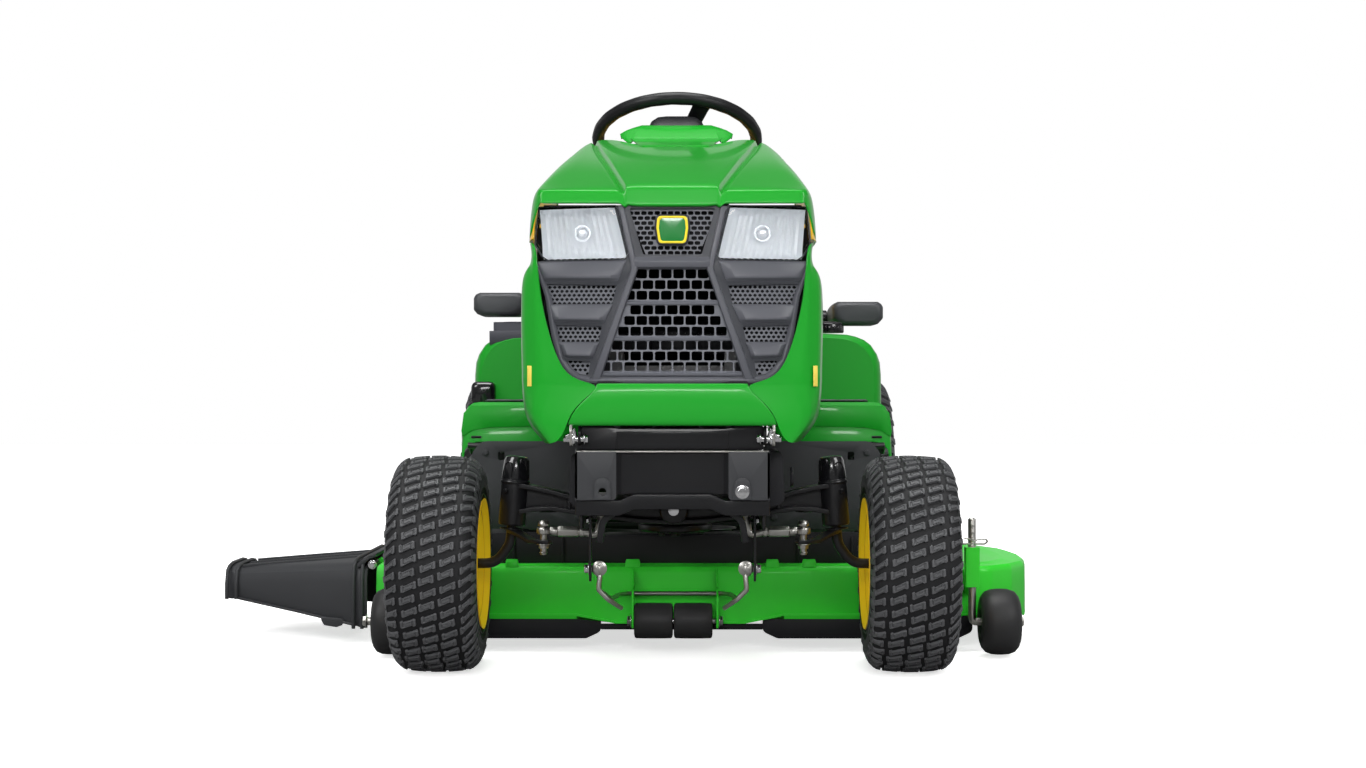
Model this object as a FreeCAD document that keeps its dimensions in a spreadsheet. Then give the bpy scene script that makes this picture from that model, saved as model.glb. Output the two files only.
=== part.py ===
"""Riding lawn mower with a side-discharge deck, as a FreeCAD parametric document.

Every piece is drawn in the tractor's own frame: origin on the ground under the middle of the front
axle, +X to the operator's left, +Y rearward and +Z up, in millimetres. FRAME then moves each piece into
the part's frame, whose origin is the bottom centre of the whole machine's box.
"""

import FreeCAD, Part
import math
import os

V = FreeCAD.Vector
X_AXIS = V(1, 0, 0)
Y_AXIS = V(0, 1, 0)
Z_AXIS = V(0, 0, 1)
SIDES = {"left": 1, "right": -1}

# --------------------------------------------------------------------------------- driving dimensions

DIMENSIONS = {
    "centre_shift": 113.1,
    "front_axle_shift": -647.7,
    "wheelbase": 1270.0,
    "front_tyre_dia": 406.0,
    "front_tyre_width": 165.0,
    "front_rim_dia": 203.0,
    "front_track": 880.0,
    "rear_tyre_dia": 559.0,
    "rear_tyre_width": 241.0,
    "rear_rim_dia": 305.0,
    "rear_track": 792.0,
    "wheel_bore_play": 0.3,
    "kingpin_span": 610.0,
    "kingpin_dia": 19.0,
    "kingpin_tilt": 4.5,
    "beam_depth": 50.0,
    "pivot_height": 306.0,
    "rail_height": 84.0,
    "rail_thickness": 6.0,
    "rail_span": 300.0,
    "sheet_metal": 4.0,
    "bumper_width": 340.0,
    "hitch_hole_dia": 19.0,
    "hood_wall": 4.0,
    "deck_top": 172.0,
    "deck_skirt": 52.0,
    "blade_length": 450.0,
    "blade_width": 60.0,
    "spindle_pitch": 431.0,
    "spindle_stagger": 182.0,
    "centre_spindle_y": 533.0,
    "gauge_wheel_dia": 130.0,
    "gauge_wheel_width": 77.0,
    "roller_dia": 70.0,
    "roller_length": 77.0,
    "steering_wheel_dia": 382.0,
    "rim_grip_dia": 28.0,
    "steering_tilt": 24.0,
    "pedal_pin_dia": 12.0,
    "seat_width": 480.0,
    "arm_pad_width": 122.0,
}

doc = FreeCAD.newDocument("RidingMower")
sheet = doc.addObject("Spreadsheet::Sheet", "Dim")
for row, (alias, value) in enumerate(DIMENSIONS.items(), start=1):
    sheet.set(f"A{row}", alias)
    sheet.set(f"B{row}", str(value))
    sheet.setAlias(f"B{row}", alias)
doc.recompute()


def size(alias):
    """The value of one cell of the sheet, in millimetres or degrees."""
    return float(getattr(sheet, alias))


FRAME = FreeCAD.Placement(V(size("centre_shift"), size("front_axle_shift"), 0), FreeCAD.Rotation())
nodes = []


# -------------------------------------------------------------------------------------- small helpers


def bind(obj, **sizes):
    """Sets each property to a number, or binds it to the sheet when the value is an expression."""
    for name, value in sizes.items():
        if isinstance(value, str):
            obj.setExpression(name, value)
        else:
            setattr(obj, name, value)
    return obj


def turn(axis, degrees):
    return FreeCAD.Rotation(axis, degrees)


def node(obj, label):
    """Marks an object as a finished sub-part, names it and moves it into the part's frame."""
    obj.Label = label
    obj.Placement = FRAME.multiply(obj.Placement)
    nodes.append(obj)
    return obj


def box(name, length, width, height, centre):
    """A Part::Box given by its centre."""
    obj = bind(doc.addObject("Part::Box", name), Length=length, Width=width, Height=height)
    doc.recompute()
    half = V(float(obj.Length) / 2, float(obj.Width) / 2, float(obj.Height) / 2)
    obj.Placement.Base = V(*centre) - half
    return obj


def rod(name, radius, height, start, direction=Z_AXIS):
    """A Part::Cylinder from its start point along a direction."""
    obj = bind(doc.addObject("Part::Cylinder", name), Radius=radius, Height=height)
    obj.Placement = FreeCAD.Placement(V(*start), FreeCAD.Rotation(Z_AXIS, direction))
    return obj


def cut(name, base, *tools):
    """A Part::Cut of one base by one tool, or by the fusion of several."""
    tool = tools[0] if len(tools) == 1 else fuse(name + "_tools", *tools)
    obj = doc.addObject("Part::Cut", name)
    obj.Base = base
    obj.Tool = tool
    return obj


def fuse(name, *shapes):
    obj = doc.addObject("Part::MultiFuse", name)
    obj.Shapes = list(shapes)
    return obj


def group(name, *shapes):
    """A Part::Compound of separate solids that share one node."""
    obj = doc.addObject("Part::Compound", name)
    obj.Links = list(shapes)
    return obj


def feature(name, shape):
    """A Part::Feature for a shape that needs Part's own functions."""
    obj = doc.addObject("Part::Feature", name)
    obj.Shape = shape
    return obj


def rounded(points, radius):
    """Lines and arcs round a closed outline of 2D points, with every corner rounded by up to radius."""
    corners = []
    count = len(points)
    for i in range(count):
        before, here, after = points[i - 1], points[i], points[(i + 1) % count]
        back = (before - here).normalize() if (before - here).Length else V()
        ahead = (after - here).normalize()
        bend = math.pi - back.getAngle(ahead)
        reach = min((before - here).Length, (after - here).Length) * 0.49
        trim = min(radius * math.tan(bend / 2), reach)
        if bend < 0.01 or radius <= 0:
            corners.append((here, here, here))
            continue
        inset = trim / math.tan(bend / 2)
        middle = (back + ahead).normalize() * (math.hypot(trim, inset) - inset)
        corners.append((here + back * trim, here + middle, here + ahead * trim))
    edges = []
    for i in range(count):
        start, crown, end = corners[i]
        if (start - end).Length > 1e-6:
            edges.append(Part.Arc(start, crown, end))
        following = corners[(i + 1) % count][0]
        if (following - end).Length > 1e-6:
            edges.append(Part.LineSegment(end, following))
    return edges


def sketch_on(body, role, points, radius=0.0):
    """A sketch of a rounded outline on one of the body's own origin planes."""
    plane = [o for o in body.Origin.OriginFeatures if o.Role == role][0]
    sketch = body.newObject("Sketcher::SketchObject", body.Name + "_outline")
    sketch.AttachmentSupport = [(plane, "")]
    sketch.MapMode = "FlatFace"
    for edge in rounded([V(*p, 0) for p in points], radius):
        sketch.addGeometry(edge)
    return sketch


def plate(name, role, points, thickness, at=(0, 0, 0), radius=0.0):
    """A PartDesign body: an outline padded evenly to both sides of its plane."""
    body = doc.addObject("PartDesign::Body", name)
    pad = body.newObject("PartDesign::Pad", name + "_pad")
    pad.Profile = sketch_on(body, role, points, radius)
    bind(pad, Length=thickness)
    pad.Midplane = True
    body.Placement.Base = V(*at)
    return body


def turned(name, points, at=(0, 0, 0), axis=Z_AXIS, radius=0.0):
    """A PartDesign body: an outline of (radius, height) points turned about its upright axis."""
    body = doc.addObject("PartDesign::Body", name)
    sketch = sketch_on(body, "XZ_Plane", points, radius)
    spin = body.newObject("PartDesign::Revolution", name + "_spin")
    spin.Profile = sketch
    spin.ReferenceAxis = (sketch, ["V_Axis"])
    spin.Angle = 360
    body.Placement = FreeCAD.Placement(V(*at), FreeCAD.Rotation(Z_AXIS, axis))
    return body


def bent_path(points, radius):
    """A wire of straight runs joined by tangent arcs."""
    corners = []
    for before, here, after in zip(points, points[1:], points[2:]):
        back = (before - here).normalize()
        ahead = (after - here).normalize()
        bend = math.pi - back.getAngle(ahead)
        reach = 0.45 * min((before - here).Length, (after - here).Length)
        trim = min(radius * math.tan(bend / 2), reach)
        inset = trim / math.tan(bend / 2)
        middle = (back + ahead).normalize() * (math.hypot(trim, inset) - inset)
        corners.append((here + back * trim, here + middle, here + ahead * trim))
    edges = []
    last = points[0]
    for start, crown, end in corners:
        edges.append(Part.LineSegment(last, start).toShape())
        edges.append(Part.Arc(start, crown, end).toShape())
        last = end
    edges.append(Part.LineSegment(last, points[-1]).toShape())
    return Part.Wire(edges)


def bent_rod(name, points, diameter, radius):
    """A round bar bent along a path of points."""
    path = bent_path([V(*p) for p in points], radius)
    circle = Part.Circle(V(*points[0]), V(*points[1]) - V(*points[0]), diameter / 2)
    return feature(name, path.makePipeShell([Part.Wire(circle.toShape())], True, True))


def ring_outline(section):
    """A closed wire through points of one level section."""
    return Part.makePolygon([V(*p) for p in section] + [V(*section[0])])


def loft(sections, ruled=True):
    return Part.makeLoft([ring_outline(s) for s in sections], True, ruled)


# -------------------------------------------------------------------------------------------- chassis


def build_chassis():
    rail_x = size("rail_span") / 2
    rails = []
    for side, sign in SIDES.items():
        rail = box(
            f"rail_{side}", "Dim.rail_thickness", 1610, "Dim.rail_height", (sign * rail_x, 585, 385),
        )
        lip = box(f"rail_lip_{side}", 26, 1610, "Dim.rail_thickness", (sign * (rail_x - 10), 585, 424))
        rails += [rail, lip]
    cross = [
        box(f"cross_member_{i}", 293.5, 40, 12, (0, y, 415 - 40 * (i == 0)))
        for i, y in enumerate((20, 560, 900))
    ]
    # Hitch plate across the back, bent to a shelf with one hole on the centre line.
    shelf = plate(
        "hitch_shelf", "XY_Plane", [(-75, 0), (75, 0), (75, 60), (40, 95), (-40, 95), (-75, 60)], 8,
        (0, 1391, 300), 12
    )
    wall = box("hitch_wall", 290, 8, 130, (0, 1386, 361))
    hole = rod("hitch_hole", "Dim.hitch_hole_dia / 2", 40, (0, 1458, 280))
    engine_plate = cut(
        "engine_plate",
        box("engine_plate_blank", 293.5, 420, 4, (0, 240, 425)),
        rod("engine_plate_hole", 40, 30, (0, 230, 410)),
    )
    seat_post = box("seat_post", 290, 12, 216, (0, 1130, 529))
    blank = fuse("frame_blank", *rails, *cross, shelf, wall, engine_plate, seat_post)
    node(cut("frame_weldment", blank, hole), "main_frame")


def build_bumper():
    half = size("bumper_width") / 2
    outline = [(-half, 337), (half, 337), (half, 423), (half - 12, 430), (12 - half, 430), (-half, 423)]
    panel = plate("bumper_panel", "XZ_Plane", outline, 6, (0, -285, 0), 3)
    window = box("bumper_recess", 196, 3, 86, (0, -287.5, 383))
    holes = [
        rod(f"bumper_hole_{side}", 6.5, 20, (sign * 122, -295, 352), Y_AXIS)
        for side, sign in SIDES.items()
    ]
    returns = [
        box(f"bumper_return_{side}", 6, 90, 84, (sign * (half - 3), -239, 381))
        for side, sign in SIDES.items()
    ]
    shelf = box("bumper_shelf", 328, 88, 5, (0, -238, 340))
    body = fuse("bumper_blank", cut("bumper_face", panel, window, *holes), shelf, *returns)
    node(body, "front_bumper_bracket")
    bolt = fuse(
        "bumper_bolt_parts",
        rod("bumper_bolt_head", 10, 7, (122, -295.5, 352), Y_AXIS),
        rod("bumper_bolt_shank", 6.2, 22, (122, -289, 352), Y_AXIS),
    )
    node(bolt, "bumper_bolt")
    back = plate(
        "nose_plate_body",
        "XZ_Plane",
        [(-162, 424), (162, 424), (162, 470), (130, 476), (-130, 476), (-162, 470)],
        4,
        (0, -223.2, 0),
        4,
    )
    node(back, "nose_plate")
    # Axle carrier: two upright plates under a top plate, bored for the axle's pivot pin.
    pivot_z = size("pivot_height")
    walls = [
        plate(
            f"carrier_wall_{i}",
            "XZ_Plane",
            [(-66, 274), (66, 274), (78, 343), (-78, 343)],
            6,
            (0, y, 0),
            3,
        )
        for i, y in enumerate((-38, 38))
    ]
    roof = box("carrier_roof", 288, 300, 6, (0, -90, 346.5))
    pin_hole = rod("carrier_bore", 10.0, 140, (0, -70, pivot_z), Y_AXIS)
    node(cut("carrier", fuse("carrier_blank", roof, *walls), pin_hole), "axle_carrier")
    pin = fuse(
        "pivot_pin_parts",
        rod("pivot_pin_shank", 10.0, 92, (0, -46, pivot_z), Y_AXIS),
        rod("pivot_pin_head", 17, 9, (0, -55, pivot_z), Y_AXIS),
    )
    node(pin, "axle_pivot_pin")
    straps = []
    for side, sign in SIDES.items():
        strap = plate(
            f"strap_{side}",
            "YZ_Plane",
            [(-12, 190), (12, 190), (16, 300), (30, 336), (-30, 336), (-16, 300)],
            6,
            (sign * 145, -245, 0),
            4,
        )
        eye = rod(f"strap_eye_hole_{side}", 6.05, 40, (sign * 145 - 20, -245, 214), X_AXIS)
        straps.append(cut(f"strap_cut_{side}", strap, eye))
    node(group("deck_hanger_straps_all", *straps), "deck_hanger_straps")
    eyes = []
    for side, sign in SIDES.items():
        stud = rod(f"eye_stud_{side}", 6, 34, (sign * 157, -245, 214), V(-sign, 0, 0))
        nut = rod(f"eye_nut_{side}", 11, 8, (sign * 157, -245, 214), V(-sign, 0, 0))
        eyes.append(fuse(f"eye_pin_{side}", stud, nut))
    node(group("hanger_pins_all", *eyes), "deck_hanger_pins")


# ------------------------------------------------------------------------------- front axle, steering


def kingpin_point(sign, height):
    """The point on a kingpin's axis at a height."""
    lean = math.tan(math.radians(size("kingpin_tilt")))
    return V(sign * (size("kingpin_span") / 2 - (height - 270) * lean), 0, height)


def build_front_axle():
    pivot_z = size("pivot_height")
    half = [
        (0, 330), (150, 320), (278, 350), (290, 350), (296, 288), (262, 284), (225, 300), (150, 286),
        (0, 276),
    ]
    outline = half + [(-x, z) for x, z in half[-2:0:-1]]
    beam = plate("beam_web", "XZ_Plane", outline, "Dim.beam_depth", (0, 0, 0), 8)
    hollows = []
    for side, sign in SIDES.items():
        inner = [(95, 316), (150, 311), (262, 337), (262, 296), (222, 309), (150, 296), (95, 292)]
        for face in (-1, 1):
            hollows.append(
                plate(
                    f"beam_hollow_{side}_{face + 1}",
                    "XZ_Plane",
                    [(sign * x, z) for x, z in inner],
                    30,
                    (0, face * 23, 0),
                    5,
                )
            )
    pieces = [beam]
    bores = [rod("beam_pivot_bore", 10.15, 120, (0, -60, pivot_z), Y_AXIS)]
    for side, sign in SIDES.items():
        low, high = kingpin_point(sign, 275), kingpin_point(sign, 364)
        pieces.append(rod(f"kingpin_tube_{side}", 25.5, (high - low).Length, low, high - low))
        below = kingpin_point(sign, 250)
        bores.append(rod(f"kingpin_bore_{side}", "Dim.kingpin_dia / 2 + 0.08", 140, below, high - low))
    webbed = cut("beam_pockets", beam, *hollows)
    solid = fuse("beam_blank", webbed, *pieces[1:])
    node(cut("beam_bored", solid, *bores), "front_axle_beam")


def build_spindles():
    wheel_z = size("front_tyre_dia") / 2
    for side, sign in SIDES.items():
        top = kingpin_point(sign, 372)
        bend = kingpin_point(sign, 240)
        points = [tuple(top), tuple(bend), (sign * 334, 0, wheel_z), (sign * 470, 0, wheel_z)]
        bar = bent_rod(f"spindle_bar_{side}", points, size("kingpin_dia"), 40)
        node(bar, f"spindle_{side}")
        # Steering arm: a flat bar welded to the spindle that drops inward and forward to the ball stud.
        arm_points = [
            (sign * 304.5, -9.6, 266), (sign * 290, -30, 262), (sign * 262, -68, 250),
            (sign * 226, -96, 250),
        ]
        arm = feature(f"arm_bar_{side}", flat_bar(arm_points, 24, 7))
        boss = rod(
            f"arm_boss_{side}", 16, 10, tuple(kingpin_point(sign, 258)),
            kingpin_point(sign, 268) - kingpin_point(sign, 258),
        )
        bore = rod(
            f"arm_bore_{side}", "Dim.kingpin_dia / 2", 60, tuple(kingpin_point(sign, 240)),
            kingpin_point(sign, 268) - kingpin_point(sign, 258),
        )
        ball_hole = rod(f"arm_hole_{side}", 6, 30, (sign * 239, -85, 236))
        node(
            cut(f"arm_{side}", fuse(f"arm_blank_{side}", arm, boss), bore, ball_hole),
            f"steering_arm_{side}",
        )
        stud = fuse(
            f"ball_stud_parts_{side}",
            rod(f"ball_stud_bolt_{side}", 6, 60, (sign * 239, -85, 226)),
            rod(f"ball_stud_nut_{side}", 11, 11, (sign * 239, -85, 233)),
            rod(f"ball_stud_head_{side}", 10, 7, (sign * 239, -85, 281)),
        )
        node(stud, f"ball_stud_{side}")
        cap = turned(
            f"cap_{side}",
            [(0, 39), (19, 39), (24, 34), (25.4, 0), (22.6, 0), (21.4, 30), (0, 30)],
            tuple(kingpin_point(sign, 364.4)),
            kingpin_point(sign, 380) - kingpin_point(sign, 364),
        )
        node(cap, f"kingpin_cap_{side}")


def flat_bar(points, width, thickness):
    """A flat bar that follows points, made of one straight slab per run, fused at the bends."""
    slabs = []
    for a, b in zip(points, points[1:]):
        start, end = V(*a), V(*b)
        run = end - start
        across = run.cross(Z_AXIS).normalize()
        up = across.cross(run).normalize()
        corners = [across * (width / 2), across * (-width / 2)]
        lower = [start + corners[0] - up * (thickness / 2), start + corners[1] - up * (thickness / 2)]
        ring = [lower[0], lower[1], lower[1] + up * thickness, lower[0] + up * thickness]
        face = Part.Face(Part.makePolygon(ring + [ring[0]]))
        slabs.append(face.extrude(run))
        slabs.append(Part.makeCylinder(width / 2, thickness, end - up * (thickness / 2), up))
    return slabs[0].multiFuse(slabs[1:]).removeSplitter()


def build_steering_linkage():
    for side, sign in SIDES.items():
        eye = rod(f"tie_eye_{side}", 13, 12, (sign * 239, -85, 264))
        eye_hole = rod(f"tie_eye_hole_{side}", 6.1, 30, (sign * 239, -85, 255))
        shank = rod(f"tie_turnbuckle_{side}", 9, 44, (sign * 224, -85, 268), V(-sign, 0, 0))
        points = [(sign * 182, -85, 268), (sign * 139, -85, 262), (sign * 134, -85, 297)]
        bend = bent_rod(f"tie_bend_{side}", points, 13, 14)
        eye_ring = cut(f"tie_ring_{side}", eye, eye_hole)
        neck = rod(f"tie_neck_{side}", 6, 14, (sign * 232, -85, 269), V(-sign, 0, 0))
        neck_cut = cut(
            f"tie_neck_cut_{side}", neck, rod(f"tie_neck_hole_{side}", 6.1, 30, (sign * 239, -85, 255)),
        )
        node(fuse(f"tie_rod_body_{side}", eye_ring, neck_cut, shank, bend), f"tie_rod_{side}")
    # Relay bar ahead of the axle: it slides across under two guides and carries both tie rods along.
    relay_y, relay_z = -85, 325
    bar = box("relay_bar", 320, 36, 6, (0, relay_y, relay_z))
    node(bar, "steering_relay_bar")
    guides = []
    for side, sign in SIDES.items():
        block = box(f"guide_block_{side}", 18, 60, 29.8, (sign * 62, relay_y, 328.5))
        slot = box(f"guide_slot_{side}", 40, 36.6, 6.6, (sign * 62, relay_y, relay_z))
        guides.append(cut(f"guide_{side}", block, slot))
    node(group("relay_guides_all", *guides), "relay_guides")


def build_steering_column():
    tilt = math.radians(size("steering_tilt"))
    radius = size("steering_wheel_dia") / 2 - size("rim_grip_dia") / 2
    centre = V(0, 765, 1086)
    axis = V(0, math.sin(tilt), math.cos(tilt))
    rim = bind(doc.addObject("Part::Torus", "rim"), Radius1=radius, Radius2="Dim.rim_grip_dia / 2")
    rim.Placement = FreeCAD.Placement(centre, FreeCAD.Rotation(Z_AXIS, axis))
    # Spokes dip from the rim to the hub, at three, nine and six o'clock as the driver sees them.
    hub_centre = centre - axis * 42
    down_wheel = V(0, math.cos(tilt), -math.sin(tilt))
    spokes = []
    for i, direction in enumerate((X_AXIS, V(-1, 0, 0), down_wheel)):
        start = hub_centre + axis * 8 + direction * 30
        end = centre + direction * (radius - 6)
        run = end - start
        bar = Part.makeBox(run.Length, 30, 11, V(0, -15, -5.5))
        across = axis.cross(direction)
        up = run.cross(across).normalize()
        matrix = FreeCAD.Matrix(*run.normalize(), 0, *across, 0, *up, 0, 0, 0, 0, 1)
        matrix.transpose()
        placement = FreeCAD.Placement(matrix)
        placement.Base = start
        bar.Placement = placement
        spokes.append(feature(f"spoke_{i}", bar))
    hub = rod("steering_hub", 42, 24, tuple(hub_centre - axis * 6), axis)
    node(fuse("steering_wheel_blank", rim, hub, *spokes), "steering_wheel")
    hub_cap = turned(
        "hub_cap_body", [(0, 0), (36, 0), (36, 6), (28, 11), (0, 12)], tuple(hub_centre + axis * 18),
        axis,
    )
    node(hub_cap, "steering_hub_cap")
    shaft_end = hub_centre - axis * 6
    node(rod("column_shaft", 9.5, 560, tuple(shaft_end - axis * 560), axis), "steering_shaft")
    boot = turned(
        "column_boot_body",
        [(10.4, 0), (48, 0), (40, 16), (30, 28), (24, 58), (10.4, 58)],
        tuple(shaft_end - axis * 64),
        axis,
    )
    node(boot, "column_boot")


# --------------------------------------------------------------------------------------------- wheels


def build_wheel(prefix, side, centre, outside, width, rim_dia, bore):
    """A tyre with a hollow carcass and a dished steel rim on one axle line, along X."""
    sign = SIDES[side]
    outer, half, bead = outside / 2, width / 2, rim_dia / 2 + 3
    wall, seat = 9.0, half - 20
    tyre = [
        (bead, -seat - 6), (bead + 20, -half + 4), (outer - 50, -half), (outer - 22, -half + 3),
        (outer - 5, -half + 22),
        (outer, -half + 44), (outer, half - 44), (outer - 5, half - 22), (outer - 22, half - 3),
        (outer - 50, half),
        (bead + 20, half - 4), (bead, seat + 6), (bead, seat - 8), (bead + 18, half - wall - 5),
        (outer - 46, half - wall),
        (outer - 20, half - 24), (outer - wall - 4, half - 50), (outer - wall - 4, 50 - half),
        (outer - 20, 24 - half),
        (outer - 46, wall - half), (bead + 18, wall + 5 - half), (bead, 8 - seat),
    ]
    node(turned(f"{prefix}_tyre_body_{side}", tyre, centre, X_AXIS, 6), f"{prefix}_tyre_{side}")
    flange, gauge = bead + 15, 3.0
    # The disc sits outboard of the middle, so its dish faces the axle.
    disc = sign * 8
    rim = [
        (bead - 0.4, -seat + 4), (bead - 0.4, seat - 4), (bead - 0.4, seat + 10), (flange, seat + 14),
        (flange, seat + 17), (bead - 5, seat + 14), (bead - 5, seat - 2), (bead - 5, disc + 5),
        (bore + 14, disc + 5), (bore + 14, disc + 34), (bore, disc + 34), (bore, disc - 34),
        (bore + 14, disc - 34), (bore + 14, disc + 5 - gauge - 5), (bead - 5, disc - gauge - 5),
        (bead - 5, -seat + 2), (bead - 5, -seat - 14), (flange, -seat - 17), (flange, -seat - 14),
        (bead - 0.4, -seat - 10),
    ]
    body = turned(f"{prefix}_rim_body_{side}", rim, centre, X_AXIS)
    node(body, f"{prefix}_rim_{side}")


def build_wheels():
    front_z = size("front_tyre_dia") / 2
    rear_z = size("rear_tyre_dia") / 2
    play = size("wheel_bore_play")
    for side, sign in SIDES.items():
        x = sign * size("front_track") / 2
        bore = size("kingpin_dia") / 2 + play
        build_wheel(
            "front", side, (x, 0, front_z), size("front_tyre_dia"), size("front_tyre_width"),
            size("front_rim_dia"), bore,
        )
        cap = turned(
            f"front_hub_cap_body_{side}",
            [(0, 16), (14, 13), (20, 0), (17, 0), (12, 10), (0, 12.5)],
            (x + sign * 43, 0, front_z),
            V(sign, 0, 0),
        )
        node(cap, f"front_hub_cap_{side}")
        x = sign * size("rear_track") / 2
        centre = (x, size("wheelbase"), rear_z)
        build_wheel(
            "rear", side, centre, size("rear_tyre_dia"), size("rear_tyre_width"), size("rear_rim_dia"),
            12.7 + play,
        )


# ----------------------------------------------------------------------------------- engine and drive


def build_engine():
    block = box("crankcase", 250, 300, 148, (0, 230, 501.2))
    heads = [
        box(f"cylinder_head_{side}", 96, 150, 110, (sign * 150, 60, 540))
        for side, sign in SIDES.items()
    ]
    fins = [
        box(f"fin_{side}_{i}", 108, 6, 122, (sign * 150, 24 * i, 540))
        for side, sign in SIDES.items()
        for i in range(6)
    ]
    node(fuse("engine_blank", block, *heads, *fins), "engine_block")
    shroud = turned(
        "shroud_body", [(0, 0), (150, 0), (150, 40), (120, 66), (0, 70)], (0, 235, 601.4), Z_AXIS, 8,
    )
    node(shroud, "engine_fan_shroud")
    node(rod("crankshaft_body", 14, 150, (0, 230, 274.5)), "crankshaft")
    clutch = turned(
        "clutch_body",
        [(14.5, 0), (82, 0), (82, 26), (70, 30), (70, 38), (82, 42), (82, 58), (14.5, 58)],
        (0, 230, 292),
    )
    node(clutch, "blade_clutch")
    can = rod("muffler_can", 55, 190, (-95, -114, 500), X_AXIS)
    pipe = bent_rod(
        "exhaust_pipe", [(70, -114, 500), (110, -114, 500), (140, -64, 500), (150, -25, 520)], 30, 30,
    )
    node(fuse("muffler_blank", can, pipe), "muffler")
    case = box("battery_case", 130, 100, 130, (90, 500, 494.4))
    node(case, "battery")


def build_transaxle():
    rear_z = size("rear_tyre_dia") / 2
    y = size("wheelbase")
    case = box("transaxle_case", 280, 190, 150, (0, y, rear_z - 2))
    sump = box("transaxle_sump", 460, 120, 44, (0, y - 40, rear_z - 84))
    pump = rod("transaxle_pump", 70, 60, (0, y - 40, rear_z + 70))
    tubes = [
        rod(f"axle_tube_{side}", 32, 92, (sign * 138, y, rear_z), V(sign, 0, 0))
        for side, sign in SIDES.items()
    ]
    bore = rod("axle_bore", 12.8, 520, (-260, y, rear_z), X_AXIS)
    node(cut("transaxle_bored", fuse("transaxle_blank", case, sump, pump, *tubes), bore), "transaxle")
    for side, sign in SIDES.items():
        shaft = rod(f"half_shaft_{side}", 12.7, 330, (sign * 142, y, rear_z), V(sign, 0, 0))
        node(shaft, f"rear_axle_shaft_{side}")


# ----------------------------------------------------------------------------------------------- hood

# Each station: y, then half width and height at the sill, the waist, the shoulder and the flat top.
HOOD_STATIONS = (
    (-296, (205, 470), (244, 640), (240, 852), (80, 862)),
    (-255, (240, 450), (262, 650), (250, 874), (92, 894)),
    (0, (262, 452), (282, 750), (262, 915), (122, 952)),
    (550, (270, 560), (284, 760), (262, 985), (174, 1048)),
)
NOSE_Y = -291.0


def hood_section(y, corners, inset=0.0, drop=0.0):
    """One cross-section of the hood; inset draws it in and drop lowers its open bottom."""
    sill, waist, shoulder, top = corners
    right = [
        (sill[0] - inset, y, sill[1] - drop),
        (waist[0] - inset, y, waist[1]),
        (shoulder[0] - inset, y, shoulder[1] - inset * 0.6),
        (top[0] - inset * 0.4, y, top[1] - inset),
    ]
    return right + [(-x, y_, z) for x, y_, z in reversed(right)]


def extended(station, following, step):
    """The station carried on in a straight line past the end of the hood."""
    share = step / (following[0] - station[0])
    corners = [
        tuple(a + (a - b) * share for a, b in zip(here, there))
        for here, there in zip(station[1:], following[1:])
    ]
    return (station[0] - step, *corners)


def prism(points, y_from, depth):
    """A solid between a front-view outline at one y and the same outline further back."""
    ring = [V(x, y_from, z) for x, z in points]
    return Part.Face(Part.makePolygon(ring + [ring[0]])).extrude(V(0, depth, 0))


def both_halves(half):
    """Closes a right-hand outline with its mirror image."""
    return half + [(-x, z) for x, z in reversed(half)]


def hood_shell_shape():
    wall = size("hood_wall")
    front, back = HOOD_STATIONS[0], HOOD_STATIONS[-1]
    inner = [
        extended(front, HOOD_STATIONS[1], 10), *HOOD_STATIONS[1:-1],
        extended(back, HOOD_STATIONS[-2], -10),
    ]
    outer_shape = loft([hood_section(y, corners) for y, *corners in HOOD_STATIONS])
    inner_shape = loft([hood_section(y, corners, wall, 60) for y, *corners in inner])
    shell = outer_shape.cut(inner_shape)
    lamp_notch = Part.makeBox(700, 100, 116, V(-350, -330, 748))
    return max(shell.cut(lamp_notch).Solids, key=lambda solid: solid.Volume)


LAMP_OUTLINE = [(84, 752), (108, 856), (246, 850), (250, 778), (238, 752)]
FRAME_OUTLINE = [(150, 542), (196, 566), (222, 640), (232, 746), (78, 746), (101, 848)]
MAIN_OPENING = [(129, 552), (57, 740)]
UPPER_OPENING = [(49, 770), (80, 844)]
SIDE_LOUVRES = (
    [(104, 712), (112, 686), (214, 686), (222, 712)],
    [(126, 652), (136, 624), (202, 624), (210, 652)],
    [(150, 590), (158, 572), (178, 572), (192, 590)],
)


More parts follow.
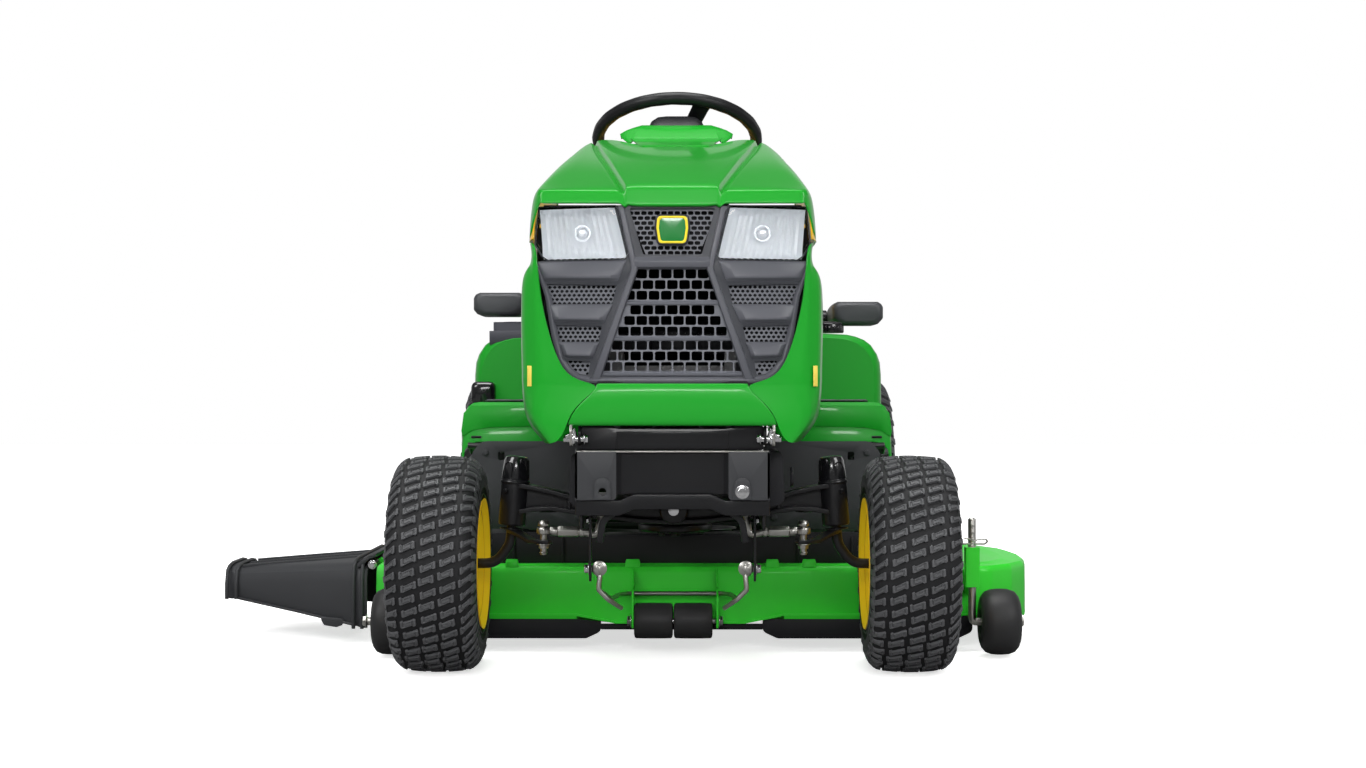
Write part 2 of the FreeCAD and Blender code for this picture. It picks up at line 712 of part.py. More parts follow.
def build_hood():
    node(feature("hood_shell_shape", hood_shell_shape()), "hood_shell")
    nose = both_halves([(140, 468), (178, 470), (192, 452), (203, 470), (232, 640), (236, 745), (235, 745)])
    opening = both_halves([(152, 540), (198, 564), (224.5, 640), (233, 746), (233, 760)])
    panel = feature("nose_blank", prism(nose, NOSE_Y, 8).cut(prism(opening, NOSE_Y - 10, 40)))
    frame = prism(both_halves(FRAME_OUTLINE), NOSE_Y - 5, 12)
    frame = frame.cut(prism(both_halves(MAIN_OPENING), NOSE_Y - 20, 40))
    frame = frame.cut(prism(both_halves(UPPER_OPENING), NOSE_Y - 20, 40))
    for sign in SIDES.values():
        for outline in SIDE_LOUVRES:
            frame = frame.cut(prism([(sign * x, z) for x, z in outline], NOSE_Y - 20, 40))
    node(feature("grille_frame_shape", frame), "grille_frame")
    # Screens behind the openings: slotted sheets, each a little larger than the opening it backs.
    screens = prism(both_halves([(136, 546), (61, 744)]), NOSE_Y + 7.2, 3)
    for level in range(9):
        z = 560 + 20 * level
        half = 118 - 0.38 * (z - 560)
        screens = screens.cut(Part.makeBox(2 * half - 6, 20, 14, V(3 - half, NOSE_Y, z)))
    upper = prism(both_halves([(54, 764), (86, 847)]), NOSE_Y + 7.2, 3)
    node(feature("screen_shape", screens), "grille_screen_main")
    pieces = [upper]
    for sign in SIDES.values():
        for outline in SIDE_LOUVRES:
            middle_x = sum(x for x, _ in outline) / len(outline)
            middle_z = sum(z for _, z in outline) / len(outline)
            grown = [
                (sign * (middle_x + (x - middle_x) * 1.06), middle_z + (z - middle_z) * 1.12)
                for x, z in outline
            ]
            pieces.append(prism(grown, NOSE_Y + 7.2, 3))
    node(feature("screens_small", Part.makeCompound(pieces)), "grille_screens_small")
    badge = plate(
        "badge_body", "XZ_Plane", [(-26, 782), (26, 782), (28, 834), (-28, 834)], 5, (0, NOSE_Y - 3, 0),
        10,
    )
    stalk = rod("badge_stalk", 6, 9.6, (0, NOSE_Y - 2.5, 808), Y_AXIS)
    node(fuse("badge_parts", badge, stalk), "nose_badge")
    for side, sign in SIDES.items():
        outline = [(sign * x, z) for x, z in LAMP_OUTLINE]
        lens = feature(f"lens_shape_{side}", prism(outline, NOSE_Y - 8, 6))
        node(lens, f"headlight_lens_{side}")
        cx, cz = sign * 175, 803
        grown = prism([(sign * x, z) for x, z in LAMP_OUTLINE], NOSE_Y - 1.5, 60)
        hollow = prism(
            [(cx + (sign * x - cx) * 0.95, cz + (z - cz) * 0.94) for x, z in LAMP_OUTLINE], NOSE_Y - 3,
            48,
        )
        socket = Part.makeCylinder(12, 60, V(sign * 170, NOSE_Y + 30, 803), Y_AXIS)
        node(feature(f"reflector_{side}", grown.cut(hollow).cut(socket)), f"headlight_reflector_{side}")
        bulb = turned(
            f"bulb_body_{side}",
            [(0, 0), (11.5, 0), (11.5, 22), (7, 26), (7, 44), (0, 50)],
            (sign * 170, NOSE_Y + 58.4, 803),
            V(0, -1, 0),
        )
        node(bulb, f"headlight_bulb_{side}")
    markers = [
        box(f"marker_{side}", 4, 22, 46, (sign * 266.2, -190, 826)) for side, sign in SIDES.items()
    ]
    node(group("side_markers_all", *markers), "side_markers")
    brackets = []
    for side, sign in SIDES.items():
        ear = plate(
            f"hinge_ear_{side}",
            "YZ_Plane",
            [(-297, 432), (-273, 432), (-262, 470), (-262, 500), (-281, 500), (-297, 456)],
            4,
            (sign * 177, 0, 0),
            4,
        )
        hole = rod(f"hinge_ear_hole_{side}", 6.08, 40, (sign * 177 - 20, -283, 444), X_AXIS)
        brackets.append(cut(f"hinge_ear_cut_{side}", ear, hole))
    node(fuse("nose_panel_parts", panel, *brackets), "hood_nose_panel")
    mounts = []
    pins = []
    for side, sign in SIDES.items():
        tab = plate(
            f"hinge_tab_{side}",
            "YZ_Plane",
            [(-294, 430.5), (-229.2, 430.5), (-232, 446), (-276, 457), (-292, 452)],
            5,
            (sign * 167, 0, 0),
            4,
        )
        hole = rod(f"hinge_tab_hole_{side}", 6, 40, (sign * 167 - 20, -283, 444), X_AXIS)
        mounts.append(cut(f"hinge_tab_cut_{side}", tab, hole))
        shank = rod(f"hinge_pin_shank_{side}", 6, 34, (sign * 156, -283, 444), V(sign, 0, 0))
        head = rod(f"hinge_pin_head_{side}", 10, 6, (sign * 156, -283, 444), V(sign, 0, 0))
        nut = rod(f"hinge_pin_nut_{side}", 10, 7, (sign * 182.5, -283, 444), V(sign, 0, 0))
        pins.append(fuse(f"hinge_pin_{side}", shank, head, nut))
    node(group("hood_hinge_tabs_all", *mounts), "hood_hinge_tabs")
    node(group("hood_hinge_pins_all", *pins), "hood_hinge_pins")


def build_dash():
    sections = [
        [(-165, 590, 436), (165, 590, 436), (165, 700, 436), (-165, 700, 436)],
        [(-165, 578, 900), (165, 578, 900), (165, 715, 900), (-165, 715, 900)],
        [(-150, 562, 1040), (150, 562, 1040), (150, 742, 980), (-150, 742, 980)],
    ]
    tower = feature("dash_shape", loft(sections))
    tilt = math.radians(size("steering_tilt"))
    axis = V(0, math.sin(tilt), math.cos(tilt))
    origin = V(0, 765, 1086) - axis * 48
    tunnel = rod("dash_tunnel", 14, 700, tuple(origin - axis * 620), axis)
    boot_room = rod("dash_boot_room", 52, 90, tuple(origin - axis * 68), axis)
    tunnel_cover = box("tunnel_cover", 330, 280, 70, (0, 820, 471))
    pivots = [
        rod(f"pedal_bore_{i}", size("pedal_pin_dia") / 2 + 0.05, 14, (sign * 166, y, z), V(-sign, 0, 0))
        for i, (sign, y, z) in enumerate(((-1, 705, 500), (-1, 800, 480), (1, 700, 506)))
    ]
    switch_bore = rod("switch_bore", 5.1, 60, (-104, 712, 946), V(0, 0.4, 1))
    blank = fuse("dash_blank", tower, tunnel_cover)
    node(cut("dash_cut", blank, tunnel, boot_room, switch_bore, *pivots), "dash_tower")
    cowl = [
        [(-122, 552, 1046), (122, 552, 1046), (122, 600, 1052), (-122, 600, 1052)],
        [(-104, 556, 1092), (104, 556, 1092), (104, 612, 1088), (-104, 612, 1088)],
    ]
    smaller = loft([[(x * 0.94, y, z) for x, y, z in section] for section in cowl])
    shape = loft(cowl).cut(smaller.translated(V(0, 4, -6)))
    node(feature("cowl_shape", shape), "hood_cowl")


# ----------------------------------------------------------------------- operator's platform and seat


def sheet_profile(points, thickness):
    """A closed outline of a bent sheet: the given line and the same line moved down by its thickness."""
    return [(a, b) for a, b in points] + [(a, b - thickness) for a, b in reversed(points)]


# The left side shield's outline in front view; the right one mirrors it.
SHIELD_OUTLINE = [(182, 236), (182, 420), (410, 420), (428, 396), (428, 236)]


def build_platform():
    gauge = size("sheet_metal")
    for side, sign in SIDES.items():
        line = [(540, 424), (562, 492), (590, 502), (640, 490), (740, 446), (960, 440)]
        floor = plate(
            f"floor_{side}", "YZ_Plane", sheet_profile(line, gauge), 226, (sign * 318, 0, 0), 1.5,
        )
        skirt_line = [(430, 0), (446, -6), (457, -22), (461, -62)]
        outer = [(sign * x, z) for x, z in skirt_line]
        inner = [(sign * (x - gauge), z - gauge) for x, z in reversed(skirt_line)]
        ring = outer + inner
        skirt = feature(f"skirt_{side}", prism([(x, 446 + z) for x, z in ring], 556, 404))
        lip = feature(f"lip_{side}", prism([(x, 500 + z) for x, z in ring], 556, 62))
        node(fuse(f"footboard_blank_{side}", floor, skirt, lip), f"footboard_{side}")
        mat_line = [(645, 491.4), (742, 449.4), (950, 443.4)]
        upper = [(a, b + 1.6) for a, b in mat_line]
        lower = [(a, b - 2.4) for a, b in reversed(mat_line)]
        mat = plate(f"mat_{side}", "YZ_Plane", upper + lower, 190, (sign * 318, 0, 0))
        node(mat, f"foot_mat_{side}")
        shield = plate(
            f"shield_{side}",
            "XZ_Plane",
            [(sign * x, z) for x, z in SHIELD_OUTLINE],
            4,
            (0, 470, 0),
            18,
        )
        node(shield, f"side_shield_{side}")


# Half of the rear body's section, from the bottom of its outer wall over the wheel to the seat shelf.
FENDER_HALF = [
    (476, 430), (476, 560), (467, 606), (450, 632), (426, 648), (396, 656), (300, 660), (262, 622),
]


def build_fender():
    """The rear body: two wheel housings joined by the seat shelf, cut clear of the rear tyres."""
    gauge = size("sheet_metal")
    body = prism([*FENDER_HALF, *[(-x, z) for x, z in reversed(FENDER_HALF)]], 966, 620)
    inner = [(x - gauge, z - gauge if i > 0 else z - 40) for i, (x, z) in enumerate(FENDER_HALF)]
    hollow = prism([*inner, *[(-x, z) for x, z in reversed(inner)]], 970, 640)
    shell = body.cut(hollow)
    rear_z = size("rear_tyre_dia") / 2
    arch = Part.makeCylinder(296, 1200, V(-600, size("wheelbase"), rear_z), X_AXIS)
    tunnel = Part.makeBox(330, 30, 260, V(-165, 955, 380))
    lever_slot = Part.makeBox(20, 30, 110, V(-456, 955, 470))
    post_slot = Part.makeBox(294, 16, 60, V(-147, 1122, 600))
    shell = shell.cut(arch).cut(tunnel).cut(lever_slot).cut(post_slot)
    low_rear = Part.makeBox(1200, 400, 140, V(-600, 1400, 380))
    shell = shell.cut(low_rear)
    solids = sorted(shell.Solids, key=lambda solid: -solid.Volume)
    node(feature("fender_shape", solids[0]), "fender_body")
    cap = turned(
        "fuel_cap_body", [(0, 0), (33, 0), (33, 20), (29, 26), (0, 28)], (358, 1040, 660.4), Z_AXIS, 2,
    )
    node(cap, "fuel_cap")
    tray = Part.makeBox(120, 190, 26, V(-434, 990, 660.4))
    console = feature(
        "console_shape",
        tray.cut(Part.makeCylinder(38, 40, V(-374, 1050, 666))),
    )
    node(console, "fender_console")
    lamps = [
        box(f"tail_lamp_{side}", 90, 8, 36, (sign * 330, 1590.4, 600))
        for side, sign in SIDES.items()
    ]
    node(group("tail_lamps_all", *lamps), "tail_lamps")


def build_seat():
    half = size("seat_width") / 2
    base = box("seat_pan_body", 400, 440, 10, (0, 1220, 660))
    cushion = plate(
        "seat_cushion_body", "YZ_Plane",
        [(985, 668), (1380, 668), (1380, 740), (1340, 752), (1020, 756), (985, 735)], "Dim.seat_width",
        (0, 0, 0), 22
    )
    node(cushion, "seat_cushion")
    back = plate(
        "seat_back_body",
        "XZ_Plane",
        [(-half, 0), (half, 0), (half - 6, 160), (half - 40, 232), (40 - half, 232), (6 - half, 160)],
        80,
        (0, 0, 0),
        26,
    )
    back.Placement = FreeCAD.Placement(V(0, 1408, 764), turn(X_AXIS, -12))
    node(back, "seat_back")
    lean = turn(X_AXIS, -12)
    spine = plate(
        "seat_spine_body", "XZ_Plane", [(-150, -106), (150, -106), (150, 190), (-150, 190)], 8, radius=14,
    )
    spine.Placement = FreeCAD.Placement(V(0, 1408, 764) + lean.multVec(V(0, 44.5, 0)), lean)
    frame_parts = [base, spine, rod("seat_hinge_rod", 6, 300, (-150, 1000, 655), X_AXIS)]
    for side, sign in SIDES.items():
        # Each armrest is set to its own height, and the left one is the lower.
        drop = -22 if side == "left" else 0
        pad = plate(
            f"arm_pad_body_{side}",
            "YZ_Plane",
            [(1090, 712), (1106, 702), (1385, 712), (1385, 756), (1100, 760), (1084, 748)],
            "Dim.arm_pad_width",
            (sign * 430, 0, drop),
            8,
        )
        node(pad, f"armrest_pad_{side}")
        link = rod(f"arm_pivot_{side}", 14, 90, (sign * 368.6, 1350, 726 + drop), V(-sign, 0, 0))
        strut = box(f"arm_strut_{side}", 12, 50, 103, (sign * 286, 1350, 706.5))
        foot = box(f"arm_foot_{side}", 102, 50, 10, (sign * 241, 1350, 660))
        frame_parts += [link, strut, foot]
    node(fuse("seat_frame_parts", *frame_parts), "seat_frame")


# ----------------------------------------------------------------------------------------- mower deck


def spindle_places():
    pitch = size("spindle_pitch")
    middle_y = size("centre_spindle_y")
    rear_y = middle_y + size("spindle_stagger")
    return [(66 - pitch, rear_y), (66, middle_y), (66 + pitch, rear_y)]


DECK_PLAN = [
    (-612, 345), (-560, 292), (560, 292), (660, 330), (735, 450), (745, 620), (728, 780), (640, 930),
    (450, 962),
    (330, 940), (240, 830), (-100, 830), (-190, 940), (-330, 962), (-560, 950), (-612, 900),
]


def build_deck():
    top, skirt, wall = size("deck_top"), size("deck_skirt"), size("sheet_metal")
    shell_pad = plate("deck_outer", "XY_Plane", DECK_PLAN, top - skirt, (0, 0, (top + skirt) / 2), 60)
    middle = V(66, 620, 0)
    inner_plan = []
    inward = wall + 1.5
    for x, y in DECK_PLAN:
        step_x = inward if x < middle.x else -inward
        step_y = inward if y < middle.y else -inward
        inner_plan.append((x + step_x, y + step_y))
    cavity = plate(
        "deck_cavity", "XY_Plane", inner_plan, top - skirt, (0, 0, (top + skirt) / 2 - wall), 56,
    )
    mouth = box("deck_mouth", 60, 440, 108, (-612, 640, 98))
    holes = [
        rod(f"deck_spindle_hole_{i}", 30, 40, (x, y, top - 25))
        for i, (x, y) in enumerate(spindle_places())
    ]
    pressing = cut("deck_pressing", shell_pad, cavity, mouth, *holes)
    brackets = deck_brackets()
    node(fuse("deck_weldment", pressing, *brackets), "deck_shell")
    strip = box("deck_trim_front", 1120, 4, 26, (40, 300, 37.6))
    strip_back = box("deck_trim_back", 300, 4, 26, (70, 822, 37.6))
    node(group("deck_trim_all", strip, strip_back), "deck_lower_trim")
    for i, ((x, y), label) in enumerate(zip(spindle_places(), ("right", "centre", "left"))):
        housing = turned(
            f"housing_body_{i}",
            [(13, -34), (26, -34), (29.5, 0), (62, 0.4), (62, 8), (34, 12), (30, 40), (13, 40)],
            (x, y, top),
        )
        node(housing, f"spindle_housing_{label}")
        blade_z = 74.0
        reach, half = size("blade_length") / 2, size("blade_width") / 2
        bar_outline = [
            (-reach, -12), (-150, -half), (reach, -half), (reach, 12), (150, half), (-reach, half),
        ]
        blade = plate(f"blade_bar_{i}", "XY_Plane", bar_outline, 5, (x, y, blade_z), 3)
        wings = []
        for sign in (1, -1):
            wing = box(
                f"blade_wing_{i}_{sign + 1}", 100, 4, 22, (x + sign * 176, y + sign * 26, blade_z + 11),
            )
            wings.append(wing)
        shaft = rod(f"blade_shaft_{i}", 12.6, 168, (x, y, blade_z - 12))
        nut = rod(f"blade_nut_{i}", 20, 12, (x, y, blade_z - 13))
        collar = rod(f"blade_collar_{i}", 24, 20, (x, y, blade_z))
        pulley = turned(
            f"pulley_body_{i}",
            [(12, 0), (62, 0), (62, 3), (51.2, 5.6), (51.2, 14.4), (62, 17), (62, 20), (12, 20)],
            (x, y, top + 44),
        )
        node(fuse(f"blade_fused_{i}", blade, *wings, shaft, nut, collar), f"blade_{label}")
        pulley_bore = rod(f"pulley_bore_{i}", 12.6, 60, (x, y, top + 30))
        node(cut(f"pulley_cut_{i}", pulley, pulley_bore), f"spindle_pulley_{label}")
    places = [V(x, y, 0) for x, y in spindle_places()]
    node(feature("belt_shape", belt_loop(places, 51.5, 8.0, 8.0, top + 50)), "blade_belt")
    for side, (x, y) in (("right", spindle_places()[0]), ("left", spindle_places()[2])):
        cover = turned(
            f"belt_cover_body_{side}",
            [(0, 78), (70, 78), (92, 62), (96, 12), (92, 12), (88, 58), (68, 74), (0, 74)],
            (x, y, top),
        )
        inward = 130 if side == "right" else -130
        slot = box(f"belt_cover_slot_{side}", 240, 260, 62, (x + inward, y - 50, top + 31))
        node(cut(f"belt_cover_cut_{side}", cover, slot), f"belt_cover_{side}")
    # A shield ahead of the belt: a wall on the deck's top with a flange that reaches back to the pulleys.
    lower = [(-150, top + 0.4), (-540, top + 0.4), (-540, 230), (-520, 246), (-158, 246), (-158, 234)]
    wall_outline = [*lower, (158, 234), (158, 246), (560, 246), (580, 230), (580, top + 0.4)]
    wall = plate("belt_shield_wall", "XZ_Plane", wall_outline, 4, (0, 344, 0))
    flange = box("belt_shield_flange", 316, 96, 4, (0, 392, 232))
    node(fuse("belt_shield_parts", wall, flange), "belt_shield")
    build_deck_hardware()


def belt_loop(centres, radius, width, height, z):
    """A belt round three pulleys, as the band between two offset hulls of their circles."""
    bands = []
    for reach in (radius + width, radius):
        discs = [Part.makeCylinder(reach, height, c + V(0, 0, z)) for c in centres]
        slabs = []
        count = len(centres)
        for i in range(count):
            a, b = centres[i], centres[(i + 1) % count]
            across = (b - a).cross(Z_AXIS).normalize() * reach
            ring = [a + across, b + across, b - across, a - across]
            ring = [p + V(0, 0, z) for p in ring]
            slabs.append(Part.Face(Part.makePolygon(ring + [ring[0]])).extrude(V(0, 0, height)))
        core = Part.Face(
            Part.makePolygon([c + V(0, 0, z) for c in [*centres, centres[0]]])
        ).extrude(V(0, 0, height))
        bands.append(discs[0].multiFuse(discs[1:] + slabs + [core]))
    return bands[0].cut(bands[1]).removeSplitter()


ROLLER_Y, ROLLER_Z = 246.0, 68.0
GAUGE_WHEELS = {"left": (642, 214, 1), "right": (-571, 214, -1)}
CHUTE_HINGE = (-628, 166)


def deck_brackets():
    """What is welded to the deck pressing: roller cheeks, gauge-wheel sockets and the chute's hinge ears."""
    pieces = []
    for side, sign in SIDES.items():
        cheek = plate(
            f"roller_cheek_{side}",
            "YZ_Plane",
            [(230, 54), (294, 50), (294, 168), (262, 140), (230, 112)],
            4,
            (sign * 84.4, 0, 0),
            4,
        )
        hole = rod(f"roller_cheek_hole_{side}", 6.05, 30, (sign * 84.4 - 15, ROLLER_Y, ROLLER_Z), X_AXIS)
        slot = plate(
            f"lift_slot_{side}",
            "YZ_Plane",
            [(246, 112), (278, 112), (278, 134), (246, 134)],
            20,
            (sign * 84.4, 0, 0),
            9,
        )
        pieces.append(cut(f"roller_cheek_cut_{side}", cheek, hole, slot))
    for side, (x, y, sign) in GAUGE_WHEELS.items():
        post_x = x - sign * (size("gauge_wheel_width") / 2 + 16)
        sleeve = box(f"gauge_sleeve_{side}", 28, 28, 78, (post_x, y, 178))
        web = box(f"gauge_web_{side}", 8, 110, 50, (post_x, y + 55, 142))
        bore = rod(f"gauge_sleeve_bore_{side}", 9.05, 160, (post_x, y, 110))
        pieces.append(
            cut(f"gauge_sleeve_cut_{side}", fuse(f"gauge_sleeve_blank_{side}", sleeve, web), bore),
        )
    hinge_x, hinge_z = CHUTE_HINGE
    for i, y in enumerate((480, 770)):
        ear = box(f"chute_ear_{i}", 34, 24, 18, (hinge_x + 13, y, hinge_z - 1))
        hole = rod(f"chute_ear_hole_{i}", 5.0, 60, (hinge_x, y - 30, hinge_z), Y_AXIS)
        pieces.append(cut(f"chute_ear_cut_{i}", ear, hole))
    return pieces


def build_deck_hardware():
    roller_y, roller_z = ROLLER_Y, ROLLER_Z
    radius, length = size("roller_dia") / 2, size("roller_length")
    axle = fuse(
        "roller_axle_parts",
        rod("roller_axle_shank", 6, 190, (-95, roller_y, roller_z), X_AXIS),
        rod("roller_axle_head", 11, 7, (-95, roller_y, roller_z), X_AXIS),
        rod("roller_axle_nut", 10, 8, (88, roller_y, roller_z), X_AXIS),
    )
    node(axle, "roller_axle")
    for side, x in (("right", -81.5), ("left", -2.5)):
        outline = [
            (6.3, 0), (radius - 4, 0), (radius, 4), (radius, length - 4), (radius - 4, length),
            (6.3, length),
        ]
        node(
            turned(f"roller_body_{side}", outline, (x, roller_y, roller_z), X_AXIS, 1.5),
            f"deck_roller_{side}",
        )
    # Front lift rod: two hooks hang from the frame's pins; a cross bar runs through the deck's brackets.
    lift = [
        (-131, -245, 201), (-131, -235, 176), (-120, 60, 130), (-112, 230, 123), (-95, 261, 123),
        (95, 261, 123),
        (112, 230, 123), (120, 60, 130), (131, -235, 176), (131, -245, 201),
    ]
    bar = bent_rod("lift_bar", lift, 9, 16)
    eyes = []
    for sign in SIDES.values():
        ring = rod(f"lift_eye_{sign + 1}", 13, 9, (sign * 126.5, -245, 214), X_AXIS)
        if sign < 0:
            ring.Placement.Base.x = -135.5
        hole = rod(f"lift_eye_hole_{sign + 1}", 6.1, 60, (sign * 130 - 30, -245, 214), X_AXIS)
        eyes.append(cut(f"lift_eye_cut_{sign + 1}", ring, hole))
    node(fuse("lift_rod_parts", bar, *eyes), "front_lift_rod")
    radius, width = size("gauge_wheel_dia") / 2, size("gauge_wheel_width")
    arms = []
    for side, (x, y, sign) in GAUGE_WHEELS.items():
        profile = [
            (8.05, 0), (radius - 22, 0), (radius - 6, 8), (radius, 26), (radius, width - 26),
            (radius - 6, width - 8),
            (radius - 22, width), (8.05, width),
        ]
        centre = (x - width / 2, y, radius + 5)
        node(turned(f"gauge_body_{side}", profile, centre, X_AXIS, 6), f"gauge_wheel_{side}")
        post_x = x - sign * (width / 2 + 16)
        post = rod(f"gauge_post_{side}", 9, 205, (post_x, y, radius + 5))
        axle = rod(f"gauge_axle_{side}", 8, width + 22, (post_x, y, radius + 5), V(sign, 0, 0))
        tip = rod(f"gauge_tip_{side}", 12, 5, (x + sign * (width / 2 + 1), y, radius + 5), V(sign, 0, 0))
        arms.append(fuse(f"gauge_arm_{side}", post, axle, tip))
    node(group("gauge_arms_all", *arms), "gauge_wheel_arms")
    # Discharge chute: an open-bottomed duct that tapers away from the deck's mouth.
    root, tip = -640.0, -971.0
    outer = loft([
        [(root, 410, 34), (root, 870, 34), (root, 860, 156), (root, 420, 156)],
        [(tip, 470, 78), (tip, 770, 78), (tip, 760, 138), (tip, 480, 138)],
    ])
    inner = loft([
        [(root + 1, 414, 30), (root + 1, 866, 30), (root + 1, 856, 152), (root + 1, 424, 152)],
        [(tip - 1, 474, 60), (tip - 1, 766, 60), (tip - 1, 756, 134), (tip - 1, 484, 134)],
    ])
    node(feature("chute_shape", outer.cut(inner)), "discharge_chute")
    hinge_x, hinge_z = CHUTE_HINGE
    knuckles = []
    for i, y in enumerate((440, 640, 810)):
        leaf = box(f"chute_leaf_{i}", 30, 40, 5, (hinge_x - 20, y, hinge_z - 7))
        barrel = rod(f"chute_barrel_{i}", 8, 40, (hinge_x, y - 20, hinge_z), Y_AXIS)
        bore = rod(f"chute_barrel_bore_{i}", 5.06, 80, (hinge_x, y - 40, hinge_z), Y_AXIS)
        knuckles.append(cut(f"chute_knuckle_{i}", fuse(f"chute_knuckle_blank_{i}", leaf, barrel), bore))
    node(group("chute_knuckles_all", *knuckles), "chute_hinge_knuckles")
    node(rod("chute_pin_body", 5, 440, (hinge_x, 405, hinge_z), Y_AXIS), "chute_hinge_pin")


# ------------------------------------------------------------------------------------------- controls


def build_controls():
    grip_outline = [(-475, 488), (-418, 488), (-418, 546), (-475, 546)]
    lever = fuse(
        "lift_lever_parts",
        plate("lift_lever_grip", "XZ_Plane", grip_outline, 46, (0, 900, 0), 14),
        bent_rod("lift_lever_bar", [(-446, 920, 514), (-446, 950, 512), (-446, 1040, 500)], 12, 20),
        rod("lift_lever_boss", 12, 24, (-458, 1040, 500), X_AXIS),
    )
    node(lever, "lift_lever")
    for label, y, z in (("forward", 705, 500), ("reverse", 800, 480)):
        pad = box(f"{label}_pad", 76, 84, 8, (-236, y, z))
        stem = rod(f"{label}_stem", "Dim.pedal_pin_dia / 2", 46, (-200, y, z), X_AXIS)
        node(fuse(f"{label}_pedal_parts", pad, stem), f"{label}_pedal")
    pad = box("brake_pad", 70, 90, 10, (236, 700, 506))
    stem = rod("brake_stem", "Dim.pedal_pin_dia / 2", 49, (203, 700, 506), V(-1, 0, 0))
    node(fuse("brake_pedal_parts", pad, stem), "brake_pedal")
    stem = rod("pto_stem", 5, 46, (-104, 714, 951), V(0, 0.4, 1))
    head = rod("pto_head", 15, 12, (-104, 730.7, 992.7), V(0, 0.4, 1))
    node(fuse("pto_parts", stem, head), "blade_switch_knob")


# -------------------------------------------------------------------------------------------- writing

# Pieces that are fixed to each other and alike, or too small to stand alone, share one sub-part.
SHARED = {
    "front_bumper": ("front_bumper_bracket", "nose_plate"),
    "front_carrier": ("axle_carrier", "deck_hanger_straps", "hood_hinge_tabs", "relay_guides"),
    "chassis_pins": ("axle_pivot_pin", "deck_hanger_pins", "hood_hinge_pins", "bumper_bolt"),
    "front_axle": ("front_axle_beam", "kingpin_cap_left", "kingpin_cap_right"),
    "spindle_left": ("spindle_left", "steering_arm_left", "ball_stud_left"),
    "spindle_right": ("spindle_right", "steering_arm_right", "ball_stud_right"),
    "front_rim_left": ("front_rim_left", "front_hub_cap_left"),
    "front_rim_right": ("front_rim_right", "front_hub_cap_right"),
    "rear_rim_left": ("rear_rim_left", "rear_axle_shaft_left"),
    "rear_rim_right": ("rear_rim_right", "rear_axle_shaft_right"),
    "steering_wheel": ("steering_wheel", "steering_hub_cap"),
    "engine": ("engine_block", "engine_fan_shroud"),
    "crankshaft_clutch": ("crankshaft", "blade_clutch"),
    "dash_tower": ("dash_tower", "hood_cowl", "column_boot"),
    "footboards": (
        "footboard_left", "footboard_right", "foot_mat_left", "foot_mat_right", "side_shield_left",
        "side_shield_right",
    ),
    "fender_body": ("fender_body", "fender_console", "fuel_cap", "tail_lamps"),
    "grille_screens": ("grille_screen_main", "grille_screens_small"),
    "hood_trim": ("nose_badge", "side_markers"),
    "headlight_lenses": ("headlight_lens_left", "headlight_lens_right"),
    "headlight_lamps": (
        "headlight_reflector_left", "headlight_reflector_right", "headlight_bulb_left",
        "headlight_bulb_right",
    ),
    "spindle_housings": ("spindle_housing_left", "spindle_housing_centre", "spindle_housing_right"),
    "blade_left": ("blade_left", "spindle_pulley_left"),
    "blade_centre": ("blade_centre", "spindle_pulley_centre"),
    "blade_right": ("blade_right", "spindle_pulley_right"),
    "belt_covers": ("belt_cover_left", "belt_cover_right", "belt_shield"),
    "deck_pins": ("roller_axle", "chute_hinge_pin"),
    "deck_rollers": ("deck_roller_left", "deck_roller_right"),
    "discharge_chute": ("discharge_chute", "chute_hinge_knuckles"),
}


def sub_parts():
    """The finished sub-parts: single pieces as they are, and shared ones as groups of separate solids."""
    by_label = {piece.Label: piece for piece in nodes}
    finished = []
    for label, members in SHARED.items():
        pieces = [by_label.pop(member) for member in members]
        for number, piece in enumerate(pieces):
            piece.Label = f"{label}_piece_{number}"
        together = doc.addObject("Part::Compound", f"{label}_group")
        together.Links = pieces
        together.Label = label
        finished.append(together)
    return finished + list(by_label.values())


def write_parts():
    finished = sub_parts()
    doc.recompute()
    failed = [o.Name for o in doc.Objects if {"Invalid", "Error"} & set(o.State)]
    if failed:
        raise SystemExit(f"these objects failed: {failed}")
    for part in finished:
        shape = part.Shape
        if shape.isNull() or not shape.isValid() or shape.Volume < 1:
            raise SystemExit(f"{part.Label} has no valid shape")
    os.makedirs("parts", exist_ok=True)
    for old in os.listdir("parts"):
        os.remove(os.path.join("parts", old))
    for part in finished:
        part.Shape.exportStep(f"parts/{part.Label}.step")
    print(f"{len(finished)} sub-parts written")


for build in (
    build_chassis,
    build_bumper,
    build_front_axle,
    build_spindles,
    build_steering_linkage,
    build_steering_column,
    build_wheels,
    build_engine,
    build_transaxle,
    build_hood,
    build_dash,
    build_platform,
    build_fender,
    build_seat,
    build_deck,
    build_controls,
):
    build()
write_parts()
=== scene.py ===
import math

import bpy
import bmesh
from mathutils import Matrix, Vector, geometry


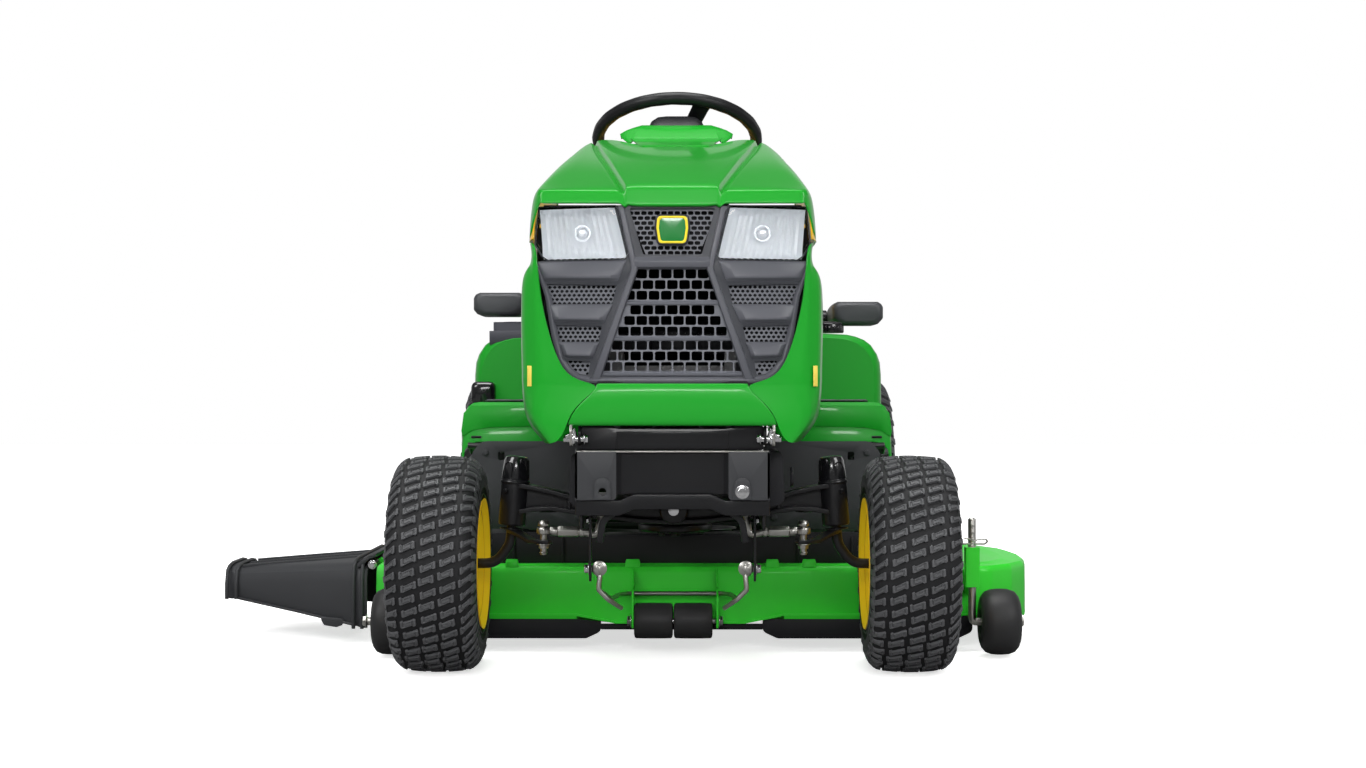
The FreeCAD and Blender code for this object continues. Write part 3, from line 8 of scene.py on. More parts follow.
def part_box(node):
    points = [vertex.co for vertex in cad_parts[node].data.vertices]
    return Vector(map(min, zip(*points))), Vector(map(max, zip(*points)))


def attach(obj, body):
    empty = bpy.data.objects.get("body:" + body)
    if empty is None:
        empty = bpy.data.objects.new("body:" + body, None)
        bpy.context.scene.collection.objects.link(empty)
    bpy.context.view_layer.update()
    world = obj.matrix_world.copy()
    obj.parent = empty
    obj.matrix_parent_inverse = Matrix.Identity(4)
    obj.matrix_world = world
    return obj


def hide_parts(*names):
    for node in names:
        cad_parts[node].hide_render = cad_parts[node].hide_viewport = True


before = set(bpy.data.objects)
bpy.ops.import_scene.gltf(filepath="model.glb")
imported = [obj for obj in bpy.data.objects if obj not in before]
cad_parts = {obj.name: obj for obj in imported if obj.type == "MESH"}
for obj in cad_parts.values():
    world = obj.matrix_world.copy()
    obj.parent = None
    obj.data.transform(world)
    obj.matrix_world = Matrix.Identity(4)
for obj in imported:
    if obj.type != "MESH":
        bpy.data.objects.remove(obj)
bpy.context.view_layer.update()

# Everything is placed in machine coordinates: millimetres from the ground under the middle of the front axle,
# x to the driver's left, y to the rear and z up. The frame's own axle node says where that point is.
axle_low, axle_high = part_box("front_axle")
ORIGIN = Vector(((axle_low.x + axle_high.x) / 2, (axle_low.y + axle_high.y) / 2, 0))
SIDES = {"left": 1, "right": -1}
X, Y, Z = Vector((1, 0, 0)), Vector((0, 1, 0)), Vector((0, 0, 1))


def at(x, y, z):
    """A point in the row frame, in metres, from machine millimetres."""
    return ORIGIN + Vector((x, y, z)) / 1000


# ------------------------------------------------------------------------------------------------ materials


def material(name, colour, rough=0.5, metal=0.0, coat=0.0, vary=0.06, scale=9.0, grain=(), **sockets):
    """A surface whose colour and roughness drift a little, with one or more layers of bump.

    grain is a list of (kind, scale, strength, distance in metres).
    """
    mat = bpy.data.materials.new(name)
    mat.use_nodes = True
    tree = mat.node_tree
    shader = tree.nodes["Principled BSDF"]
    place = tree.nodes.new("ShaderNodeTexCoord").outputs["Object"]
    cloud = tree.nodes.new("ShaderNodeTexNoise")
    cloud.inputs["Scale"].default_value = scale
    cloud.inputs["Detail"].default_value = 5
    tree.links.new(place, cloud.inputs["Vector"])
    mix = tree.nodes.new("ShaderNodeMix")
    mix.data_type = "RGBA"
    mix.inputs[6].default_value = (*[c * (1 - vary) for c in colour], 1)
    mix.inputs[7].default_value = (*[min(1, c * (1 + vary)) for c in colour], 1)
    tree.links.new(cloud.outputs["Fac"], mix.inputs[0])
    tree.links.new(mix.outputs[2], shader.inputs["Base Color"])
    spread = tree.nodes.new("ShaderNodeMapRange")
    spread.inputs["To Min"].default_value = max(0.02, rough * 0.88)
    spread.inputs["To Max"].default_value = min(1.0, rough * 1.12)
    tree.links.new(cloud.outputs["Fac"], spread.inputs["Value"])
    tree.links.new(spread.outputs["Result"], shader.inputs["Roughness"])
    shader.inputs["Metallic"].default_value = metal
    shader.inputs["Coat Weight"].default_value = coat
    shader.inputs["Coat Roughness"].default_value = 0.06
    for socket, value in sockets.items():
        shader.inputs[socket.replace("_", " ")].default_value = value
    normal = None
    for kind, size, strength, depth in grain:
        texture = tree.nodes.new("ShaderNodeTexVoronoi" if kind == "cells" else "ShaderNodeTexNoise")
        texture.inputs["Scale"].default_value = size
        tree.links.new(place, texture.inputs["Vector"])
        bump = tree.nodes.new("ShaderNodeBump")
        bump.inputs["Strength"].default_value = strength
        bump.inputs["Distance"].default_value = depth
        tree.links.new(texture.outputs["Distance" if kind == "cells" else "Fac"], bump.inputs["Height"])
        if normal:
            tree.links.new(normal, bump.inputs["Normal"])
        normal = bump.outputs["Normal"]
    if normal:
        tree.links.new(normal, shader.inputs["Normal"])
    return mat


# Less mirror-like than the default, so dark plastics and paint keep their colour under the big lights.
SOFT = {"Specular_IOR_Level": 0.3}
PAINT = {"Specular_IOR_Level": 0.25}
FINE = [("noise", 900, 0.12, 0.0003)]

GREEN = material("green_paint", (0.009, 0.29, 0.018), 0.30, coat=0.3, vary=0.04, scale=3,
                 grain=[("noise", 260, 0.03, 0.0004)], **PAINT)
# A brighter copy of the green paint for the deck: painted light, so the deck's shaded front faces look as bright as
# the lit hood top.
DECK_GREEN_LIT = material("deck_green_painted_light", (0.034, 0.60, 0.030), 0.4, coat=0.15, vary=0.05, scale=4,
                      grain=[("noise", 200, 0.05, 0.0005)], **PAINT)
BLADE_GREY = material("grille_blade_plastic", (0.075, 0.077, 0.09), 0.36, vary=0.06, scale=14,
                      grain=FINE)
GRILLE = material("grille_plastic", (0.032, 0.034, 0.041), 0.38, vary=0.06, scale=14,
                  grain=FINE)
MESH = material("mesh_plastic", (0.13, 0.135, 0.155), 0.4, grain=[("noise", 900, 0.1, 0.0003)])
DARK = material(
    "dark_plastic", (0.010, 0.010, 0.012), 0.48, vary=0.08, scale=16, grain=[("noise", 1100, 0.2, 0.0003)], **SOFT,
)
SATIN = material("black_paint", (0.006, 0.006, 0.007), 0.33, coat=0.15, vary=0.1, scale=20,
                 grain=[("noise", 320, 0.06, 0.0005)], **SOFT)
CAST = material("cast_black", (0.006, 0.006, 0.007), 0.36, coat=0.2, vary=0.15, scale=25,
                grain=[("noise", 170, 0.35, 0.0012), ("noise", 520, 0.2, 0.0005)], **SOFT)
GLOSS_BLACK = material("gloss_black", (0.005, 0.005, 0.006), 0.16, coat=0.5)
GUARD = material(
    "guard_plastic", (0.034, 0.035, 0.038), 0.5, vary=0.06, scale=10, grain=[("noise", 900, 0.15, 0.0003)], **SOFT,
)
# Two copies of one tyre rubber: the lighter one on the tread blocks and ribs is painted light, and the darker one on
# the carcass is painted shade in the grooves between the blocks.
TYRE_LIT_RUBBER = material("tyre_rubber", (0.078, 0.079, 0.083), 0.5, vary=0.14, scale=30,
                grain=[("noise", 420, 0.25, 0.0006)], **SOFT)
TYRE_SHADED_CARCASS = material(
    "tyre_carcass_painted_shade", (0.011, 0.011, 0.012), 0.66, vary=0.12, scale=30, grain=[("noise", 420, 0.25, 0.0006)], **SOFT,
)
RUBBER = material(
    "black_rubber", (0.022, 0.022, 0.023), 0.5, vary=0.1, scale=30, grain=[("noise", 700, 0.2, 0.0004)], **SOFT,
)
GRIP = material(
    "grip_rubber", (0.008, 0.008, 0.009), 0.4, vary=0.1, scale=40, grain=[("cells", 900, 0.2, 0.0003)], **SOFT,
)
YELLOW = material("yellow_paint", (0.86, 0.56, 0.012), 0.3, coat=0.5, vary=0.04, scale=8)
# The rim's yellow with a faint glow: painted light, so the shaded inboard well reads as lit.
RIM_WELL_GLOW = material("rim_well_painted_glow", (0.86, 0.56, 0.012), 0.4, vary=0.04, scale=8,
                    Emission_Color=(0.9, 0.55, 0.01, 1),
                    Emission_Strength=0.2)
ZINC = material("zinc_plate", (0.50, 0.49, 0.46), 0.34, metal=1.0, vary=0.14, scale=60,
                grain=[("noise", 500, 0.15, 0.0004)])
CHROME = material("bright_steel", (0.70, 0.70, 0.71), 0.18, metal=1.0, vary=0.05, scale=40)
ALLOY = material("cast_alloy", (0.34, 0.34, 0.35), 0.48, metal=0.9, vary=0.12, scale=30,
                 grain=[("noise", 380, 0.3, 0.0006)])
BLADE = material("blade_steel", (0.13, 0.13, 0.135), 0.4, metal=0.9, vary=0.15, scale=30)
SILVER = material("lamp_silver", (0.92, 0.94, 0.98), 0.22, metal=0.3, vary=0.03, scale=20)
LAMP_WHITE = material("lamp_housing", (0.84, 0.87, 0.90), 0.3, metal=0.0, vary=0.04, scale=15)
LENS = material("lens_clear", (0.97, 0.985, 1.0), 0.03, vary=0.0, Transmission_Weight=1.0, IOR=1.35)
AMBER = material("amber_reflector", (0.85, 0.48, 0.02), 0.2, coat=0.6, vary=0.1, scale=90,
                 grain=[("cells", 420, 0.4, 0.0006)])
DECAL = material("yellow_decal", (0.80, 0.62, 0.10), 0.35, vary=0.05, scale=20)
BADGE_GREEN = material("badge_green", (0.010, 0.17, 0.03), 0.22, coat=0.6)
BADGE_YELLOW = material("badge_yellow", (0.82, 0.66, 0.03), 0.25, coat=0.6)
VINYL = material("yellow_vinyl", (0.80, 0.52, 0.03), 0.46, vary=0.05, scale=12,
                 grain=[("cells", 700, 0.25, 0.0004), ("noise", 60, 0.1, 0.001)])
RED_LENS = material("red_reflector", (0.5, 0.01, 0.01), 0.18, coat=0.6, grain=[("cells", 400, 0.4, 0.0006)])
MAT = material(
    "foot_mat_rubber", (0.085, 0.082, 0.098), 0.6, vary=0.08, scale=20, grain=[("cells", 500, 0.3, 0.0006)],
)
ARM_PAD = material("armrest_skin", (0.045, 0.047, 0.052), 0.46, vary=0.06, scale=14,
                   grain=[("cells", 650, 0.35, 0.0004), ("noise", 50, 0.08, 0.001)])
CONSOLE = material("console_plastic", (0.06, 0.06, 0.075), 0.45, vary=0.06, scale=12,
                   grain=[("noise", 900, 0.15, 0.0003)])
VINYL_DARK = material("yellow_piping", (0.62, 0.38, 0.02), 0.4, vary=0.05, scale=20)
EXHAUST = material(
    "exhaust_steel", (0.20, 0.18, 0.16), 0.5, metal=0.8, vary=0.3, scale=30, grain=[("noise", 300, 0.3, 0.0006)],
)


# --------------------------------------------------------------------------------------------- mesh building


def turned(degrees, axis="X"):
    """A rotation by degrees."""
    return Matrix.Rotation(math.radians(degrees), 3, axis)


def around(count, start=0.0):
    """Evenly spaced angles, in radians; start is the first one's place, in steps."""
    return [math.tau * (i + start) / count for i in range(count)]


def spot_at(centre, radius, angle, height=0):
    """A point on a level circle round a centre."""
    return Vector(centre) + Vector((math.cos(angle) * radius, math.sin(angle) * radius, height))


def rectangle(half_x, half_y):
    """Corners round the origin."""
    return [(-half_x, -half_y), (half_x, -half_y), (half_x, half_y), (-half_x, half_y)]


class Build:
    """Collects vertices, in machine millimetres, and faces for one piece."""

    def __init__(self):
        self.points, self.faces = [], []

    def add(self, points, faces):
        first = len(self.points)
        self.points += [Vector(p) for p in points]
        self.faces += [[i + first for i in face] for face in faces]
        return self

    def rings(self, rings, close=True, caps=True):
        """Joins rings of equally many points; close joins each ring's ends."""
        count = len(rings[0])
        points = [p for ring in rings for p in ring]
        faces = []
        for i in range(len(rings) - 1):
            for j in range(count if close else count - 1):
                k = (j + 1) % count
                faces.append([i * count + j, i * count + k, (i + 1) * count + k, (i + 1) * count + j])
        if caps and close:
            faces.append(list(range(count - 1, -1, -1)))
            faces.append([(len(rings) - 1) * count + j for j in range(count)])
        return self.add(points, faces)

    def box(self, centre, size, turn=None):
        c, h = Vector(centre), Vector(size) / 2
        corners = [Vector((x * h.x, y * h.y, z * h.z)) for x, y, z in
                   ((-1, -1, -1), (1, -1, -1), (1, 1, -1), (-1, 1, -1), (-1, -1, 1), (1, -1, 1), (1, 1, 1),
                    (-1, 1, 1))]
        if turn:
            corners = [turn @ p for p in corners]
        return self.add([c + p for p in corners],
                        [[3, 2, 1, 0], [4, 5, 6, 7], [0, 1, 5, 4], [1, 2, 6, 5], [2, 3, 7, 6], [3, 0, 4, 7]])

    def prism(self, outline, axis, start, depth):
        """outline is (a, b) pairs: (y, z) along x, (x, z) along y, (x, y) along z."""
        place = {"x": lambda a, b, t: (t, a, b), "y": lambda a, b, t: (a, t, b), "z": lambda a, b, t: (a, b, t)}[axis]
        return self.rings(
            [[place(a, b, start) for a, b in outline], [place(a, b, start + depth) for a, b in outline]]
        )

    def stack(self, outline, heights, caps=True):
        """Level copies of an (x, y) outline, one at each height."""
        return self.rings([[Vector((a, b, z)) for a, b in outline] for z in heights], caps=caps)

    def lathe(self, profile, centre, axis=Z, count=48, closed=False):
        """profile is (radius, height) pairs; closed joins its last pair to its first."""
        up = Vector(axis).normalized()
        side = up.orthogonal().normalized()
        other = up.cross(side)
        steps = [math.tau * i / count for i in range(count)]
        rings = [[Vector(centre) + up * h + (side * math.cos(a) + other * math.sin(a)) * max(r, 0.01) for a in steps]
                 for r, h in profile]
        if closed:
            rings.append(rings[0])
        return self.rings(rings, caps=not closed)

    def rod(self, start, end, radius, count=20, end_radius=None):
        a, b = Vector(start), Vector(end)
        length = (b - a).length
        return self.lathe([(radius, 0), (radius if end_radius is None else end_radius, length)], a, b - a, count)

    def tube(self, path, radius, count=14, caps=True, closed=False):
        """A round bar along points; radius may be one number or one for each point."""
        points = [Vector(p) for p in path]
        radii = [radius] * len(points) if isinstance(radius, (int, float)) else radius
        rings, side = [], None
        for i, p in enumerate(points):
            before = points[i - 1] if i or closed else p
            after = points[(i + 1) % len(points)] if i < len(points) - 1 or closed else p
            run = (after - before).normalized()
            side = run.orthogonal().normalized() if side is None else (side - run * side.dot(run)).normalized()
            other = run.cross(side)
            rings.append([p + (side * math.cos(math.tau * j / count) + other * math.sin(math.tau * j / count))
                          * radii[i]
                          for j in range(count)])
        if closed:
            rings.append(rings[0])
        return self.rings(rings, caps=caps and not closed)

    def bolt(self, centre, axis, radius, height):
        """A hexagon head with a rounded top on a washer."""
        up = Vector(axis).normalized()
        self.lathe([(radius * 1.35, 0), (radius * 1.35, height * 0.18)], centre, up, 24)
        return self.lathe([(radius, height * 0.18), (radius, height * 0.9), (radius * 0.86, height)], centre, up, 6)

    def piece(
        self, name, mat, body, slot, replaces=(), bevel=0.0, steps=2, smooth=32, levels=0, solid=0.0, weld=False,
    ):
        """Makes the object, in the row frame, with its modifiers applied."""
        mesh = bpy.data.meshes.new(name)
        mesh.from_pydata([ORIGIN + p / 1000 for p in self.points], [], self.faces)
        work = bmesh.new()
        work.from_mesh(mesh)
        if weld:
            bmesh.ops.remove_doubles(work, verts=work.verts, dist=1e-5)
        bmesh.ops.recalc_face_normals(work, faces=work.faces)
        work.to_mesh(mesh)
        work.free()
        obj = bpy.data.objects.new(name, mesh)
        bpy.context.scene.collection.objects.link(obj)
        if solid:
            modifier = obj.modifiers.new("solid", "SOLIDIFY")
            modifier.thickness, modifier.offset = solid / 1000, -1
        if levels:
            modifier = obj.modifiers.new("levels", "SUBSURF")
            modifier.levels = modifier.render_levels = levels
        if bevel:
            modifier = obj.modifiers.new("bevel", "BEVEL")
            modifier.width, modifier.segments = bevel / 1000, steps
            modifier.limit_method, modifier.angle_limit = "ANGLE", math.radians(28)
            modifier.use_clamp_overlap = True
        return dress(obj, mat, body, replaces, smooth)


def dress(obj, mat, body, replaces=(), smooth=32):
    """Applies an object's modifiers, smooths it up to an angle, gives it its material and body, and hides the CAD
    nodes it replaces.
    """
    if obj.modifiers:
        graph = bpy.context.evaluated_depsgraph_get()
        done = bpy.data.meshes.new_from_object(obj.evaluated_get(graph))
        obj.modifiers.clear()
        obj.data = done
    for face in obj.data.polygons:
        face.use_smooth = True
    obj.data.set_sharp_from_angle(angle=math.radians(smooth))
    obj.data.materials.clear()
    obj.data.materials.append(mat)
    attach(obj, body)
    if replaces:
        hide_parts(*replaces)
    return obj


def arc(centre, radius, start, end, steps):
    """Points (a, b) on an arc, angles in degrees."""
    return [(centre[0] + radius * math.cos(math.radians(start + (end - start) * i / steps)),
             centre[1] + radius * math.sin(math.radians(start + (end - start) * i / steps)))
             for i in range(steps + 1)]


def rounded(outline, radius, steps=4):
    """The closed outline with its corners rounded; radius may be a list, one for each corner."""
    result, count = [], len(outline)
    for i, corner in enumerate(outline):
        r = radius[i] if isinstance(radius, (list, tuple)) else radius
        here, before, after = Vector(corner), Vector(outline[i - 1]), Vector(outline[(i + 1) % count])
        a, b = (before - here), (after - here)
        half = a.angle(b) / 2
        reach = min(r / math.tan(half), a.length * 0.49, b.length * 0.49)
        if r <= 0 or reach < 1e-6:
            result.append(tuple(here))
            continue
        start, end = here + a.normalized() * reach, here + b.normalized() * reach
        for j in range(steps + 1):
            t = j / steps
            result.append(tuple((1 - t) ** 2 * start + 2 * t * (1 - t) * here + t ** 2 * end))
    return result


def path_arc(points, radius, steps=6):
    """A path in space with its inner corners rounded."""
    points = [Vector(p) for p in points]
    result = [points[0]]
    for i in range(1, len(points) - 1):
        here, a, b = points[i], points[i - 1] - points[i], points[i + 1] - points[i]
        half = a.angle(b) / 2
        reach = min(radius / max(math.tan(half), 1e-3), a.length * 0.48, b.length * 0.48)
        start, end = here + a.normalized() * reach, here + b.normalized() * reach
        result += [(1 - t) ** 2 * start + 2 * t * (1 - t) * here + t ** 2 * end for t in
                   [j / steps for j in range(steps + 1)]]
    return result + [points[-1]]


def inside(point, outline):
    """Whether a 2-D point is inside a closed outline."""
    hit = False
    x, y = point
    for (x1, y1), (x2, y2) in zip(outline, outline[1:] + outline[:1]):
        if (y1 > y) != (y2 > y) and x < (x2 - x1) * (y - y1) / (y2 - y1) + x1:
            hit = not hit
    return hit


def sheet_with_holes(build, outline, holes, place, thickness):
    """A flat sheet with holes. place turns (a, b, depth) into a point."""
    loops = [list(outline)] + [list(h) for h in holes]
    flat = [Vector(p) for loop in loops for p in loop]
    edges, first = [], 0
    for loop in loops:
        edges += [(first + i, first + (i + 1) % len(loop)) for i in range(len(loop))]
        first += len(loop)
    points, _, faces, _, _, _ = geometry.delaunay_2d_cdt(flat, edges, [], 0, 1e-5)
    kept = []
    boxes = [(min(p[0] for p in h), max(p[0] for p in h), min(p[1] for p in h), max(p[1] for p in h)) for h in holes]
    for face in faces:
        c = sum((points[i] for i in face), Vector((0, 0))) / len(face)
        if not inside(c, loops[0]):
            continue
        if any(
            x0 <= c.x <= x1 and y0 <= c.y <= y1 and inside(c, loop)
            for (x0, x1, y0, y1), loop in zip(boxes, holes)
        ):
            continue
        kept.append(list(face))
    front = [place(p.x, p.y, 0) for p in points]
    back = [place(p.x, p.y, thickness) for p in points]
    count = len(points)
    walls, seen = [], {}
    for face in kept:
        for a, b in zip(face, face[1:] + face[:1]):
            seen[(a, b)] = True
    for a, b in seen:
        if (b, a) not in seen:
            walls.append([b, a, a + count, b + count])
    return build.add(front + back, kept + [[i + count for i in reversed(f)] for f in kept] + walls)


def bricks(x0, x1, z0, z1, wide, high, gap, radius, limit=None, steps=2):
    """Rounded holes laid like bricks over an area; limit keeps those whose middle it holds."""
    holes, row, z = [], 0, z0
    while z + high <= z1 + 0.01:
        x = x0 - (wide + gap) * (0.5 if row % 2 else 0.0)
        while x < x1:
            a, b = max(x, x0 + 0.4), min(x + wide, x1 - 0.4)
            if b - a > gap * 1.2 and (limit is None or limit((a + b) / 2, z + high / 2)):
                holes.append(rounded([(a, z), (b, z), (b, z + high), (a, z + high)], radius, steps))
            x += wide + gap
        z += high + gap
        row += 1
    return holes


# -------------------------------------------------------------------------------- floor, lights and camera


FLOOR_REACH = 14
# What the floor shows and what it gives as light, and where, in metres, it turns from a soft grey to white.
FLOOR_SEEN, FLOOR_AS_LIGHT = 0.93, 0.22
FLOOR_GLOW = {"From Min": 1.3, "From Max": 5.0, "To Min": 0.66, "To Max": 1.0}
# Strength of the world as a light: in front, and behind the machine low, in the middle and high up.
WORLD_FRONT, WORLD_LOW, WORLD_MIDDLE, WORLD_HIGH = 0.26, 0.62, 0.05, 0.45


def build_stage():
    """A pale floor and a white backdrop, both dimmer as light than they look."""
    floor = bpy.data.meshes.new("floor")
    reach = FLOOR_REACH
    floor.from_pydata(
        [(-reach, -reach, 0), (reach, -reach, 0), (reach, reach, 0), (-reach, reach, 0)], [], [(0, 1, 2, 3)],
    )
    ground = bpy.data.objects.new("floor", floor)
    bpy.context.scene.collection.objects.link(ground)
    pale = bpy.data.materials.new("pale_floor")
    pale.use_nodes = True
    shader = pale.node_tree.nodes["Principled BSDF"]
    shader.inputs["Base Color"].default_value = (FLOOR_SEEN, FLOOR_SEEN, FLOOR_SEEN, 1)
    shader.inputs["Roughness"].default_value = 0.9
    shader.inputs["Specular IOR Level"].default_value = 0.1
    shader.inputs["Emission Color"].default_value = (1, 1, 1, 1)
    # The floor is pale to the camera and darker as a source of light, so the underside stays in shade.
    seen = pale.node_tree.nodes.new("ShaderNodeLightPath").outputs["Is Camera Ray"]
    links, new = pale.node_tree.links, pale.node_tree.nodes.new
    reach_out = new("ShaderNodeVectorMath")
    reach_out.operation = "LENGTH"
    links.new(new("ShaderNodeTexCoord").outputs["Object"], reach_out.inputs[0])
    far = new("ShaderNodeMapRange")
    for name, value in FLOOR_GLOW.items():
        far.inputs[name].default_value = value
    links.new(reach_out.outputs["Value"], far.inputs["Value"])
    for socket, dim, bright in (("Emission Strength", 0.0, far.outputs["Result"]), ("Base Color", FLOOR_AS_LIGHT,
                                                                                    FLOOR_SEEN)):
        share = new("ShaderNodeMapRange")
        share.inputs["To Min"].default_value = dim
        if isinstance(bright, float):
            share.inputs["To Max"].default_value = bright
        else:
            links.new(bright, share.inputs["To Max"])
        links.new(seen, share.inputs["Value"])
        links.new(share.outputs["Result"], shader.inputs[socket])
    floor.materials.append(pale)
    world = bpy.data.worlds.new("studio")
    bpy.context.scene.world = world
    world.use_nodes = True
    tree = world.node_tree
    sky = tree.nodes["Background"]
    sky.inputs["Color"].default_value = (1, 1, 1, 1)
    # The backdrop is white to the camera. As a light it is dimmer, and darkest high up behind the machine, so that
    # sloping paint keeps its colour.
    look = tree.nodes.new("ShaderNodeTexCoord")
    parts = tree.nodes.new("ShaderNodeSeparateXYZ")
    tree.links.new(look.outputs["Generated"], parts.inputs["Vector"])

    def ramp(source, low, high, start, end):
        node = tree.nodes.new("ShaderNodeMapRange")
        node.interpolation_type = "SMOOTHSTEP"
        for name, value in (("From Min", low), ("From Max", high)):
            node.inputs[name].default_value = value
        for name, value in (("To Min", start), ("To Max", end)):
            if isinstance(value, float):
                node.inputs[name].default_value = value
            else:
                tree.links.new(value, node.inputs[name])
        tree.links.new(source, node.inputs["Value"])
        return node.outputs["Result"]

    rear = ramp(parts.outputs["Z"], 0.27, 0.36, WORLD_LOW, WORLD_MIDDLE)
    rear = ramp(parts.outputs["Z"], 0.55, 0.85, rear, WORLD_HIGH)
    glow = ramp(parts.outputs["Y"], -0.1, 0.35, WORLD_FRONT, rear)
    rays = tree.nodes.new("ShaderNodeLightPath")
    tree.links.new(ramp(rays.outputs["Is Camera Ray"], 0.0, 1.0, glow, 1.0), sky.inputs["Strength"])
    bpy.context.scene.view_settings.view_transform = "Standard"


def area_light(name, centre, target, wide, high, power):
    """A rectangle light that the camera does not see."""
    data = bpy.data.lights.new(name, "AREA")
    data.shape, data.size, data.size_y, data.energy = "RECTANGLE", wide, high, power
    lamp = bpy.data.objects.new(name, data)
    lamp.visible_camera = False
    lamp.location = Vector(centre)
    lamp.rotation_mode = "QUATERNION"
    lamp.rotation_quaternion = (Vector(target) - Vector(centre)).to_track_quat("-Z", "Y")
    bpy.context.scene.collection.objects.link(lamp)
    return lamp


def build_lights():
    """Two keys, a top light and a long front one; the strip is what the hood's lip reflects."""
    area_light("key_left", (-3.4, -3.6, 3.6), (0, -0.2, 0.5), 2.2, 2.2, 120)
    area_light("key_right", (3.4, -3.6, 3.2), (0, -0.2, 0.5), 2.2, 2.2, 95)
    area_light("top", (0, -0.4, 4.4), (0, 0, 0.4), 3.0, 2.0, 150)
    front = area_light("front", (0, -5.2, 1.6), (0, 0, 0.6), 3.2, 1.2, 110)
    front.visible_glossy = False
    area_light("strip", (0, -5.0, 1.9), (0, 0, 0.8), 1.3, 0.3, 26)
    fill = area_light("rear_fill", (0.5, 5.0, 3.2), (0, 0.4, 0.5), 3.0, 2.0, 90)
    fill.visible_glossy = False


# The camera stands 4 m ahead of the front axle, 38 mm to the driver's left, and level; its lens spans the photograph.
CAMERA_AT = (38, -4000, 540)
SENSOR_MM, LENS_MM = 36, 56.1
CAMERA_TURN = 0.30


def build_camera():
    """The photograph's camera."""
    data = bpy.data.cameras.new("camera")
    data.sensor_width, data.lens = SENSOR_MM, LENS_MM
    data.clip_start, data.clip_end = 0.05, 100
    camera = bpy.data.objects.new("camera", data)
    camera.location = at(*CAMERA_AT)
    camera.rotation_euler = (math.radians(90), 0, math.radians(CAMERA_TURN))
    bpy.context.scene.collection.objects.link(camera)
    bpy.context.scene.camera = camera


# ----------------------------------------------------------------------------------------------------- hood

# Half sections of the upper hood: y, then (x, z) from the centre line out over the step, the shoulder and the side.
HOOD_ROWS = (
    (-293, ((0, 849), (32, 849), (58, 849), (70, 850), (76, 851), (88, 853), (150, 854), (204, 854), (213, 854),
            (219, 854),
            (221, 854), (222, 854), (223, 854))),
    (-298, ((0, 851), (33, 851), (60, 851), (72, 852), (78, 853), (90, 855), (150, 855), (210, 855), (221, 855),
            (226, 855),
            (227, 855), (228, 855), (228, 855))),
    (-293, ((0, 883), (34, 883), (61, 883), (74, 883), (80, 882), (92, 876), (150, 877), (214, 878), (226, 877),
            (231, 871),
            (231, 866), (231, 861), (231, 857))),
    (-284, ((0, 888), (34, 888), (62, 888), (75, 887), (81, 886), (94, 880), (152, 881), (221, 881), (233, 878),
            (239, 868),
            (240, 856), (241, 846), (242, 838))),
    (-262, ((0, 893), (35, 893), (63, 893), (77, 892), (83, 891), (96, 885), (155, 886), (225, 884), (237, 881),
            (244, 870),
            (248, 850), (251, 820), (252, 795))),
    (-200, ((0, 906), (38, 906), (68, 906), (85, 905), (91, 903), (104, 897), (160, 898), (221, 896), (233, 893),
            (245, 880),
            (251, 855), (255, 820), (256, 788))),
    (-60, ((0, 935), (46, 935), (84, 934), (102, 934), (108, 932), (121, 926), (170, 927), (213, 926), (224, 922),
           (241, 905), (252, 875), (257, 830), (258, 786))),
    (120, ((0, 973), (55, 973), (99, 972), (122, 971), (128, 969), (141, 963), (178, 965), (202, 964), (213, 960),
           (237, 938), (252, 905), (260, 840), (261, 786))),
    (300, ((0, 1011), (67, 1011), (118, 1010), (143, 1009), (149, 1007), (161, 1001), (179, 1003), (192, 1002),
           (203, 997), (233, 970), (252, 932), (262, 850), (264, 786))),
    (552, ((0, 1065), (74, 1064), (129, 1063), (163, 1062), (169, 1060), (178, 1055), (182, 1056), (185, 1055),
           (195, 1050), (231, 1022), (255, 975), (264, 865), (266, 786))),
)
NOTCH = (302, 302, 552)


def hood_section(y, half):
    """A row with a groove along the step, lifted by the hood's gentle arch from front to back."""
    (x4, _), (x5, z5) = half[4], half[5]
    row = [*half[:5], ((x4 + x5) / 2, z5 - 6), (x5 + 3, z5 + 0.5), *half[6:]]
    arch = max(0.0, 10 * (1 - ((y - 130) / 422) ** 2))
    return [Vector((x, y, z + arch)) for x, z in row]


def mirrored_row(half):
    """A half row with its mirror image, from one side to the other."""
    return [Vector((-p.x, p.y, p.z)) for p in reversed(half[1:])] + half


def hood_point(column, y):
    """A point of the hood's back part, between two of the rows."""
    rows = HOOD_ROWS[6:]
    for (y0, a), (y1, b) in zip(rows, rows[1:]):
        if y <= y1:
            break
    t = (y - y0) / (y1 - y0)
    return hood_section(y, [(x0 + (x1 - x0) * t, z0 + (z1 - z0) * t) for (x0, z0), (x1, z1) in zip(a, b)])[column]


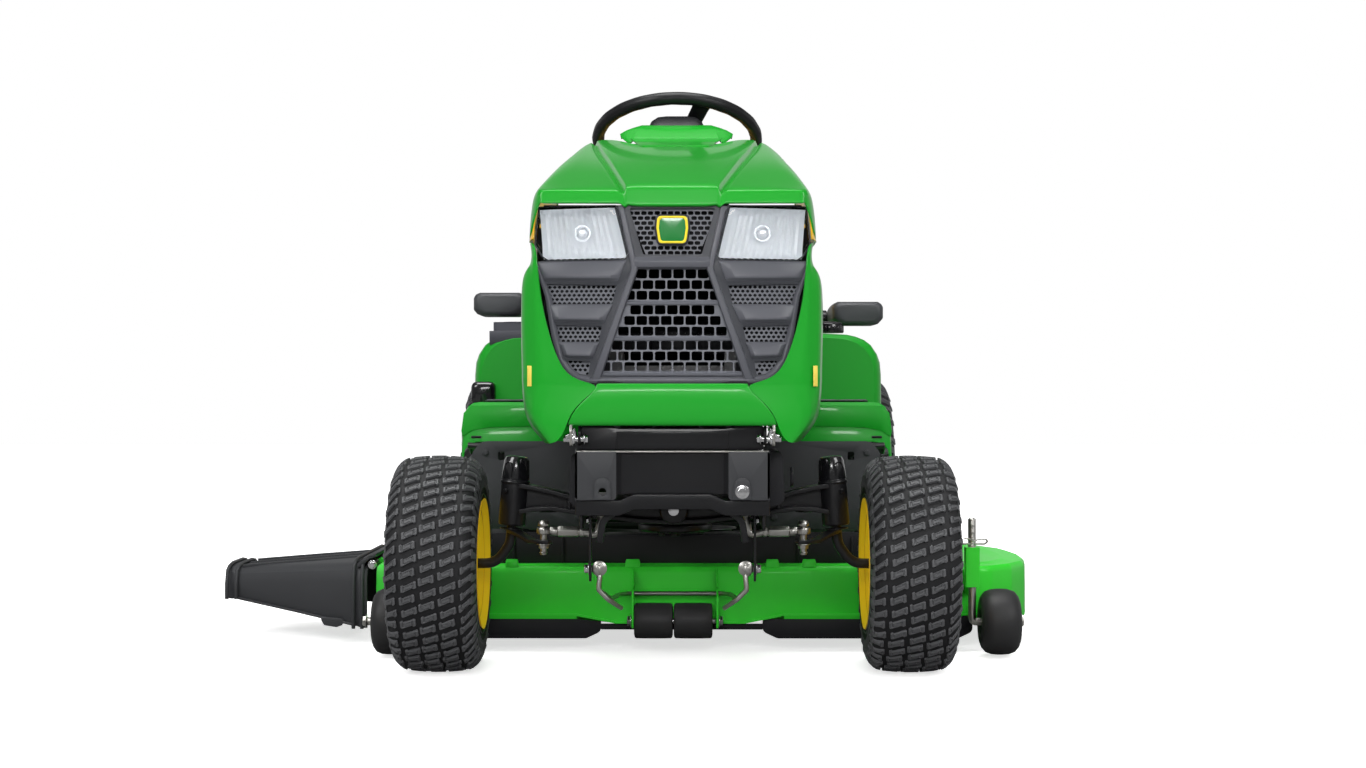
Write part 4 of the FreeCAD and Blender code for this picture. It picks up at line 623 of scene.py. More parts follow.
def build_upper_hood():
    """The lid: the rows up to y = -60, then rows that end at the notch round the cowl."""
    rows = [mirrored_row(hood_section(y, half)) for y, half in HOOD_ROWS[:7]]
    columns = len(HOOD_ROWS[0][1]) + 1
    for step in (0.2, 0.4, 0.6, 0.8, 0.985, 1.0):
        half = []
        for column in range(columns):
            end = NOTCH[column] if column < len(NOTCH) else 552
            half.append(hood_point(column, -60 + (end + 60) * step))
        rows.append(mirrored_row(half))
    rows.append([p + Vector((-0.02 * p.x, -1, -9)) for p in rows[-1]])
    build = Build().rings(rows, close=False, caps=False)
    hood = build.piece("hood_top", GREEN, "hood", "green_plastic", ["hood_shell"], smooth=180)
    work = bmesh.new()
    work.from_mesh(hood.data)
    crease = work.edges.layers.float.new("crease_edge")
    count = len(rows[0])
    along = {4: 0.85, 5: 0.6, 6: 0.85, 9: 0.3, 2: 0.15}
    sharp = {count // 2 + side * column: weight for column, weight in along.items() for side in (-1, 1)}
    work.verts.ensure_lookup_table()
    for edge in work.edges:
        a, b = sorted(v.index for v in edge.verts)
        if b - a == count and a % count in sharp:
            edge[crease] = sharp[a % count]
        if b - a == 1 and a // count in (1, 2, len(rows) - 2):
            edge[crease] = 0.65
    work.to_mesh(hood.data)
    work.free()
    level = hood.modifiers.new("levels", "SUBSURF")
    level.levels = level.render_levels = 3
    shell = hood.modifiers.new("solid", "SOLIDIFY")
    shell.thickness, shell.offset = 0.0035, -1
    dress(hood, GREEN, "hood", smooth=60)


CHEEK_ROWS = (
    # z, then (x, y) of the inner edge, the two front corners, and the side's half width from front to back.
    (788, (244, -262), (246, -255), (248, -245), (250, -200), (252, -40), (262, 250), (266, 548)),
    (768, (238, -272), (242, -266), (244, -255), (247, -200), (250, -40), (262, 250), (267, 548)),
    (750, (236, -283), (241, -278), (246, -262), (250, -205), (255, -40), (264, 250), (268, 548)),
    (744, (235, -285), (241, -281), (250, -264), (255, -210), (262, -40), (268, 250), (270, 548)),
    (729, (233, -287), (240, -283), (260, -266), (265, -214), (275, -40), (281, 250), (280, 548)),
    (690, (229, -289), (238, -286), (261, -267), (267, -216), (278, -40), (282, 250), (281, 548)),
    (640, (218, -291), (236, -287), (261, -268), (267, -217), (278, -40), (282, 250), (281, 548)),
    (600, (206, -292), (234, -288), (260, -268), (267, -218), (277, -40), (281, 250), (280, 548)),
    (570, (193, -293), (233, -288), (259, -268), (266, -219), (276, -40), (280, 250), (279, 548)),
    (552, (176, -294), (233, -288), (259, -268), (266, -220), (275, -40), (279, 250), (278, 548)),
    (543, (150, -295), (233, -288), (258, -268), (266, -221), (275, -40), (279, 250), (278, 540)),
    (538, (130, -296), (232, -288), (258, -268), (265, -222), (275, -40), (279, 245), (278, 520)),
    (526, (137, -296), (234, -288), (257, -268), (265, -223), (274, -40), (278, 240), (277, 490)),
    (516, (150, -296), (237, -287), (256, -268), (264, -224), (273, -42), (277, 230), (276, 450)),
    (498, (169, -296), (241, -286), (254, -268), (262, -226), (271, -50), (275, 200), (274, 380)),
    (480, (180, -296), (240, -286), (249, -268), (258, -228), (267, -70), (271, 140), (272, 260)),
    (462, (186, -295), (230, -287), (237, -270), (246, -234), (256, -110), (261, 30), (264, 110)),
    (446, (194, -293), (218, -287), (223, -272), (230, -244), (240, -150), (246, -60), (250, 0)),
    (438, (203, -291), (211, -287), (215, -274), (221, -254), (228, -190), (233, -130), (237, -80)),
)


def build_cheeks():
    """The two side panels of the hood, with the small yellow decals on their front corners."""
    for side, sign in SIDES.items():
        rows = [[Vector((sign * x, y, z)) for x, y in points] for z, *points in CHEEK_ROWS]
        build = Build().rings(rows, close=False, caps=False)
        cheek = build.piece(f"hood_cheek_{side}", GREEN, "hood", "green_plastic", smooth=180)
        work = bmesh.new()
        work.from_mesh(cheek.data)
        crease = work.edges.layers.float.new("crease_edge")
        for edge in work.edges:
            a, b = sorted(v.index for v in edge.verts)
            if b - a == 7:
                edge[crease] = (1, 0.55, 0.45, 0, 0, 0, 0)[a % 7]
            elif a // 7 == 3:
                edge[crease] = 0.4
        work.to_mesh(cheek.data)
        work.free()
        level = cheek.modifiers.new("levels", "SUBSURF")
        level.levels = level.render_levels = 2
        shell = cheek.modifiers.new("solid", "SOLIDIFY")
        shell.thickness, shell.offset = 0.0035, -1 if side == "left" else 1
        dress(cheek, GREEN, "hood", smooth=50)
    decal = Build()
    for sign in (1, -1):
        rings = []
        for x, y in ((246, -283.2), (254, -277)):
            rings.append([Vector((sign * x, y, z)) for z in (536, 556, 572)])
            rings[-1] += [p + Vector((0, 1.2, 0)) for p in reversed(rings[-1])]
        decal.rings(rings)
    decal.piece("side_decals", DECAL, "hood", "trim", bevel=0.3)


def build_chin():
    """The nose below the grille, its dark backing and the zinc ears that the hood turns on."""
    rows = []
    outline = ((540, 131, -297), (536, 133, -300), (526, 137, -302), (514, 152, -302), (496, 170, -301),
               (476, 181, -298),
               (469, 183, -294), (470, 181, -284))
    for z, half, y in outline:
        rows.append([Vector((half * t, y + 3 * t * t, z)) for t in (-1, -0.93, -0.6, -0.2, 0.2, 0.6, 0.93, 1)])
    chin = Build().rings(rows, close=False, caps=False)
    chin.piece("hood_chin", GREEN, "hood", "green_plastic", ["hood_nose_panel"], solid=-3, levels=2, smooth=50)
    backing = Build()
    backing.rings([[Vector((-x, y, z)), Vector((x, y, z)), Vector((x, y + 2, z)), Vector((-x, y + 2, z))]
                   for y, x, z in ((-292, 130, 545), (-292, 180, 490), (-288, 190, 468))])
    backing.piece("chin_seam", DARK, "hood", "green_plastic")
    ears = Build()
    for sign in (1, -1):
        ears.prism(rounded([(-296, 432), (-272, 432), (-262, 470), (-262, 500), (-281, 500), (-297, 458)], 6),
                   "x", sign * 177 - 2, 4)
    ears.piece("hood_hinge_ears", ZINC, "hood", "zinc_steel", bevel=0.6)


def build_bay_shade_liner():
    """Black sheets behind the nose that stand in for the shade inside the engine bay, so that the screens are dark
    between the parts behind them.
    """
    shade_liner = Build()
    for x0, x1, z0, z1 in ((-228, -112, 540, 856), (112, 228, 540, 856), (-112, 112, 758, 856)):
        shade_liner.prism([(x0, z0), (x1, z0), (x1, z1), (x0, z1)], "y", -240, 2)
    for sign in (1, -1):
        shade_liner.box((sign * 240, 100, 640), (2, 640, 280))
    shade_liner.box((0, 60, 852), (478, 600, 2))
    shade_liner.piece("nose_shade_liner", DARK, "hood", "black_plastic", bevel=0.4)
    wall = Build().prism(rounded([(-218, 462), (218, 462), (218, 846), (-218, 846)], 30), "y", 410, 3)
    wall.piece("firewall", DARK, "chassis", "black_steel", bevel=0.6)


build_stage()
build_lights()
build_camera()
build_upper_hood()
build_cheeks()
build_chin()
build_bay_shade_liner()


# ------------------------------------------------------------------------------------------- grille and lamps


def nose(x, z, depth=0.0):
    """A point on the machine's nose, which curves back towards its sides."""
    return Vector((x, -291 + 21 * (x / 245) ** 2 + depth, z))


def flip(outline, sign):
    """The outline, mirrored where sign is -1."""
    return [(sign * a, b) for a, b in outline]


def both(half):
    """A right half outline with its mirror image."""
    return half + [(-a, b) for a, b in reversed(half)]


SURROUND = [(0, 541), (151, 541), (170, 547), (184, 558), (199, 579), (212, 624), (223, 693), (238, 735), (243, 755),
            (79, 757), (101, 850), (78, 852), (0, 852)]
MAIN_HOLE = both([(127, 553), (61, 741)])
UPPER_HOLE = both([(51, 766), (75, 846)])
LOUVRES = (
    [(97, 712), (220, 715), (214, 680), (105, 680)],
    [(123, 641), (207, 643), (198, 614), (129, 614)],
    [(143, 579), (184, 581), (178, 567), (165, 558), (147, 556)],
)
# Blades between the louvres: inner and outer ends of the upper edge, then of the lower edge.
BLADES = (
    ((80, 756), (242, 753), (97, 713), (222, 716), 26),
    ((104, 679), (215, 679), (121, 642), (208, 644), 22),
    ((128, 613), (199, 613), (141, 580), (186, 582), 20),
)


def build_grille():
    """The surround, with its openings, and the blades and ribs on it."""
    outline = rounded(SURROUND[:-1] + [(-a, b) for a, b in reversed(SURROUND[:-1]) if a], 3, 3)
    holes = [rounded(MAIN_HOLE, 4), rounded(UPPER_HOLE, 4)]
    for sign in (1, -1):
        holes += [rounded(flip(shape, sign), 3) for shape in LOUVRES]
    frame_build = Build()
    sheet_with_holes(frame_build, outline, holes, lambda a, b, t: nose(a, b, t), 13)
    frame_build.piece("grille_surround", GRILLE, "hood", "dark_grey_plastic", ["grille_frame"], bevel=1.4)
    blades = Build()
    for sign in (1, -1):
        for (x0, z0), (x1, z1), (x2, z2), (x3, z3), _ in BLADES:
            rings = []
            for t in (0, 0.02, 0.12, 0.35, 0.65, 0.88, 0.98, 1):
                upper, lower = Vector(
                    (x0 + (x1 - x0) * t, z0 + (z1 - z0) * t),
                ), Vector((x2 + (x3 - x2) * t, z2 + (z3 - z2) * t))
                lift = 9 * min(1, t / 0.12 + 0.1, (1 - t) / 0.12 + 0.1)
                ring = []
                for share, out in ((0, 4), (0, -1), (0.10, -2.5), (0.62, -lift), (0.74, -lift), (0.9, 1), (1, 4)):
                    p = upper.lerp(lower, share)
                    ring.append(nose(sign * p.x, p.y, out))
                rings.append(ring)
            blades.rings(rings)
        # Ribs: from the lamp's inner top corner down beside the middle opening, and along the outer edge.
        rib = [(90, 850), (69, 757), (66, 741), (112, 610), (134, 547)]
        widths = (7, 6, 7, 8, 9)
        rings = []
        for (x, z), w in zip(rib, widths):
            rings.append([nose(sign * (x - w), z, 3), nose(sign * (x - w * 0.7), z, -3),
                          nose(sign * (x + w * 0.7), z, -3),
                          nose(sign * (x + w), z, 3)])
        blades.rings(rings)
        edge = [(243, 752), (237, 735), (223, 693), (212, 624), (199, 579), (184, 558), (168, 547), (148, 543)]
        rings = []
        for (x, z) in edge:
            inner = Vector((x, z)) + (Vector((90, 660)) - Vector((x, z))).normalized() * 13
            rings.append([nose(sign * x, z, 4), nose(sign * x, z, -3.5),
                          nose(sign * (x * 0.5 + inner.x * 0.5), z * 0.5 + inner.y * 0.5, -4.5),
                          nose(sign * inner.x, inner.y, 3)])
        blades.rings(rings)
    sill = []
    for x in range(-150, 151, 20):
        sill.append([nose(x, 541, 4), nose(x, 541, -3), nose(x, 546, -5), nose(x, 553, 3)])
    blades.rings(sill)
    bar = []
    for x in range(-66, 67, 12):
        bar.append([nose(x, 741, 3), nose(x, 744, -3), nose(x, 754, -4), nose(x, 762, 0), nose(x, 766, 3)])
    blades.rings(bar)
    blades.piece("grille_blades", BLADE_GREY, "hood", "dark_grey_plastic", bevel=1.1, smooth=26)
    build_screens()


def build_screens():
    """The screens behind the grille: a coarse one with three bars, a fine one by the badge, six in the louvres."""
    screens = Build()
    area = both([(132, 549), (56, 745)])
    rows = [732.4, 713.7, 695.0, 669.6, 651.0, 632.3, 607.5, 589.0, 570.5]
    holes = []
    for index, z in enumerate(rows):
        x = -149.8 + (0 if index % 2 else 10.7)
        while x < 140:
            middle = (x, z)
            if inside(middle, area):
                holes.append(rounded([(x - 9.3, z - 7.9), (x + 9.3, z - 7.9), (x + 9.3, z + 7.9), (x - 9.3, z + 7.9)],
                                     3.5, 3))
            x += 21.4
    sheet_with_holes(screens, area, holes, lambda a, b, t: nose(a, b, 10 + t), 3.5)
    for z in (682.2, 619.9, 558.0):
        half = 58 + (745 - z) * 0.385
        rings = []
        for i in range(9):
            x = half * (i / 4 - 1)
            rings.append([nose(x, z + 3.4, 10), nose(x, z + 0.5, 3.5), nose(x, z - 3.2, 5), nose(x, z - 3.2, 10)])
        screens.rings(rings)
    upper = both([(44, 760), (80, 848)])
    sheet_with_holes(screens, upper, bricks(-84, 84, 757, 850, 9.8, 6.8, 1.9, 2.6, lambda a, b: inside((a, b), upper)
                     and not (abs(a) < 29 and 780 < b < 838)), lambda a, b, t: nose(a, b, 9 + t), 3)
    for sign in (1, -1):
        for shape in LOUVRES:
            middle = sum((Vector(p) for p in shape), Vector((0, 0))) / len(shape)
            area = [tuple(middle + (Vector(p) - middle) * 1.12) for p in flip(shape, 1)]
            area = flip(area, sign)
            xs, zs = [p[0] for p in area], [p[1] for p in area]
            holes = bricks(min(xs), max(xs), min(zs) + 0.5, max(zs), 6.9, 5.4, 1.7, 2.4,
                           lambda a, b, area=area: inside((a - 3, b - 2), area) and inside((a + 3, b + 2), area), 1)
            sheet_with_holes(screens, area, holes, lambda a, b, t: nose(a, b, 9.5 + t), 3)
    screens.piece("grille_screens_detail", MESH, "hood", "grey_mesh", ["grille_screens"], smooth=30)


LENS_EDGE = [(234, 850), (99, 851), (89, 839), (75, 769), (84, 757), (216, 756), (229, 765), (241, 786)]


def lamp_point(sign, x, z, depth=0.0):
    """A point on the lamp's sloping front: it leans back outwards round the corner of the nose."""
    back = 3 + 30 * max(0.0, (x - 90) / 160) ** 1.6
    return Vector((sign * x, -296 + back + depth, z))


def lamp_rings(sign, outline, steps):
    """Copies of a lamp's outline, each at a scale and a depth."""
    middle = Vector((168, 803))
    rings = []
    for scale, depth in steps:
        ring = []
        for p in outline:
            q = middle + (Vector(p) - middle) * scale
            ring.append(lamp_point(sign, q.x, q.y, depth))
        rings.append(ring)
    return rings


def build_lamps():
    """Headlights: a clear lens over a fluted housing and a bulb, and an amber marker beside each."""
    edge = rounded(LENS_EDGE, [5, 6, 8, 8, 8, 8, 8, 8], 3)
    dense = []
    for a, b in zip(edge, edge[1:] + edge[:1]):
        count = max(1, int((Vector(b) - Vector(a)).length / 9))
        dense += [tuple(Vector(a).lerp(Vector(b), i / count)) for i in range(count)]
    lenses, housings, bulbs, seals = Build(), Build(), Build(), Build()
    for sign in (1, -1):
        steps = [(0.06, -1.4), (0.45, -1.2), (0.8, -0.8), (0.93, 0), (0.99, 2), (1, 6), (1, 16)]
        lenses.rings(lamp_rings(sign, dense, steps), caps=False)
        # Housing: a bowl whose floor is fluted from top to bottom.
        rows = []
        for i in range(15):
            t = i / 14
            row = []
            for j in range(57):
                s = j / 56
                top = Vector((101, 847)).lerp(Vector((232, 845)), s)
                low = Vector((79, 760)).lerp(Vector((226, 759)), s)
                p = top.lerp(low, t)
                side = min(s, 1 - s) * 2
                rim = min(t, 1 - t) * 2
                bowl = 40 * min(1, side * 3.2) ** 0.6 * min(1, rim * 4.5) ** 0.6
                near = math.hypot(p.x - 157, p.y - 804)
                flute = 1.5 * math.cos(s * 56 * math.pi / 2.0) * (1 if near > 21 else 0.1)
                dish = 14 * max(0, 1 - (near / 26) ** 2)
                row.append(lamp_point(sign, p.x, p.y, 5 + bowl * 0.62 + flute + dish))
            rows.append(row)
        housings.rings(rows, close=False, caps=False)
        housings.rings(lamp_rings(sign, dense, [(0.99, 3), (1.0, 18)]), caps=False)
        bulbs.lathe([(0, 0), (6, 1), (9, 5), (10, 12), (9, 20), (9, 30)], lamp_point(sign, 157, 804, 16), Y, 28)
        bulbs.lathe([(12.6, 0), (13.6, 0), (14, 1.5), (12.6, 2)], lamp_point(sign, 157, 804, 17), Y, 36, closed=True)
        seals.rings(lamp_rings(sign, dense, [(1.0, 3), (1.028, 3), (1.028, 22), (1.0, 22)]) , caps=False)
    lenses.piece("headlight_lens_pair", LENS, "hood", "lens", ["headlight_lenses"], smooth=50)
    housings.piece("headlight_housings", LAMP_WHITE, "hood", "lamp_reflector", ["headlight_lamps"], smooth=40)
    bulbs.piece("headlight_bulbs", SILVER, "hood", "lamp_reflector", smooth=40)
    seals.piece("headlight_seals", GRILLE, "hood", "dark_grey_plastic", smooth=40)
    markers = Build()
    for sign in (1, -1):
        rings = []
        for x0, x1, z0, z1, y in ((241.5, 246.5, 794, 845, -268), (246.5, 252.5, 792, 845, -246),
                                  (248.5, 255.5, 791, 844, -216)):
            rings.append([Vector((sign * x1, y, z0)), Vector((sign * x0, y, z1)),
                          Vector((sign * (x0 - 3), y + 3, z1)),
                          Vector((sign * (x1 - 3), y + 3, z0))])
        markers.rings(rings)
    markers.piece("side_marker_lenses", AMBER, "hood", "trim", ["hood_trim"], bevel=1)


def build_badge():
    """A plain shield: green, with a yellow border."""
    edge = rounded(both([(24, 785), (28, 812), (26, 833)]), [8, 10, 8, 8, 10, 8], 5)
    middle = Vector((0, 809))

    def ring(scale, depth):
        return [nose(*(middle + (Vector(p) - middle) * scale), depth) for p in edge]

    Build().rings([ring(1.12, 9), ring(1.12, 1), ring(1.0, -1.5)]).piece(
        "badge_base", GRILLE, "hood", "dark_grey_plastic", bevel=0.6)
    Build().rings([ring(1.0, -1.5), ring(0.99, -3.4), ring(0.92, -4.2), ring(0.84, -3.6), ring(0.83, -1.5)],
                  caps=False).piece("badge_border", BADGE_YELLOW, "hood", "trim")
    Build().rings([ring(0.84, -1), ring(0.84, -2.6), ring(0.5, -3.4), ring(0.05, -3.6)]).piece(
        "badge_field", BADGE_GREEN, "hood", "trim")


build_grille()
build_lamps()
build_badge()


# ---------------------------------------------------------------------------------------------------- wheels


def carcass_radius(x, crown, shoulder, half):
    """The radius of the tread at x from the tyre's middle: nearly flat, then round over the shoulder."""
    edge = half - shoulder
    if abs(x) <= edge:
        return crown - 3.0 * (x / edge) ** 2
    drop = min(1.0, (abs(x) - edge) / shoulder)
    return crown - 3.0 - shoulder * 1.15 * (1 - math.sqrt(max(0.0, 1 - drop ** 2)))


def build_tyre(name, side, centre, outside, width, rim_dia, rows, body):
    """A turf tyre: a turned carcass and rows of slanted blocks, each with a step along its middle."""
    half, crown = width / 2, outside / 2 - 5.2
    shoulder, bead = half * 0.40, rim_dia / 2 + 3
    profile = []
    for i in range(29):
        x = -half * 0.985 + 2 * half * 0.985 * i / 28
        profile.append((carcass_radius(x, crown, shoulder, half), x))
    wall_top = profile[0][0]
    sides = [(wall_top - 12, half - 0.2), (wall_top - 30, half), (bead + 36, half - 0.6), (bead + 24, half - 1.6),
             (bead + 17.5, half - 3.5), (bead + 15.5, half - 9), (bead + 3, half - 14), (bead, half - 24)]
    inner = [(bead - 0.5, half - 40), (bead - 0.5, 40 - half)]
    profile = profile + sides + inner + [(r, -h) for r, h in reversed(sides)]
    # The carcass takes the darker copy of the rubber: painted shade between the blocks.
    Build().lathe(profile, centre, X, 96, closed=True).piece(
        f"{name}_carcass_{side}", TYRE_SHADED_CARCASS, body, "tyre_rubber", [f"{name}_{side}"], smooth=40)
    tread = Build()
    # Columns: middle, half width, slant, how far a block reaches down the shoulder, turn of the row.
    edge = half - 1
    pitch = math.tau / rows
    columns = ((-0.85, 0.150, 0.30, 0.5), (-0.43, 0.178, 0.22, 0.1), (0.0, 0.178, 0.20, 0.6),
               (0.43, 0.178, 0.22, 0.15), (0.85, 0.150, 0.30, 0.65))
    for middle, reach, slant, start in columns:
        x_mid, x_half = middle * edge, reach * edge
        for row in range(rows):
            angle = pitch * (row + start)
            wobble = 0.12 * (1 if row % 2 else -1) * x_half
            jog = (0.20, 0.34)[row % 2]
            tall = 0.54 if row % 2 else 0.58
            # The block's outline in (across, along) units: two steps give it the shape of a shallow Z.
            outline = [(-1, -0.62), (-0.74, -0.66), (-0.58, -0.42), (0.80, -0.42), (0.96, -0.26), (1.0, 0.60),
                       (0.76, 0.66), (0.60, 0.42), (-0.78, 0.42), (-0.95, 0.26)]
            levels = []
            for inset, lift in ((0.0, -1.2), (0.0, 3.9), (0.07, 4.9)):
                ring = []
                for u, v in outline:
                    u2, v2 = u * (1 - inset), v * (1 - inset * 1.8)
                    x = x_mid + wobble + u2 * x_half
                    turn = angle + (v2 * pitch * tall + -slant * u2 * pitch * (1 + jog))
                    base = carcass_radius(max(-edge, min(edge, x)), crown, shoulder, half)
                    r = base + lift
                    ring.append(Vector(centre) + Vector((x, r * math.cos(turn), r * math.sin(turn))))
                levels.append(ring)
            # A shallow groove that follows the block's outline.
            top = []
            for scale, lift in ((0.76, 4.9), (0.66, 2.8), (0.55, 2.8), (0.46, 4.9)):
                ring = []
                for u, v in outline:
                    x = x_mid + wobble + u * scale * x_half
                    turn = angle + (v * scale * pitch * tall * 0.92 + -slant * u * scale * pitch * (1 + jog))
                    r = carcass_radius(max(-edge, min(edge, x)), crown, shoulder, half) + lift
                    ring.append(Vector(centre) + Vector((x, r * math.cos(turn), r * math.sin(turn))))
                top.append(ring)
            tread.rings(levels + top)
    # Lugs that run from the outer columns down the shoulder.
    for row in range(rows):
        for sign in (1, -1):
            angle = pitch * (row + (0.62 if sign > 0 else 0.12))
            rings = []
            for t, w in ((0.93, 0.30), (0.985, 0.30), (1.0, 0.26), (1.003, 0.2)):
                x = sign * min(t, 0.985) * half
                base = carcass_radius(x, crown, shoulder, half) - (0 if t < 0.99 else (t - 0.985) * half * 16)
                out = 0 if t < 0.99 else 0.9
                ring = []
                for v, lift in ((-1, -2), (-0.9, 2.2), (0.9, 2.2), (1, -2)):
                    turn = angle + v * w * pitch
                    r = base + lift
                    ring.append(
                        Vector(centre) + Vector((x + sign * (out + (lift > 0) * out), r * math.cos(turn),
                                                 r * math.sin(turn))),
                    )
                rings.append(ring)
            tread.rings(rings)
    tread.piece(f"{name}_tread_{side}", TYRE_LIT_RUBBER, body, "tyre_rubber", smooth=24)
    beads = Build()
    for sign in (1, -1):
        for r, h in ((bead + 26, half - 1.2), (bead + 40, half - 0.6)):
            beads.lathe([(r - 1.6, sign * (h - 1)), (r, sign * (h + 1.1)), (r + 1.6, sign * (h - 1))], centre, X, 96,
                        closed=True)
    beads.piece(f"{name}_sidewall_ribs_{side}", TYRE_LIT_RUBBER, body, "tyre_rubber", smooth=50)


def build_rim(name, side, centre, width, rim_dia, body, lugs):
    """A pressed steel rim with a dished disc; the hub faces outwards."""
    sign = SIDES[side]
    half, bead = width / 2, rim_dia / 2 + 3
    seat = half - 18
    rim = Build()
    lip = [(bead + 18, -seat - 18.5), (bead + 19.5, -seat - 17), (bead + 16, -seat - 15), (bead + 1, -seat - 10)]
    profile = [*lip,
               (bead - 1, -seat), (bead - 8, -seat + 14), (bead - 9, seat - 14), (bead - 1, seat),
               (bead + 1, seat + 10),
               (bead + 13, seat + 14), (bead + 15.5, seat + 15.5), (bead + 14, seat + 17)]
    shell = profile + [(r - 2.6, h * 0.985) for r, h in reversed(profile)]
    rim.lathe(shell, centre, X, 96, closed=True)
    disc = [(24, sign * 40), (30, sign * 38), (33, sign * 22), (44, sign * 14), (bead * 0.62, sign * 10),
            (bead * 0.78, sign * 20), (bead - 8, sign * 22), (bead - 8, sign * 18), (bead * 0.76, sign * 16),
            (bead * 0.6, sign * 6), (42, sign * 10), (28, sign * 18), (24, sign * 34)]
    rim.lathe(disc, centre, X, 72, closed=True)
    # The well's inboard side, a cone behind the flange; it glows faintly, which is painted light standing in for the
    # light that reaches it.
    well = [(bead + 18, seat + 19), (bead + 12, seat + 17), (bead - 30, seat - 10), (48, seat - 20), (48, seat - 22),
            (bead - 32, seat - 13), (bead + 10, seat + 14.5), (bead + 17, seat + 18)]
    inboard = Build().lathe([(r, -sign * h) for r, h in well], centre, X, 96, closed=True)
    inboard.piece(f"{name}_{side}_well", RIM_WELL_GLOW, body, "yellow_rim", bevel=0.5, smooth=40)
    rim.piece(f"{name}_{side}_shell", YELLOW, body, "yellow_rim", [f"{name}_{side}"], bevel=0.5, smooth=40)
    hub = Build()
    hub.lathe([(10.2, -sign * 34), (24, -sign * 34), (24.5, sign * 38), (22, sign * 40), (10.2, sign * 40)], centre,
              X, 40,
              closed=True)
    if lugs:
        for a in around(5):
            spot = Vector(centre) + Vector((sign * 11, 58 * math.cos(a), 58 * math.sin(a)))
            hub.bolt(spot, X * sign, 9, 11)
        hub.lathe([(12.7, 0), (12.7, sign * 246)], Vector(centre) - X * sign * 254 + X * sign * 4, X, 32)
        hub.lathe([(0, sign * 52), (14, sign * 52), (14, sign * 44), (0, sign * 44)], centre, X, 6)
    hub.piece(f"{name}_{side}_hub", ZINC if lugs else SATIN, body, "yellow_rim",
              bevel=0.6, smooth=40)
    if not lugs:
        cap = Build().lathe([(0, sign * 57), (14, sign * 54), (19.5, sign * 45), (19.5, sign * 41), (16, sign * 41)],
                            centre, X, 40)
        cap.piece(f"{name}_{side}_cap", GLOSS_BLACK, body, "yellow_rim", smooth=50)
    valve = Build()
    stem = Vector(centre) + Vector((sign * 24, 0, bead * 0.86))
    valve.rod(stem, stem + Vector((sign * 22, 0, -10)), 4, 12).rod(stem + Vector((sign * 22, 0, -10)),
                                                                  stem + Vector((sign * 30, 0, -14)), 3, 10)
    valve.piece(f"{name}_{side}_valve", RUBBER, body, "yellow_rim", smooth=40)


FRONT_WHEEL = (440, 0, 203)
REAR_WHEEL = (396, 1270, 279.5)
TREAD_ROWS = 52


def build_wheels():
    """The front tyres are 16x6.50-8 and the rear ones 22x9.5-12, in millimetres."""
    for side, sign in SIDES.items():
        middle = (sign * FRONT_WHEEL[0], *FRONT_WHEEL[1:])
        body = f"front_wheel_{side}"
        build_tyre("front_tyre", side, middle, 406, 165, 203, TREAD_ROWS, body)
        build_rim("front_rim", side, middle, 165, 203, body, False)
        middle = (sign * REAR_WHEEL[0], *REAR_WHEEL[1:])
        body = f"rear_wheel_{side}"
        build_tyre("rear_tyre", side, middle, 559, 241, 305, TREAD_ROWS, body)
        build_rim("rear_rim", side, middle, 241, 305, body, True)


build_wheels()


# ------------------------------------------------------------------------------------------------- front end


def kingpin(sign, z):
    """The point of a kingpin's leaning axis at height z."""
    return Vector((sign * (305 - (z - 270) * math.tan(math.radians(4.5))), 0, z))


def build_bumper():
    """The front bracket: two wings, a set-back middle and the nose plate above it."""
    wings, middle = Build(), Build()
    for sign in (1, -1):
        outline = flip([(98, 341), (104, 337), (165, 337), (170, 342), (170, 419), (166, 423), (98, 423)], sign)
        hole = arc((sign * 122, 352), 6.5, 0, 345, 23)
        sheet_with_holes(wings, rounded(outline, 2, 2), [hole], lambda a, b, t: Vector((a, -288 + t, b)), 4)
        # A pressed boss in the shape of an arch round each bolt hole.
        arch = [(sign * 106, 338), (sign * 108, 360)] + [
            (sign * 122 - sign * 14 * math.cos(math.radians(d)), 364 + 12 * math.sin(math.radians(d)))
            for d in range(15, 166, 15)] + [(sign * 136, 360), (sign * 138, 338)]
        sheet_with_holes(wings, arch, [arc((sign * 122, 352), 7, 0, 345, 23)],
                         lambda a, b, t: Vector((a, -291.5 + t, b)), 3.5)
        wings.prism([(-288, 337), (-284, 337), (-284, 423), (-288, 423)], "x", sign * 168 - 2, 4)
        wings.box((sign * 168, -240, 380), (3.5, 92, 84))
    wings.piece("bumper_wings", GUARD, "chassis", "black_steel", ["front_bumper"], bevel=1.2)
    middle.rings([[Vector((x, y, z)) for x,
                   y in ((-99, -287), (-90, -276), (90, -276), (99, -287), (99, -283), (90, -271),
                                                  (-90, -271), (-99, -283))] for z in (347, 352, 415, 421)])
    middle.piece("bumper_middle", SATIN, "chassis", "black_steel", bevel=1.5)
    lip = Build()
    lip.tube(path_arc([(-168, -286, 422), (168, -286, 422)], 2), 2.2, 8)
    lip.piece("bumper_top_edge", ZINC, "chassis", "black_steel", smooth=60)
    plate = Build()
    arch = [(-160, 424), (160, 424), (160, 466), (134, 474), (112, 471), (96, 462), (-96, 462), (-112, 471),
            (-134, 474),
            (-160, 466)]
    plate.prism(rounded(arch, 5, 3), "y", -276, 4)
    plate.rings([[Vector((x, y, z)) for x, y in ((-98, -279), (98, -279), (98, -275), (-98, -275))]
                 for z in (426, 452, 457)])
    plate.piece("nose_plate_detail", SATIN, "chassis", "black_steel", bevel=1.5)


